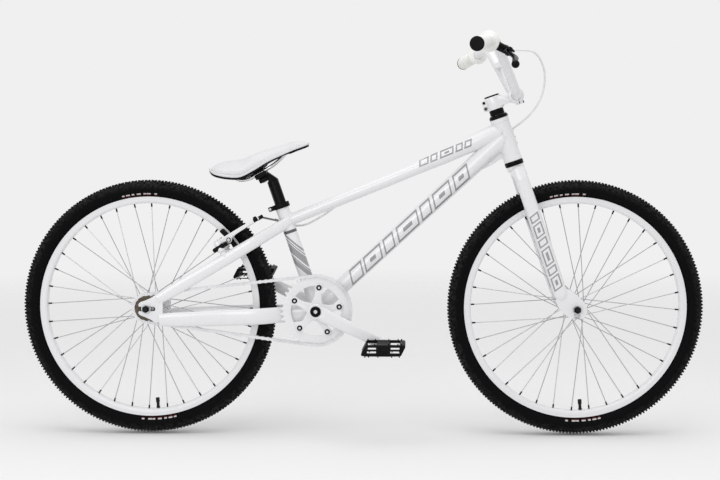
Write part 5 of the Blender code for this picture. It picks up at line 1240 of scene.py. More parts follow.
plate_rows = []
for height in [0.0330 + 0.0390 * n / 8 for n in range(9)]:
    inner = [round_head(height, 0.0215, a * 5.2) for a in range(-6, 7)]
    plate_rows.append(inner + [round_head(height, 0.0222, a * 5.0) for a in range(6, -7, -1)])
mount(Shape().loft(plate_rows).done("head_plate", "white_paint"), "frame")
rivets, rivet = Shape(), mm((0.1, 1), (0.9, 0.9), (1.6, 0.5), (1.9, 0), (0.1, 0))
for height in (0.0370, 0.0525, 0.0680):
    rivets.turned(rivet, round_head(height, 0.0220, 0), tube_ahead, 20)
mount(rivets.done("head_plate_rivets", "black_metal"), "frame")
print("head plate rows:", len(plate_rows))

# %% [markdown]
# ## Fork and headset
#
# The fork's legs are squeezed tubes, deep from front to back, welded to a crown under the head
# tube. They narrow to the plates that hold the axle. The legs are lofts with squared ovals for
# sections, and the black headset rings are turned.

# %% Fork
def crown_ring(y, drop, tall):
    """A section of the fork's crown, whose arms bend down towards the legs."""
    middle = crown - tube_up * drop + tube_ahead * 0.002 + left * y
    return oval(middle, tube_ahead * 0.0168, tube_up * tall / 2, 32)


def leg_rings(side):
    """Sections of one leg: their drop below the crown, y, depth and width."""
    rows = mm((8, 37.5, 30, 22.5), (30, 43.5, 31, 25), (70, 45.5, 32.3, 25), (201.5, 47.5, 34, 25),
              (290, 49.5, 32.6, 21), (317, 53, 30.6, 15), (325, 53, 20.4, 10))
    rings = []
    for share in [n / 8 for n in range(49)]:
        k = min(int(share), len(rows) - 2)
        drop, y, deep, wide = (a + (b - a) * (share - k) for a, b in zip(rows[k], rows[k + 1]))
        middle = crown - tube_up * drop + tube_ahead * 0.002 + left * (side * y)
        rings.append(oval(middle, tube_ahead * deep / 2, left * wide / 2, 36, 0.88))
    return rings


half_crown = mm((44.5, 24, 18), (40, 21.5, 23), (30, 17.5, 28), (18, 15.5, 30.5))
crown_rows = [(-y, *rest) for y, *rest in half_crown] + mm((0, 15, 31)) + half_crown[::-1]
fork_shape = Shape().loft([crown_ring(*row) for row in crown_rows])
fork_end = mm((-8.3, -22), (-13, -21), (-23, -15), (-34, -6), (-44, 7), (-49, 18), (-46, 48),
              (-18, 47), (6, 28), (14, 19.5), (20, 11), (22.8, 4), (23, -3), (21, -11), (17, -18),
              (8.3, -22))
fork_edge = arc(front_axle, slot_half, 0, math.pi, 14) + [at(front_axle, x, 0, z) for x, z in fork_end]
for side, _ in sides:
    fork_shape.loft(leg_rings(side)).plate([fork_edge], side * 0.053, 0.0058, 0.0008)
steerer = mm((12.3, -12), (20, -12), (20.6, -9), (20.6, -0.6), (20, 0), (14.3, 0.6), (14.3, 161.8),
             (12.3, 161.8))
fork_piece = fork_shape.turned(steerer, crown, tube_up, 56).done("welded_fork", "fork_paint", 34)
mount(fork_piece, "steering", "fork")
print("fork:", len(fork_piece.data.polygons), "faces")

# %% Headset rings, spacer and top cap
lower = mm((14.6, 12), (17.7, 12), (17.7, -0.3), (20.5, -0.3), (21.9, -1.2), (22.2, -3), (22.2, -6.2),
           (21.4, -6.6), (21.4, -7.4), (22.1, -7.8), (22.1, -10), (21.2, -10.7), (14.6, -10.7))
upper = mm((14.6, 9), (19.6, 9), (20.2, 8.4), (20.4, 6.6), (21.8, 6), (22.2, 5), (22.2, 1.2),
           (21.4, 0.3), (17.7, 0.3), (17.7, -12), (14.6, -12))
spacer = mm((14.6, 22.3), (16.5, 22.3), (17, 21.8), (17, 16.3), (16.6, 15.9), (16.6, 15.6),
            (17, 15.2), (17, 9.8), (16.5, 9.3), (14.6, 9.3))
for name, profile, foot, body, node in (
        ("lower_headset_ring", lower, head_base, "frame", "headset_cup_lower"),
        ("upper_headset_ring", upper, head_top, "frame", "headset_cup_upper"),
        ("steerer_spacer", spacer, head_top, "steering", "headset_spacer")):
    ring = Shape().turned(profile, foot, tube_up, 56 if profile == spacer else 64)
    mount(ring.done(name, "black_metal", 25), body, node)
cap_height = 0.0303
cap_foot = stem_base + tube_up * cap_height
cap = Shape().turned(mm((0.1, 3.4), (3.4, 3.4), (3.4, 1.2), (5.2, 1.2), (5.6, 3.4), (15, 3.5),
                        (17.2, 2.8), (17.8, 1.2), (17.8, 0), (0.1, 0)), cap_foot, tube_up, 56)
cap.pin(cap_foot, tube_up, -0.030, 0, 0.0030, 20)
mount(cap.done("stem_cap", "black_metal", 28), "steering", "stem_top_cap")
print("headset stack", round((cap_foot - head_top).length, 4), "m high above the head tube")

# %% [markdown]
# ## Stem
#
# The stem clamps the steerer with two bolts behind and the handlebar with four in front. It
# is one forging: a round clamp, a boxy arm that hugs it, and half of the bar clamp. The other
# half is the faceplate, split off by a thin dark gap. Boolean modifiers join the solids and
# cut the bores, and a bevel then eases the edges as a real forging's are.

# %% Forgings
def forged(name, finish, solids, cutters, ease=0.0004, sharp=28, angle=40):
    """Solids joined, bores cut out of them, and the sharp edges eased."""
    base, *tools = [linked("forging", shape.cleaned(0.00001)) for shape in solids + cutters]
    for n, tool in enumerate(tools):
        step = base.modifiers.new("step", "BOOLEAN")
        step.operation = "UNION" if n < len(solids) - 1 else "DIFFERENCE"
        step.solver, step.object = "EXACT", tool
    whole = Shape().add_mesh(evaluated(base))
    for tool in tools:
        bpy.data.objects.remove(tool)
    parts = {"verts": whole.bm.verts[:], "edges": whole.bm.edges[:]}
    bmesh.ops.dissolve_limit(whole.bm, angle_limit=math.radians(1), **parts)
    piece = whole.done(name, finish, sharp)
    step = piece.modifiers.new("ease", "BEVEL")
    step.width, step.segments, step.harden_normals = ease, 2, True
    step.limit_method, step.angle_limit = "ANGLE", math.radians(angle)
    return put(name, evaluated(piece), finish, sharp)


print("a forging is eased by", forged.__defaults__[0], "m unless it says otherwise")

# %% Stem and faceplate
bar_bore = Shape().pin(bar_centre, left, -0.04, 0.04, 0.0114, 48)
bar_clamp = Shape().pin(bar_centre, left, -0.024, 0.024, 0.0179, 56, 0.0012)
lugs = Shape().box(bar_centre + tube_ahead * 0.003, tube_axes, (0.0150, 0.0436, 0.0446), 0.0022, 3)
split_at, half_gap, cutter_half = bar_centre + tube_ahead * 0.0020, 0.0010, 0.0358
rear_away, front_away = (
    Shape().box(split_at + tube_ahead * way * (cutter_half - half_gap), tube_axes,
                (2 * cutter_half, 0.1, 0.15), 0.0001, 1) for way in (1, -1))
steerer_bore = Shape().pin(stem_base, tube_up, -0.02, 0.05, 0.0146, 48)
slit = Shape().box(stem_middle - tube_ahead * 0.0264, tube_axes, (0.026, 0.0018, 0.060), 0.0001, 1)
steerer_clamp = Shape().pin(stem_base, tube_up, 0.0003, 0.030, 0.0206, 56, 0.0008)
arm = Shape().box(stem_middle + tube_ahead * 0.0265, tube_axes, (0.0330, 0.0338, 0.0228), 0.0020, 3)
ears = Shape().box(stem_middle - tube_ahead * 0.0214, tube_axes, (0.0120, 0.0220, 0.0270), 0.0022, 3)
mount(forged("stem_body", "white_paint", [steerer_clamp, arm, ears, bar_clamp, lugs],
             [rear_away, steerer_bore, bar_bore, slit], 0.0006, 25, 30), "steering", "stem")
mount(forged("stem_face", "white_paint", [bar_clamp, lugs], [front_away, bar_bore], 0.0006, 25, 30),
      "steering", "stem_faceplate")
print("stem reach", round((bar_centre - stem_middle).length, 3), "m")

# %% Stem bolts
bolts, bolt_side, bolt_height = Shape(), 0.0165, 0.0186
for side in (-1, 1):
    for high in (-1, 1):
        spot = bar_centre + left * side * bolt_side + tube_up * high * bolt_height
        bolts.bolt_head(spot + tube_ahead * 0.0105, tube_ahead, 0.0033, 0.0022)
for high in (1, -1):
    bolts.pin(split_at + tube_up * high * bolt_height, left, -0.0205, -0.0125, 0.0021, 20)
rear_bolts = stem_middle - tube_ahead * 0.0228 - left * 0.0108
upper_bolt, lower_bolt = rear_bolts + tube_up * 0.0070, rear_bolts - tube_up * 0.0070
bolts.bolt_head(upper_bolt, -left, 0.0034, 0.0012)
bolts.bolt_head(lower_bolt - left * 0.0004, -left, 0.0022, 0.0012)
mount(bolts.done("stem_bolts", "black_metal", 28), "steering")
washer = Shape().turned(mm((2.4, 0), (4, 0), (4.6, 0.6), (4, 1.1), (2.4, 1.1)), lower_bolt, -left, 32)
mount(washer.done("stem_washer", "dull_steel", 28), "steering")
print("stem bolts: 4 in front and 2 behind")

# %% [markdown]
# ## Handlebar, grips and end plugs
#
# The handlebar is one bent tube with a straight crossbar welded between its uprights. The
# grips are soft moulded rubber with a wide flange at the inner end. Their ribs are rings,
# made by the same tree idea as the tyre's knobs, only in a row along an axis.

# %% Handlebar
bar_lean, bar_radius, bar_sweep = math.radians(64.6), 0.0111, math.radians(15)
bar_up = Vector((-math.cos(bar_lean), 0, math.sin(bar_lean)))
bar_back = Vector((-math.sin(bar_lean), 0, -math.cos(bar_lean)))
bar_rise, clamp_half, bar_corner, bar_half, crossbar_rise = 0.1305, 0.050, 0.150, 0.360, 0.082


def on_bar(y, rise, back=0.0):
    """A point of the handlebar's own plane, or behind it."""
    return bar_centre + left * y + bar_up * rise + bar_back * back


sweep_back = (bar_half - bar_corner) * math.tan(bar_sweep)
bar_ends = {s: on_bar(s * bar_half, bar_rise + 0.001, sweep_back) for s in (-1, 1)}
grip_out = {s: (bar_ends[s] - on_bar(s * bar_corner, bar_rise)).normalized() for s in (-1, 1)}
corners = [bar_ends[-1], on_bar(-bar_corner, bar_rise), on_bar(-clamp_half, 0), on_bar(clamp_half, 0),
           on_bar(bar_corner, bar_rise), bar_ends[1]]
bar_path = rounded(corners, (0.055, 0.050, 0.050, 0.055), 16)
bar_tube = Shape().tube(bar_path, bar_radius, 40)
crossbar_half = clamp_half + (bar_corner - clamp_half) * crossbar_rise / bar_rise
crossbar = on_bar(0, crossbar_rise)
bar = Shape().tube(bar_path, bar_radius, 40)
bar.pin(crossbar, left, -crossbar_half, crossbar_half, 0.0080, 36)
for side in (-1, 1):
    look_along = left * side
    bead_round(bar, weld(bar_tube, crossbar + look_along * crossbar_half / 4, look_along, 0.0081), 0.0015)
mount(bar.done("bent_handlebar", "white_paint", 30), "steering", "handlebar")
print("handlebar tube", round(length_of(bar_path), 3), "m long")

# %% A tree for things in a row
in_a_row = Tree("in_a_row", Count=("Int", 10), Start=("Vector", (0, 0, 0)), End=("Vector", (0, 0, 1)))
given = in_a_row.inputs
ends = {"Start": given["Start"], "End": given["End"]}
line = in_a_row.node("GeometryNodeCurvePrimitiveLine", {}, ends).outputs[0]
marks = in_a_row.node("GeometryNodeCurveToPoints", {}, {0: line, "Count": given["Count"]}).outputs
in_a_row.stand(marks["Points"], in_a_row.turned_to(marks["Tangent"]))

# %% Grips and end plugs
grip_profile = mm((11.4, 0), (14.6, 0), (15, -1), (15, -4), (14.3, -6), (14.2, -118), (15.2, -124),
                  (16.2, -127.5), (21.5, -129.6), (23.2, -130.6), (23.5, -132), (23.2, -133.6),
                  (21.5, -134.6), (15, -135), (11.4, -135))
rib_profile = mm((13.8, -1.3), (15.3, -1), (15.7, 0), (15.3, 1), (13.8, 1.3))
plug_profile = mm((0.1, 2.2), (6, 2.2), (6.8, 3), (14, 3), (15.5, 2.2), (15.8, 1), (15.5, 0.3), (0.1, 0.3))
ribs_on_a_grip = 26
for side, word in sides:
    out, end = grip_out[side], bar_ends[side]
    grip = Shape().turned(grip_profile, end, out).done("grip_body", "pale_grip")
    rib = Shape().turned(rib_profile, Vector(), up, 40).done("rib", "pale_grip")
    ribs = in_a_row.grown(rib, Count=ribs_on_a_grip, Start=end - out * 0.0085, End=end - out * 0.1165)
    whole = joined(f"flanged_grip_{word}", "pale_grip", grip, ribs, sharp=40)
    mount(whole, "steering", f"grip_{word}")
    plug = Shape().turned(plug_profile, end, out, 48).done(f"grip_end_plug_{word}", "black_plastic", 30)
    mount(plug, "steering", f"bar_end_plug_{word}")
print("grip ribs:", ribs_on_a_grip, "each")

# %% [markdown]
# ## Brake lever
#
# The lever turns in a bracket that is clamped round the bar. Both are forged, so their
# sections swell and shrink along the way. Lofts through a few ovals give such shapes: more
# rings are added by blending between neighbours, and the ends are rounded off.

# %% Blended lofts
def blended(stations, sides=32, power=1.0, parts=6):
    """Rings through stations of (centre, tall, wide), with smooth steps between them."""
    rings, last = [], len(stations) - 1
    for n in range(last * parts + 1):
        k = min(n // parts, last - 1)
        t = n / parts - k
        spots = [stations[min(max(k + j, 0), last)][0] for j in (-1, 0, 1, 2)]
        weights = (t * t - 0.5 * t - 0.5 * t ** 3, 1 - 2.5 * t * t + 1.5 * t ** 3,
                   0.5 * t + 2 * t * t - 1.5 * t ** 3, 0.5 * t ** 3 - 0.5 * t * t)
        centre = sum((spot * weight for spot, weight in zip(spots, weights)), Vector())
        tall, wide = (stations[k][j].lerp(stations[k + 1][j], eased(t)) for j in (1, 2))
        rings.append(oval(centre, tall, wide, sides, power))
    return rings


def capped(rings, round_over=0.0015):
    """Round the first and last ring over, so that a bar doesn't end in a knife edge."""
    def end_rings(last, before):
        middle = sum(last, Vector()) / len(last)
        run = (middle - sum(before, Vector()) / len(before)).normalized()
        return [[middle + (p - middle) * math.cos(a) + run * round_over * math.sin(a) for p in last]
                for a in (0.5, 0.9, 1.25)]
    return end_rings(rings[0], rings[1])[::-1] + rings + end_rings(rings[-1], rings[-2])


print("a blend of 3 stations has", len(blended([(up * n, forward, left) for n in range(3)])), "rings")


# %% Lever bracket
def by_lever(place, ahead=0.0, out=0.0, along_axis=0.0):
    """A point beside the lever's clamp or its pivot."""
    return place + lever_forward * ahead + lever_out * out + lever_axis * along_axis


tall = lever_axis * 0.0095
bracket_rings = blended([(by_lever(lever_clamp, 0.012), tall, lever_out * 0.0075),
                         (by_lever(lever_clamp, 0.026, -0.006), tall, lever_out * 0.012),
                         (lever_pivot, tall * 0.95, lever_out * 0.011),
                         (by_lever(lever_pivot, 0.0105), tall * 0.8, lever_out * 0.006)], 32, 0.85)
foot = by_lever(lever_clamp, 0.026, -0.004)
barrel_run = (barrel_end - foot).normalized()
# the barrel's steps: how far each lies before its end, and its radius
barrel_steps = mm((15, 5.6), (14.8, 6.6), (6, 6.6), (5.8, 5), (0.6, 4.8), (0, 4.3))
barrel_line = [foot, foot + barrel_run * 0.008] + [barrel_end - barrel_run * s for s, _ in barrel_steps]
barrel = Shape().tube(barrel_line, [0.0062, 0.0060] + [radius for _, radius in barrel_steps], 32)
clamp_ring = Shape().pin(lever_clamp, lever_out, -0.0070, 0.0070, 0.0160, 48, 0.0008)
grip_bore = Shape().pin(lever_clamp, lever_out, -0.04, 0.04, 0.0114, 48)
blade_slot = Shape().box(by_lever(lever_pivot, 0.006, 0.004), (lever_forward, lever_out, lever_axis),
                         (0.0300, 0.0360, 0.0076), 0.0001, 1)
bracket_solids = [clamp_ring, Shape().loft(capped(bracket_rings)), barrel]
mount(forged("lever_bracket_body", "black_metal", bracket_solids, [grip_bore, blade_slot]),
      "steering", "brake_lever_bracket")
print("barrel", round((barrel_end - foot).length, 4), "m long")

# %% Bolts of the bracket, and the ribs of its barrel
fittings = Shape()
for end in (-1, 1):
    fittings.bolt_head(by_lever(lever_pivot, 0, 0, end * 0.0090), lever_axis * end, 0.0042, 0.0012)
fittings.bolt_head(by_lever(lever_clamp, -0.0040, 0, 0.0145), (lever_axis - lever_forward * 0.3).normalized(),
                   0.0030, 0.0018)
tall_way, side_way = across_of(barrel_run)
for rib in oval(barrel_end, tall_way * 0.0062, side_way * 0.0062, 8):
    fittings.pin(rib, barrel_run, -0.0144, -0.0066, 0.0009, 10, 0.0003)
mount(fittings.done("lever_bracket_bolts", "black_metal", 28), "steering")
print("bracket fittings:", len(fittings.bm.faces), "faces")

# %% Lever blade
tip = by_lever(lever_pivot, 0.041, 0.125)
# the blade's sections: ahead of the pivot, out from it, half height and half width
blade_rows = mm((0, -4, 8.5, 3.3), (6, 12, 7.5, 3.3), (24, 40, 6.8, 5.8), (30, 75, 5.8, 7),
                (41, 119, 5.2, 6.2))
blade = Shape().loft(capped(blended([
    (by_lever(lever_pivot, ahead, out), lever_forward * deep, lever_axis * thick)
    for ahead, out, deep, thick in blade_rows], 36, 0.86, 10)))
ball = bmesh.new()
ball_place = Matrix.Translation(tip)
bmesh.ops.create_uvsphere(ball, u_segments=36, v_segments=20, radius=0.0087, matrix=ball_place)
mount(blade.add(ball).done("lever_blade", "black_metal", 40), "lever", "brake_lever")
print("lever blade", round((tip - lever_pivot).length, 3), "m from its pivot to the ball")

# %% [markdown]
# ## Saddle
#
# The saddle is a stiff black shell with a padded cover pulled over it. The cover starts
# slightly small, is given an even skin by a voxel remesh, and is then blown up a little as
# cloth, which rounds it as padding does. How far a point may move is capped, and is nothing at
# the flat underside, which sits on the shell. A hem folded over the shell's edge comes last.

# %% Outline of the saddle
seat_clamp_at = Vector((-0.237116, 0, 0.612282))
rail_lean = math.radians(30)
rail_run = Vector((math.cos(rail_lean), 0, math.sin(rail_lean)))
rail_above = above_line(rail_run)
saddle_length, saddle_half, saddle_crown = 0.229, 0.070, 0.040
saddle_rows = [
    # share of the length, seam's height, half width and crown's height, as shares of their sizes
    (-0.507, 0.035, 0.400, 0.100), (-0.476, 0.006, 0.671, 0.400), (-0.419, -0.0175, 0.886, 0.675),
    (-0.301, -0.0375, 1, 0.900), (-0.175, -0.035, 0.986, 0.980), (-0.044, 0.031, 0.800, 0.925),
    (0.087, 0.114, 0.571, 0.688), (0.223, 0.179, 0.414, 0.550), (0.354, 0.236, 0.329, 0.450),
    (0.450, 0.271, 0.257, 0.325), (0.493, 0.289, 0.157, 0.150)]


def saddle_row(share):
    """The seam's height, the half width and the crown's height at a share of the length."""
    share = min(max(share, saddle_rows[0][0]), saddle_rows[-1][0])
    last = len(saddle_rows) - 1
    k = next(n for n in range(last) if share <= saddle_rows[n + 1][0])
    row = [saddle_rows[min(max(k + j, 0), last)] for j in (-1, 0, 1, 2)]
    wide = row[2][0] - row[1][0]
    t = (share - row[1][0]) / wide
    values = []
    for j in (1, 2, 3):
        leaving, arriving = ((row[n + 1][j] - row[n - 1][j]) / (row[n + 1][0] - row[n - 1][0]) * wide
                             for n in (1, 2))
        values.append((1 - eased(t)) * row[1][j] + (t**3 - 2 * t * t + t) * leaving
                      + eased(t) * row[2][j] + (t**3 - t * t) * arriving)
    return values[0] * saddle_length, values[1] * saddle_half, max(0.002, values[2] * saddle_crown)


def saddle_at(share, across, above):
    """A point from its share along, its share of the half width, and its height over the seam."""
    seam, half, _ = saddle_row(share)
    return at(seat_clamp_at, share * saddle_length, across * half, seam + above)


cover_shares = [n / 72 - 0.507 for n in range(73)]
print("saddle", saddle_length, "m long and", 2 * saddle_half, "m wide")

# %% The cover before it is blown up
right_edge = [(-0.95, 0.00), (-1.00, 0.20), (-0.95, 0.46), (-0.78, 0.74), (-0.44, 0.94)]
cover_edge = right_edge + [(0, 1)] + [(-y, z) for y, z in right_edge[::-1]]


def spaced(path, count):
    """Points at equal steps along a path."""
    total, found = length_of(path), []
    for n in range(count + 1):
        gone = 0
        for a, b in zip(path, path[1:]):
            step = (b - a).length
            if gone + step >= total * n / count - 1e-9:
                found.append(a.lerp(b, min(1, (total * n / count - gone) / step)))
                break
            gone += step
    return found


cover_rings = []
for share in cover_shares:
    _, half, crown_height = saddle_row(share)
    narrow, low = max(0.3, 1 - 0.0016 / half), max(0.45, 1 - 0.0016 / crown_height)
    edge = [Vector((0, y * half * narrow, crown_height * z * low)) for y, z in cover_edge]
    middle = saddle_at(share, 0, 0.0004)
    cover_rings.append([middle + p for p in spaced(smooth_path(edge, 0.004), 30)])
cover = Shape().loft(cover_rings).done("padded_saddle_cover", "saddle_vinyl", 60)
skin = cover.modifiers.new("even_skin", "REMESH")
skin.mode, skin.voxel_size, skin.use_smooth_shade = "VOXEL", 0.004, True
cover = put("padded_saddle_cover", evaluated(cover), "saddle_vinyl", 60)
print("even skin:", len(cover.data.polygons), "faces")

# %% Blow the cover up as cloth
padding_cap, flat_below, full_above = 0.0030, 0.0015, 0.0060


def blown_up(cover, frames=20):
    """Where the cover's points go when it is blown up as cloth, without gravity."""
    cloth = cover.modifiers.new("padding", "CLOTH")
    settings = cloth.settings
    settings.use_pressure, settings.uniform_pressure_force = True, 4.0
    settings.effector_weights.gravity = 0
    settings.quality, settings.mass = 6, 0.2
    settings.tension_stiffness = settings.compression_stiffness = 25
    cloth.point_cache.frame_start, cloth.point_cache.frame_end = 1, frames
    for number in range(1, frames + 1):
        bpy.context.scene.frame_set(number)
    moved = cover.evaluated_get(bpy.context.evaluated_depsgraph_get()).to_mesh()
    after = [v.co.copy() for v in moved.vertices]
    cover.modifiers.remove(cloth)
    bpy.context.scene.frame_set(1)
    return after


before = [v.co.copy() for v in cover.data.vertices]
after = blown_up(cover)
for vertex, old, new in zip(cover.data.vertices, before, after):
    height = old.z - saddle_at((old.x - seat_clamp_at.x) / saddle_length, 0, 0).z
    cap = padding_cap * min(1, max(0, (height - flat_below) / full_above))
    move = new - old
    vertex.co = old + move * (min(1, cap / move.length) if move.length > 1e-9 else 1)
cover.data.update()
finer = cover.modifiers.new("finer", "SUBSURF")
finer.levels = finer.render_levels = 1
cover = put("padded_saddle_cover", evaluated(cover), "saddle_vinyl", 60)
print("cover:", len(cover.data.polygons), "faces")

# %% Hem
first, last, steps = -0.505, 0.492, 90
right_side = [saddle_at(first + (last - first) * n / steps, -0.965, 0.0022) for n in range(steps + 1)]
route, hem_rings = right_side + mirrored(right_side), []
for n, p in enumerate(route):
    out = run_at(route, n).cross(up).normalized()
    hem_rings.append(oval(p, up * 0.0028, out * 0.0016, 20, 0.8))
hem = Shape().loft(hem_rings).done("saddle_hem", "saddle_vinyl", 50)
cover = joined("padded_saddle_cover", "saddle_vinyl", cover, hem, sharp=50)
mount(cover, "frame", "saddle_cover")
print("hem", round(length_of(route), 3), "m round")

# %% Shell
shell_rings, wall = [], 0.0030
for share in cover_shares:
    rim = 0.0056 if share < 0.06 else 0.0022 if share < 0.29 else 0.0048
    right_half = [(-0.955, rim), (-0.97, rim - 0.0015), (-0.97, 0.0003), (-0.5, 0.0003)]
    left_half = [(-y, z) for y, z in right_half[::-1]]
    inside = [(0.91, rim), (0.86, wall), (0.4, wall), (-0.4, wall), (-0.86, wall), (-0.91, rim)]
    edge = right_half + [(0, 0.0003)] + left_half + inside
    shell_rings.append([saddle_at(share, y, -z) for y, z in edge])
shell = Shape().loft(shell_rings).done("saddle_shell_body", "black_plastic", 40)
mount(shell, "frame", "saddle_shell")
print("shell:", len(shell.data.polygons), "faces")

# %% [markdown]
# ## Rails, seat post and collar
#
# The rails are one wire, bent so that it dips from under the shell into the clamp. The post's
# head is a forged plate that leans back to the clamp, and the clamp is two grooved blocks
# drawn together by one bolt. A slit collar with a small bolt behind grips the post.

# %% Rails
def under_saddle(share, y, drop=0.0):
    """A point under the shell."""
    return saddle_at(share, 0, -0.0071 - drop) + left * y


rail_y = 0.022
beside = seat_clamp_at + left * rail_y
side_knots = ([under_saddle(-0.367, 0.02816, -0.0090), under_saddle(-0.275, 0.0275, -0.0075),
               under_saddle(-0.205, 0.0265)]
              + [beside + rail_run * ahead for ahead in (-0.0260, -0.0155, 0, 0.0155, 0.0300)]
              + [under_saddle(0.205, 0.0125), under_saddle(0.270, 0.0090, -0.0085),
                 under_saddle(0.306, 0, -0.0090)])
rail_path = smooth_path(side_knots + mirrored(side_knots[:-1]), 0.004)
mount(Shape().tube(rail_path, 0.0035, 24).done("bent_rails", "bright_steel", 45), "frame", "saddle_rails")
print("rail wire", round(length_of(rail_path), 3), "m long")

# %% Seat post, clamp and its bolt
post_top, seat_axes = seat_top + tube_up * 0.0577, (rail_run, left, rail_above)
cradle_top, bolt_seat = seat_clamp_at - rail_above * 0.0003, seat_clamp_at - rail_above * 0.0190


def clamp_block(place, ahead, above, size, edge):
    """A block of the clamp, leaning as the rails do."""
    return Shape().box(place + rail_run * ahead + rail_above * above, seat_axes, size, edge, 3)


cutters = [Shape().pin(at(seat_clamp_at, y=s * rail_y), rail_run, -0.029, 0.029, 0.0038) for s in (-1, 1)]
cutters.append(Shape().pin(seat_clamp_at, rail_above, -0.03, 0.03, 0.0043))
post_side, below_top = tube_ahead * 0.0126, post_top - tube_up * 0.0120
head_outline = [cradle_top - rail_above * 0.004 - rail_run * 0.0120, bolt_seat - rail_run * 0.0100,
                bolt_seat + rail_run * 0.0100, below_top - post_side, below_top + post_side,
                post_top + post_side, cradle_top - rail_above * 0.0020 + rail_run * 0.0140]
post_tube = Shape().rod(seat_top - tube_up * 0.089, post_top - tube_up * 0.001, 0.0136, 56, 0.0012)
post_solids = [post_tube, Shape().plate([head_outline], 0, 0.0242, 0.0022, 3),
               clamp_block(cradle_top, 0, -0.0057, (0.0290, 0.0560, 0.0113), 0.0018),
               clamp_block(bolt_seat, -0.0010, 0.0012, (0.0215, 0.0300, 0.0100), 0.0018)]
mount(forged("seat_post_forging", "black_metal", post_solids, cutters), "frame", "seat_post")
upper_block = clamp_block(seat_clamp_at, 0, 0.00405, (0.0270, 0.0560, 0.0075), 0.0016)
mount(forged("saddle_clamp_block", "black_metal", [upper_block], cutters, 0.0003), "frame", "saddle_clamp")
bolt = Shape().rod(bolt_seat - rail_above * 0.0005, seat_clamp_at + rail_above * 0.0078, 0.0040)
bolt.bolt_head(bolt_seat - rail_above * 0.0016, -rail_above, 0.0068, 0.0036)
mount(bolt.done("saddle_clamp_screw", "dull_steel", 28), "frame", "saddle_clamp_bolt", slot="bright_steel")
print("seat post shown:", round((post_top - seat_top).length, 4), "m")

# %% Collar and its bolt
collar_middle, collar_half = seat_top + tube_up * (0.0005 - 0.0060), 0.0060
bolt_spot = collar_middle - tube_ahead * 0.02695
collar_ring = Shape().pin(collar_middle, tube_up, -collar_half, collar_half, 0.0198, 64, 0.0009)
ears = Shape().box(collar_middle - tube_ahead * 0.0233, tube_axes, (0.0160, 0.0160, 0.0110), 0.0024, 3)
slit = Shape().box(collar_middle - tube_ahead * 0.0264, tube_axes, (0.0240, 0.0020, 0.0300), 0.0001, 1)
collar_bores = [Shape().pin(collar_middle, tube_up, -0.02, 0.02, 0.0163, 56), slit,
                Shape().pin(bolt_spot, left, -0.02, 0.02, 0.0029, 24)]
collar = forged("seat_collar", "black_metal", [collar_ring, ears], collar_bores, 0.0003)
mount(collar, "frame", "seat_clamp")
collar_bolt = Shape().pin(bolt_spot, left, -0.0095, 0.0085, 0.0026, 24)
collar_bolt.pin(bolt_spot, left, -0.0083, -0.0108, 0.0032, 28)
collar_bolt.bolt_head(at(bolt_spot, y=-0.0108), -left, 0.0026, 0.0012)
mount(collar_bolt.done("collar_screw", "bright_steel", 28), "frame", "seat_clamp_bolt")
print("collar", 2 * collar_half, "m high")

# %% [markdown]
# ## Rim brake
#
# Each arm turns on a stud of the seat stay. The bent pipe, the noodle, leads the cable into the
# left arm, and the bare inner wire crosses to the right arm, so pulling it draws both
# together. A small spring box at each arm's foot pushes it back.

# %% Points beside an arm, and its outlines
pivots = {side: at(pivot_middle, y=side * pivot_y) for side, _ in sides}
arm_slant, arm_axes = math.atan2(stay_run.z, stay_run.x), (stay_run, left, stay_above)
arm_foot = mm((-8.5, 3.4), (-9.5, 0), (-8.5, -4.4), (14, -5.8))
arm_blade = mm((39.5, -5.6), (67.8, -4.6), (112, -3.2), (112.8, 0), (112, 3.2), (67.8, 4.2))
spring_box = mm((8.2, -5), (9.8, -4.6), (10.2, -3), (10.2, 3), (9.8, 4.6), (8.2, 5))
# the spring cover's sections: along the arm, out from it, half height and half width
cover_rows = mm((-16.5, 4, 4, 3), (-12, 5.2, 5.4, 3.8), (6, 6, 5.8, 4), (20, 5.6, 4.6, 3.2))


def by_arm(side, along, above, out=0.0):
    """A point beside a brake arm: along it, above its middle line, and towards the outside."""
    return pivots[side] + stay_run * along + stay_above * above + left * side * out


def pad_eye(side):
    """The middle of the arm's eye, which holds the pad's post."""
    return by_arm(side, 0.0275, -0.0080)


print("brake arms lean", round(math.degrees(arm_slant), 1), "degrees")

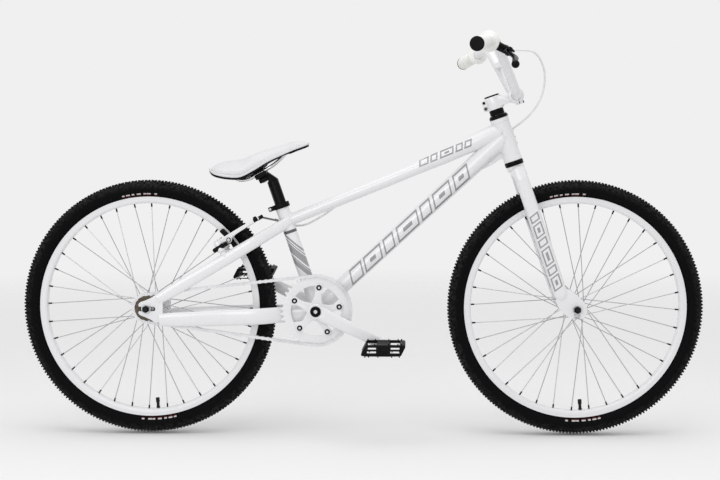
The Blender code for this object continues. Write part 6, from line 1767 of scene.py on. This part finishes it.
# %% Arms
for side, word in sides:
    pivot, eye = pivots[side], pad_eye(side)
    outline = [by_arm(side, *spot) for spot in arm_foot]
    outline += arc(eye, 0.0072, arm_slant + math.pi, arm_slant + 2 * math.pi, 16)
    outline += [by_arm(side, *spot) for spot in arm_blade]
    solids = [Shape().pin(pivot, stay_above, -0.0236, 0.0030, 0.0080, 44, 0.0008),
              Shape().plate([outline], pivot.y, 0.0100, 0.0012, 3)]
    bores = [Shape().pin(pivot, stay_above, -0.044, 0.02, 0.0043),
             Shape().pin(eye, left, -0.01, 0.01, 0.0034, 24)]
    arm = forged(f"brake_arm_forging_{word}", "white_paint", solids, bores, 0.0003)
    mount(arm, f"brake_{word}", f"brake_arm_{word}")
    foot = pivot - stay_above * 0.0180
    spring = Shape().turned(spring_box, foot, stay_above, 40)
    spring.tube([foot + stay_run * 0.0095, foot + stay_run * 0.020 + stay_above * 0.004,
                 by_arm(side, 0.0480, -0.0045), by_arm(side, 0.0560, -0.0034)], 0.0008, 10)
    spring.rod(by_arm(side, 0.0520, -0.0052), by_arm(side, 0.0520, 0.0040), 0.0016, 16)
    spring.bolt_head(pivot + stay_above * 0.0042, stay_above, 0.0048, 0.0030)
    mount(spring.done(f"brake_spring_{word}", "white_paint", 34), f"brake_{word}")
    rings = blended([(by_arm(side, along, -0.0125, out), stay_above * tall, left * wide)
                     for along, out, tall, wide in cover_rows], 28, 0.8)
    cover = Shape().loft(capped(rings)).done(f"spring_cover_{word}", "black_plastic", 40)
    mount(cover, f"brake_{word}")
    print(arm.name, len(arm.data.polygons), "faces")

# %% Pads
pad_half, pad_thick, pad_tall, pad_face = 0.030, 0.0100, 0.0060, 0.0163
pad_steps, pad_grooves = 24, (7, 8, 16, 17)
# the post's discs: where each starts and ends, out from the wheel's middle, and its radius
post_discs = mm((24.3, 37.2, 5.8), (33, 35, 6.5), (47.8, 49.2, 5.6))
for side, word in sides:
    post, out = at(pad_eye(side), y=-side * pivot_y), left * side
    radial = (post - rear_axle).normalized()
    rings = []
    for n in range(pad_steps + 1):
        share = 2 * n / pad_steps - 1
        at_end = n in (0, pad_steps)
        tall = pad_tall * (0.80 if at_end else 0.86 if n in pad_grooves else 1)
        thick = pad_thick / 2 * (1 - 0.25 * share * share)
        middle = post + above_line(radial) * share * pad_half - radial * 0.0018 * share * share
        rings.append(oval(middle + out * (pad_face + thick), radial * tall,
                          out * thick * (0.85 if at_end else 1), 28, 0.45))
    pad, discs = Shape().loft(rings).done("pad", "pad_rubber", 40), Shape()
    for start, stop, disc_radius in post_discs:
        discs.pin(post, out, start, stop, disc_radius, 28, 0.0003)
    block = joined(f"brake_pad_block_{word}", "pad_rubber", pad, discs.done("discs", "pad_rubber"), sharp=34)
    mount(block, f"brake_{word}", f"brake_pad_{word}")
    nut = Shape().pin(post, out, 0.0492, 0.0522, 0.0046, 6, 0.0005)
    nut.pin(post, out, 0.0223, 0.0536, 0.0028, 24)
    mount(nut.done(f"pad_post_and_nut_{word}", "bright_steel", 28), f"brake_{word}")
print("pads: 2, each", 2 * pad_half, "m long")

# %% Noodle, and the wire across
noodle_along, anchor_along = 0.107, 0.105
foot = by_arm(1, noodle_along, 0, 0.0053)
noodle_line = rounded([foot + left * 0.001, foot + left * 0.0160, noodle_end], (0.0100,), 16)
noodle = Shape().tube(noodle_line, 0.0024, 24).pin(foot, left, 0, 0.0060, 0.0044, 28, 0.0008)
noodle.pin(noodle_end, noodle_run, -0.0090, -0.0003, 0.0031, 28, 0.0003)
mount(noodle.done("bent_noodle", "dull_steel", 34), "brake_left", "brake_noodle")
holder = Shape().box(by_arm(1, noodle_along, 0), arm_axes, (0.0150, 0.0104, 0.0090), 0.0016, 3)
mount(holder.done("noodle_holder", "black_metal", 34), "brake_left")
anchor = Shape().box(by_arm(-1, anchor_along, 0), arm_axes, (0.0120, 0.0106, 0.0085), 0.0012, 3)
anchor.bolt_head(by_arm(-1, anchor_along, 0.0050), stay_above, 0.0040, 0.0030)
mount(anchor.done("wire_anchor", "black_metal", 30), "brake_right")
wire_start = by_arm(-1, anchor_along + 0.001, 0, -0.0045)
wire_end = by_arm(1, noodle_along, 0, -0.0048)
wire = Shape().rod(wire_start, wire_start.lerp(wire_end, 0.5), 0.0008, 12, 0.0001)
mount(wire.done("brake_inner_wire", "bright_steel", 40), "brake_right")
boot_start, boot_end = wire_start.lerp(wire_end, 0.985), wire_start.lerp(wire_end, 0.42)
boot_line, pleats, steps = [], [], 40
for n in range(steps + 1):
    boot_line.append(boot_start.lerp(boot_end, n / steps))
    pleats.append(0.0024 + 0.0014 * abs(math.sin(math.pi * n / 4)) * (0.4 if n < 3 else 1))
boot = Shape().tube(boot_line, pleats, 20).done("wire_boot", "black_plastic", 40)
mount(boot, "brake_left")
print("the wire crosses", round((wire_end - wire_start).length, 3), "m")

# %% [markdown]
# ## Cranks and chainring
#
# The right crank arm and its five-armed spider are one casting. The chainring is a toothed
# plate, cut open between its rim and the spider's bolts. Every tooth sits between two rollers
# of the chain, so the teeth and the chain are counted in the same pitch, half an inch.

# %% Bottom bracket cups and spindle bolts
cup = mm((9.8, 37.3), (18.6, 37.3), (20, 36.6), (20, 34.3), (17.3, 34.3), (17.3, 22.5), (9.8, 22.5))
for side, word in sides:
    ring = Shape().turned(cup, bracket, left * side)
    for turn in turns_of(16):
        out = in_wheel(Vector(), 1, turn)
        ring.box(bracket + out * 0.0197 + left * side * 0.0362, (out, left, above_line(out)),
                 (0.0012, 0.0022, 0.0036), 0.0003, 1)
    mount(ring.done(f"bracket_cup_{word}", "black_metal", 30), "frame", f"bottom_bracket_cup_{word}")
spindle_half = 0.0640
bolt_profile = mm((0.1, 64.8), (4.8, 64.8), (5.2, 66.8), (6, 67.1), (7.4, 67.1), (7.8, 66.6), (10.8, 66.6),
                  (12, 65.8), (12, 64.1), (0.1, 64.1))
face_profile = mm((0.1, 65.2), (2.6, 65.2), (2.8, 66.2), (4.6, 66.4), (4.8, 64.9), (0.1, 64.9))
spindle, faces = Shape().pin(bracket, left, -spindle_half, spindle_half, 0.0095, 40), Shape()
for side, _ in sides:
    spindle.turned(bolt_profile, bracket, left * side, 48)
    faces.turned(face_profile, bracket, left * side, 6)
mount(spindle.done("crank_spindle_bar", "black_metal", 30), "crankset", "crank_spindle")
mount(faces.done("crank_bolt_faces", "bright_steel", 30), "crankset")
print("spindle", 2 * spindle_half, "m long")

# %% Crank arms and spider
crank_run, crank_length, eye_y = Vector((0.902585, 0, -0.430511)), 0.175, 0.0683
spider_turn = math.atan2(crank_run.z, crank_run.x) + math.pi / 5
arm_turns = [spider_turn + turn for turn in turns_of(5)]
bolt_circle, arm_half, spider_waist = 0.0550, 0.0085, 0.0030
ring_bolts = [in_wheel(bracket, bolt_circle, turn) for turn in arm_turns]
# the crank's sections: along it, out from the middle, half height and half width
crank_rows = mm((-12, 56.3, 14, 7), (4, 56.3, 17.2, 7.5), (30, 57.3, 16.4, 7.3), (60, 59.3, 15.2, 7),
                (110, 63.5, 13.8, 6.6), (150, 67.7, 13.2, 6.4), (172, 68.3, 12.8, 6.4),
                (179, 68.3, 12, 6.2))


def spider_edge():
    """The spider's outline. Each arm is waisted on both flanks and round at its bolt."""
    outline = []
    for turn, bolt_spot in zip(arm_turns, ring_bolts):
        aside = Vector((math.sin(turn), 0, -math.cos(turn)))
        before, after = (in_wheel(bracket, 0.0215, turn + way * math.pi / 5) for way in (-1, 1))
        outline.append(before)
        for share in (0.35, 0.65, 0.9):
            waist = aside * spider_waist * math.sin(math.pi * share)
            outline.append(before.lerp(bolt_spot + aside * arm_half, share) - waist)
        outline += arc(bolt_spot, arm_half, turn - math.pi / 2, turn + math.pi / 2, 16)
        for share in (0.1, 0.35, 0.65):
            waist = aside * spider_waist * math.sin(math.pi * (1 - share))
            outline.append((bolt_spot - aside * arm_half).lerp(after, share) + waist)
    return outline


for side, word in sides:
    run, out = crank_run * -side, left * side
    crank_eye = bracket + run * crank_length + out * eye_y
    rings = blended([(bracket + run * along + out * y, above_line(run) * tall, left * wide)
                     for along, y, tall, wide in crank_rows], 40, 0.60, 7)
    solids = [Shape().pin(bracket, out, 0.0488, 0.0638, 0.0180, 64, 0.0014), Shape().loft(rings),
              Shape().pin(crank_eye, left, -0.0068, 0.0068, 0.0145, 56, 0.0012)]
    bores = [Shape().pin(bracket, out, 0.04, 0.09, 0.0098, 40),
             Shape().pin(bracket, out, 0.0618, 0.09, 0.0128, 56),
             Shape().pin(crank_eye, left, -0.02, 0.02, 0.0068, 40)]
    if side < 0:
        solids.insert(1, Shape().plate([spider_edge()], -0.0468, 0.0058, 0.0009, 3))
        bores += [Shape().pin(spot, left, -0.052, -0.040, 0.0046, 28) for spot in ring_bolts]
    crank = forged(f"crank_forging_{word}", "white_paint", solids, bores, 0.0004, 30)
    mount(crank, "crankset", f"crank_arm_{word}")
    print(crank.name, len(crank.data.polygons), "faces")


# %% Chainring
def toothed(centre, teeth, root, tip, first):
    """The outline of a sprocket: a round root for each roller, and a narrow tooth between."""
    rise, line = tip - root, []
    tooth = ((-0.30, root + rise * 0.45), (-0.18, root + rise * 0.08), (0, root),
             (0.18, root + rise * 0.08), (0.30, root + rise * 0.45), (0.42, tip - 0.0006), (0.5, tip),
             (0.58, tip - 0.0006))
    for turn in turns_of(teeth):
        line += [in_wheel(centre, r, first + turn + share * 2 * math.pi / teeth) for share, r in tooth]
    return line


ring_pitch, cog_pitch, chain_y, sprocket_thick = 0.08093, 0.03255, -0.0420, 0.0029
ring_teeth, cog_teeth = 40, 16
between_axles = bracket - rear_axle
heading = math.atan2(between_axles.z, between_axles.x)
spread = math.acos((ring_pitch - cog_pitch) / between_axles.length)
chain_lower, chain_upper = heading - math.pi + spread, heading + math.pi - spread
teeth_edge = toothed(bracket, ring_teeth, ring_pitch - 0.0040, ring_pitch + 0.0036, chain_lower)
inner_edge = []
for turn in arm_turns:
    tab_turn = turn + 2 * math.pi / 5
    tab = in_wheel(bracket, bolt_circle, tab_turn)
    inner_edge += arc(bracket, 0.0585, turn + 0.20, tab_turn - 0.20, 14)
    inner_edge += arc(tab, 0.0095, tab_turn + 1.5 * math.pi + 0.25, tab_turn + 0.5 * math.pi - 0.25, 10)
bolt_holes = [[in_wheel(spot, 0.0046, turn) for turn in turns_of(24)] for spot in ring_bolts]
ring = Shape().plate([teeth_edge, inner_edge] + bolt_holes, chain_y, sprocket_thick, 0.0004)
mount(ring.done("toothed_chainring", "white_paint", 30), "crankset", "chainring")
screw = mm((0.1, 50.4), (1.4, 50.4), (1.6, 51.6), (2.7, 51.7), (3, 51), (3, 39.5), (0.1, 39.5))
screw_rim = mm((3.1, 50.6), (5.6, 51), (6.4, 50.4), (6.4, 49.8), (3.1, 49.8))
screw_back = mm((0.1, 40.4), (6.6, 40.4), (6.6, 39.2), (6, 38.8), (0.1, 38.8))
screws, screw_rims = Shape(), Shape()
for spot in ring_bolts:
    screws.turned(screw, spot, -left, 28)
    screw_rims.turned(screw_rim, spot, -left, 32).turned(screw_back, spot, -left, 28)
mount(screws.done("chainring_screws", "bright_steel", 30), "crankset")
mount(screw_rims.done("chainring_screw_rims", "black_metal", 30), "crankset")
print("chainring:", ring_teeth, "teeth and", len(ring_bolts), "bolts")

# %% [markdown]
# ## Freewheel and chain
#
# The chain is two kinds of link in turn: outer plates outside inner plates, on rollers. Its
# line is two arcs and two straight runs. One link of each kind is built at the origin, and a
# tree stands copies at every second point of the line, each turned along it.

# %% Freewheel
cog_edge = toothed(rear_axle, cog_teeth, cog_pitch - 0.0040, cog_pitch + 0.0034, chain_upper)
cog_hole = [in_wheel(rear_axle, 0.0224, -turn) for turn in turns_of(48)]
ratchet = mm((17.8, 33.5), (21.8, 33.5), (22.5, 34.2), (22.5, 47), (21.6, 48), (20.5, 48), (20.2, 47.4),
             (19.2, 47.4), (19, 48.4), (17.8, 48.4))
cog = Shape().plate([cog_edge, cog_hole], chain_y, sprocket_thick, 0.0004)
cog.turned(ratchet, rear_axle, -left)
mount(cog.done("freewheel_cog", "worn_steel", 30), "freewheel", "freewheel")
print("freewheel:", cog_teeth, "teeth")

# %% A tree that stands links along a line
along_line = Tree("links_along_a_line", Line=("Object", None), Skip=("Int", 0))
given = along_line.inputs
line = along_line.node("GeometryNodeObjectInfo", {}, {"Object": given["Line"]}).outputs["Geometry"]
curve = along_line.node("GeometryNodeMeshToCurve", {}, {0: line}).outputs[0]
marks = along_line.node("GeometryNodeCurveToPoints", {"mode": "EVALUATED"}, {0: curve}).outputs
every_second = (along_line.index + given["Skip"]).sum("MODULO", 2) < 0.5
chosen = {0: marks["Points"], "Selection": every_second}
marked = along_line.node("GeometryNodeSeparateGeometry", {}, chosen).outputs[0]
along_line.stand(marked, along_line.turned_to(marks["Tangent"], axis="X", pivot_axis="Y"))

# %% The chain's line
half_inch = 0.0127
ring_run, cog_run = ring_pitch * (chain_upper - chain_lower), cog_pitch * 2 * spread
straight = math.sqrt(between_axles.length ** 2 - (ring_pitch - cog_pitch) ** 2)
chain_length = ring_run + cog_run + 2 * straight
link_count = 2 * round(chain_length / half_inch / 2)
link_length = chain_length / link_count


def chain_spot(gone):
    """A point of the line, this far from where the chain meets the chainring's lower side."""
    def on_ring(turn):
        return in_wheel(bracket, ring_pitch, turn)

    def on_cog(turn):
        return in_wheel(rear_axle, cog_pitch, turn)

    if gone < ring_run:
        return on_ring(chain_lower + gone / ring_pitch)
    gone -= ring_run
    if gone < straight:
        return on_ring(chain_upper).lerp(on_cog(chain_upper), gone / straight)
    gone -= straight
    if gone < cog_run:
        return on_cog(chain_upper + gone / cog_pitch)
    return on_cog(chain_lower).lerp(on_ring(chain_lower), (gone - cog_run) / straight)


spots = [at(chain_spot((n + 0.5) * link_length), y=chain_y) for n in range(link_count)]
line = bpy.data.meshes.new("chain_line")
line.from_pydata(spots, [(n, (n + 1) % link_count) for n in range(link_count)], [])
chain_line = linked("chain_line", line)
print("chain:", link_count, "links, pitch", round(link_length * 1000, 2), "mm")


# %% Links
def chain_link(plate_y, reach, thick, corners):
    """Two figure-of-eight side plates, and a roller or a pin at each end."""
    made, outline, wrap = Shape(), [], 2.15
    for end, turn in ((1, 0), (-1, math.pi)):
        outline += arc(forward * end * link_length / 2, 0.0040, turn - wrap, turn + wrap, 8)
        outline.append(up * end * 0.0027)
    for y in (-plate_y, plate_y):
        made.loft([[at(p, y=y + half) for p in outline] for half in (-0.00045, 0.00045)])
    for end in (-1, 1):
        made.pin(forward * end * link_length / 2, left, -reach, reach, thick, corners, 0.0002)
    return made.done("link", "pale_chain", 35)


inner_link, outer_link = chain_link(0.0026, 0.0022, 0.0037, 14), chain_link(0.0037, 0.0046, 0.0017, 10)
links = [along_line.grown(link, Line=chain_line, Skip=skip)
         for skip, link in enumerate((inner_link, outer_link))]
bpy.data.objects.remove(chain_line)
chain = joined("roller_chain", "pale_chain", *links, sharp=35)
mount(chain, "frame", "chain")
print("chain:", len(chain.data.polygons), "faces")

# %% [markdown]
# ## Pedals
#
# A platform pedal is one moulded cage round a barrel. Light shows through its windows, and
# short pins stand on both faces for grip. The cage starts as a lofted block, and the windows
# are cut out of it.

# %% The cage's block and windows
pedal_places = {-1: Vector((0.052921, -0.0683, 0.217661)), 1: Vector((-0.262984, 0.0683, 0.368339))}
cage_middle, cage_half, window_x, window_end = 0.0586, 0.0460, 0.0262, 0.0410
cage_section = mm((-47.5, -11.8), (-50, -9.8), (-49.4, -7), (-40.2, 11), (-37.5, 12.6), (-15, 13),
                  (15, 13), (46.2, 12.6), (49.6, 10.8), (49.8, 8), (40.4, -10.8), (37, -12.4),
                  (12, -13), (-15, -13), (-40, -12.6))
cage_shares = ((-1, 0.975), (-0.985, 0.995), (-0.97, 1), (0.97, 1), (0.985, 0.995), (1, 0.975))


def cage_windows(middle, side):
    """Windows through the cage and in its ends, and the bore of its barrel."""
    windows = []
    for end in (-1, 1):
        x, outer_end = end * window_x, side * window_end
        openings = [((end * 0.0260, 0, 0), (0.0235, 0.0740, 0.0500), 0.0020),
                    ((x, outer_end, 0.0048), (0.0205, 0.0200, 0.0050), 0.0010),
                    ((x, outer_end, -0.0036), (0.0205, 0.0200, 0.0050), 0.0010),
                    ((x, -outer_end, -0.0022), (0.0205, 0.0200, 0.0177), 0.0012)]
        windows += [Shape().box(at(middle, *spot), world_axes, size, edge) for spot, size, edge in openings]
    return windows + [Shape().pin(middle, left * side, -0.056, 0.040, 0.0070)]


print("windows in a cage:", len(cage_windows(Vector(), 1)) - 1)

# %% Pedals and their axles
pin_places, pin_foot, pin_top = (-0.0362, -0.0190, 0.0118, 0.0330, 0.0410), 0.0120, 0.0158
barrel_end_ring = mm((7.2, 46.6), (9, 46.6), (9.6, 46), (9.6, 44), (7.2, 44))
axle_collar = mm((6, 7.1), (8.8, 7.1), (9.5, 7.6), (9.5, 11.6), (8.8, 12.1), (6, 12.1))
for side, word in sides:
    place, out = pedal_places[side], left * side
    middle = place + out * cage_middle
    rings = [[at(middle, x * small, share * cage_half, z * small) for x, z in cage_section]
             for share, small in cage_shares]
    cage = forged("cage", "black_plastic", [Shape().loft(rings)], cage_windows(middle, side), 0.0003, 28, 45)
    pins = Shape()
    for x in pin_places:
        for y in (-0.0405, 0.0405):
            for face in (1, -1):
                foot, top = (at(middle, face * x, y, face * z) for z in (pin_foot, pin_top))
                pins.rod(foot, top, 0.0015, 12, 0.0002, 0.0012)
    for end in (-1, 1):
        pins.turned(barrel_end_ring, middle, left * end, 32)
    pins = pins.done("pins", "black_plastic", 30)
    pedal = joined(f"pedal_cage_{word}", "black_plastic", cage, pins, sharp=28)
    mount(pedal, f"pedal_{word}", f"pedal_{word}")
    axle = Shape().pin(place, out, -0.0058, 0.0966, 0.0064, 36).turned(axle_collar, place, out, 40)
    mount(axle.done(f"pedal_axle_bar_{word}", "bright_steel", 30), "crankset", f"pedal_axle_{word}")
print("pedal pins:", 4 * len(pin_places), "each")

# %% [markdown]
# ## Axles and nuts
#
# Each wheel is bolted in with a solid threaded axle and two flanged nuts. The thread shows at
# the ends only, so only there it is modelled, as a row of small ridges by the row tree.

# %% Axles
ridge_profile = mm((4, -0.3), (4.6, -0.3), (4.9, 0), (4.6, 0.3), (4, 0.3))
washer_profile = mm((5.6, 0), (10.6, 0), (11, 0.5), (11, 1.6), (10.4, 2), (5.6, 2))
nut_profile = mm((8.6, 1.8), (8.6, 9.2), (7.8, 10.2), (7, 10.5), (5.6, 10.5), (5.6, 1.8))
axle_reach, nut_from_end, ridges = {"front": 0.0733, "rear": 0.0783}, 0.0170, 9
riders = {"front": "steering", "rear": "frame"}
for end, centre in wheels:
    reach, rider = axle_reach[end], riders[end]
    bar = Shape().pin(centre, left, 0.0100 - reach, reach - 0.0100, 0.0048, 36)
    for side, _ in sides:
        bar.pin(centre, left * side, reach - 0.0102, reach, 0.0045, 30, 0.0006)
    parts = [bar.done("bar", "bright_steel")]
    for side, _ in sides:
        ridge = Shape().turned(ridge_profile, Vector(), up, 28).done("ridge", "bright_steel")
        start, stop = (at(centre, y=side * (reach - short)) for short in (0.0092, 0.0012))
        parts.append(in_a_row.grown(ridge, Count=ridges, Start=start, End=stop))
    mount(joined(f"{end}_threaded_axle", "black_steel", *parts, sharp=40), rider, f"{end}_axle")
    for side, word in sides:
        out = left * side
        place = centre + out * (reach - nut_from_end)
        washer = Shape().turned(washer_profile, place, out, 48)
        mount(washer.done(f"{end}_washer_{word}", "silver", 26), rider)
        rings = [[in_wheel(place + out * height, size, turn + math.pi / 6) for turn in turns_of(6)]
                 for size, height in nut_profile]
        nut = Shape().loft(rings, ends=False, closed=True)
        mount(nut.done(f"{end}_hexagon_nut_{word}", "black_metal", 26), rider, f"{end}_axle_nut_{word}")
print("axles:", len(axle_reach), "with", len(axle_reach) * len(sides), "nuts")

# %% [markdown]
# ## Floor and light
#
# The photograph is a studio picture on near-white paper. A white floor fades out a few metres
# away, where the world takes over. The world glows a little brighter for the camera than it
# lights, which keeps the paper pale without more light on the paint. A wide soft lamp hangs
# above, a weaker one fills from the camera's side, and the shadow under the tyres stays faint.

# %% Floor
floor, floor_half, floor_z = Shape(), 5, -0.003
corners = [(x * floor_half, y * floor_half, floor_z) for x, y in ((-1, -1), (1, -1), (1, 1), (-1, 1))]
floor.bm.faces.new([floor.bm.verts.new(corner) for corner in corners])
floor.done("paper_floor", "studio_paper", 60)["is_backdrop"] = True
print("floor", 2 * floor_half, "m wide")


# %% Lamps and world
def lamp(name, place, aim, size, power):
    """A soft square light that faces a point."""
    data = bpy.data.lights.new(name, "AREA")
    data.shape, data.energy = "RECTANGLE", power
    data.size, data.size_y = size
    aimed(name, data, place, Vector(aim) - Vector(place))


lamp("overhead", (0.2, -0.6, 3.2), (0, 0, 0.4), (3.2, 2.4), 34)
lamp("camera_side", (-1.2, -3.4, 1.6), (0, 0, 0.5), (2.0, 1.6), 24)
world_lights, world_shows_more = 0.70, 0.17
world = bpy.data.worlds.new("studio")
world.use_nodes = True
sky = world.node_tree
rays = make_node(sky, "ShaderNodeLightPath").outputs
seen = sum(Number(sky, rays[f"Is {kind} Ray"]) for kind in ("Camera", "Glossy", "Transmission"))
glow = seen.clamped() * world_shows_more + world_lights
feed(sky, sky.nodes["Background"], {"Color": (1, 1, 1, 1), "Strength": glow})
bpy.context.scene.world = world
bpy.context.scene.view_settings.view_transform = "Standard"
print("lights: 2 and the world")

low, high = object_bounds()
print("from", tuple(round(c, 4) for c in low), "to", tuple(round(c, 4) for c in high))
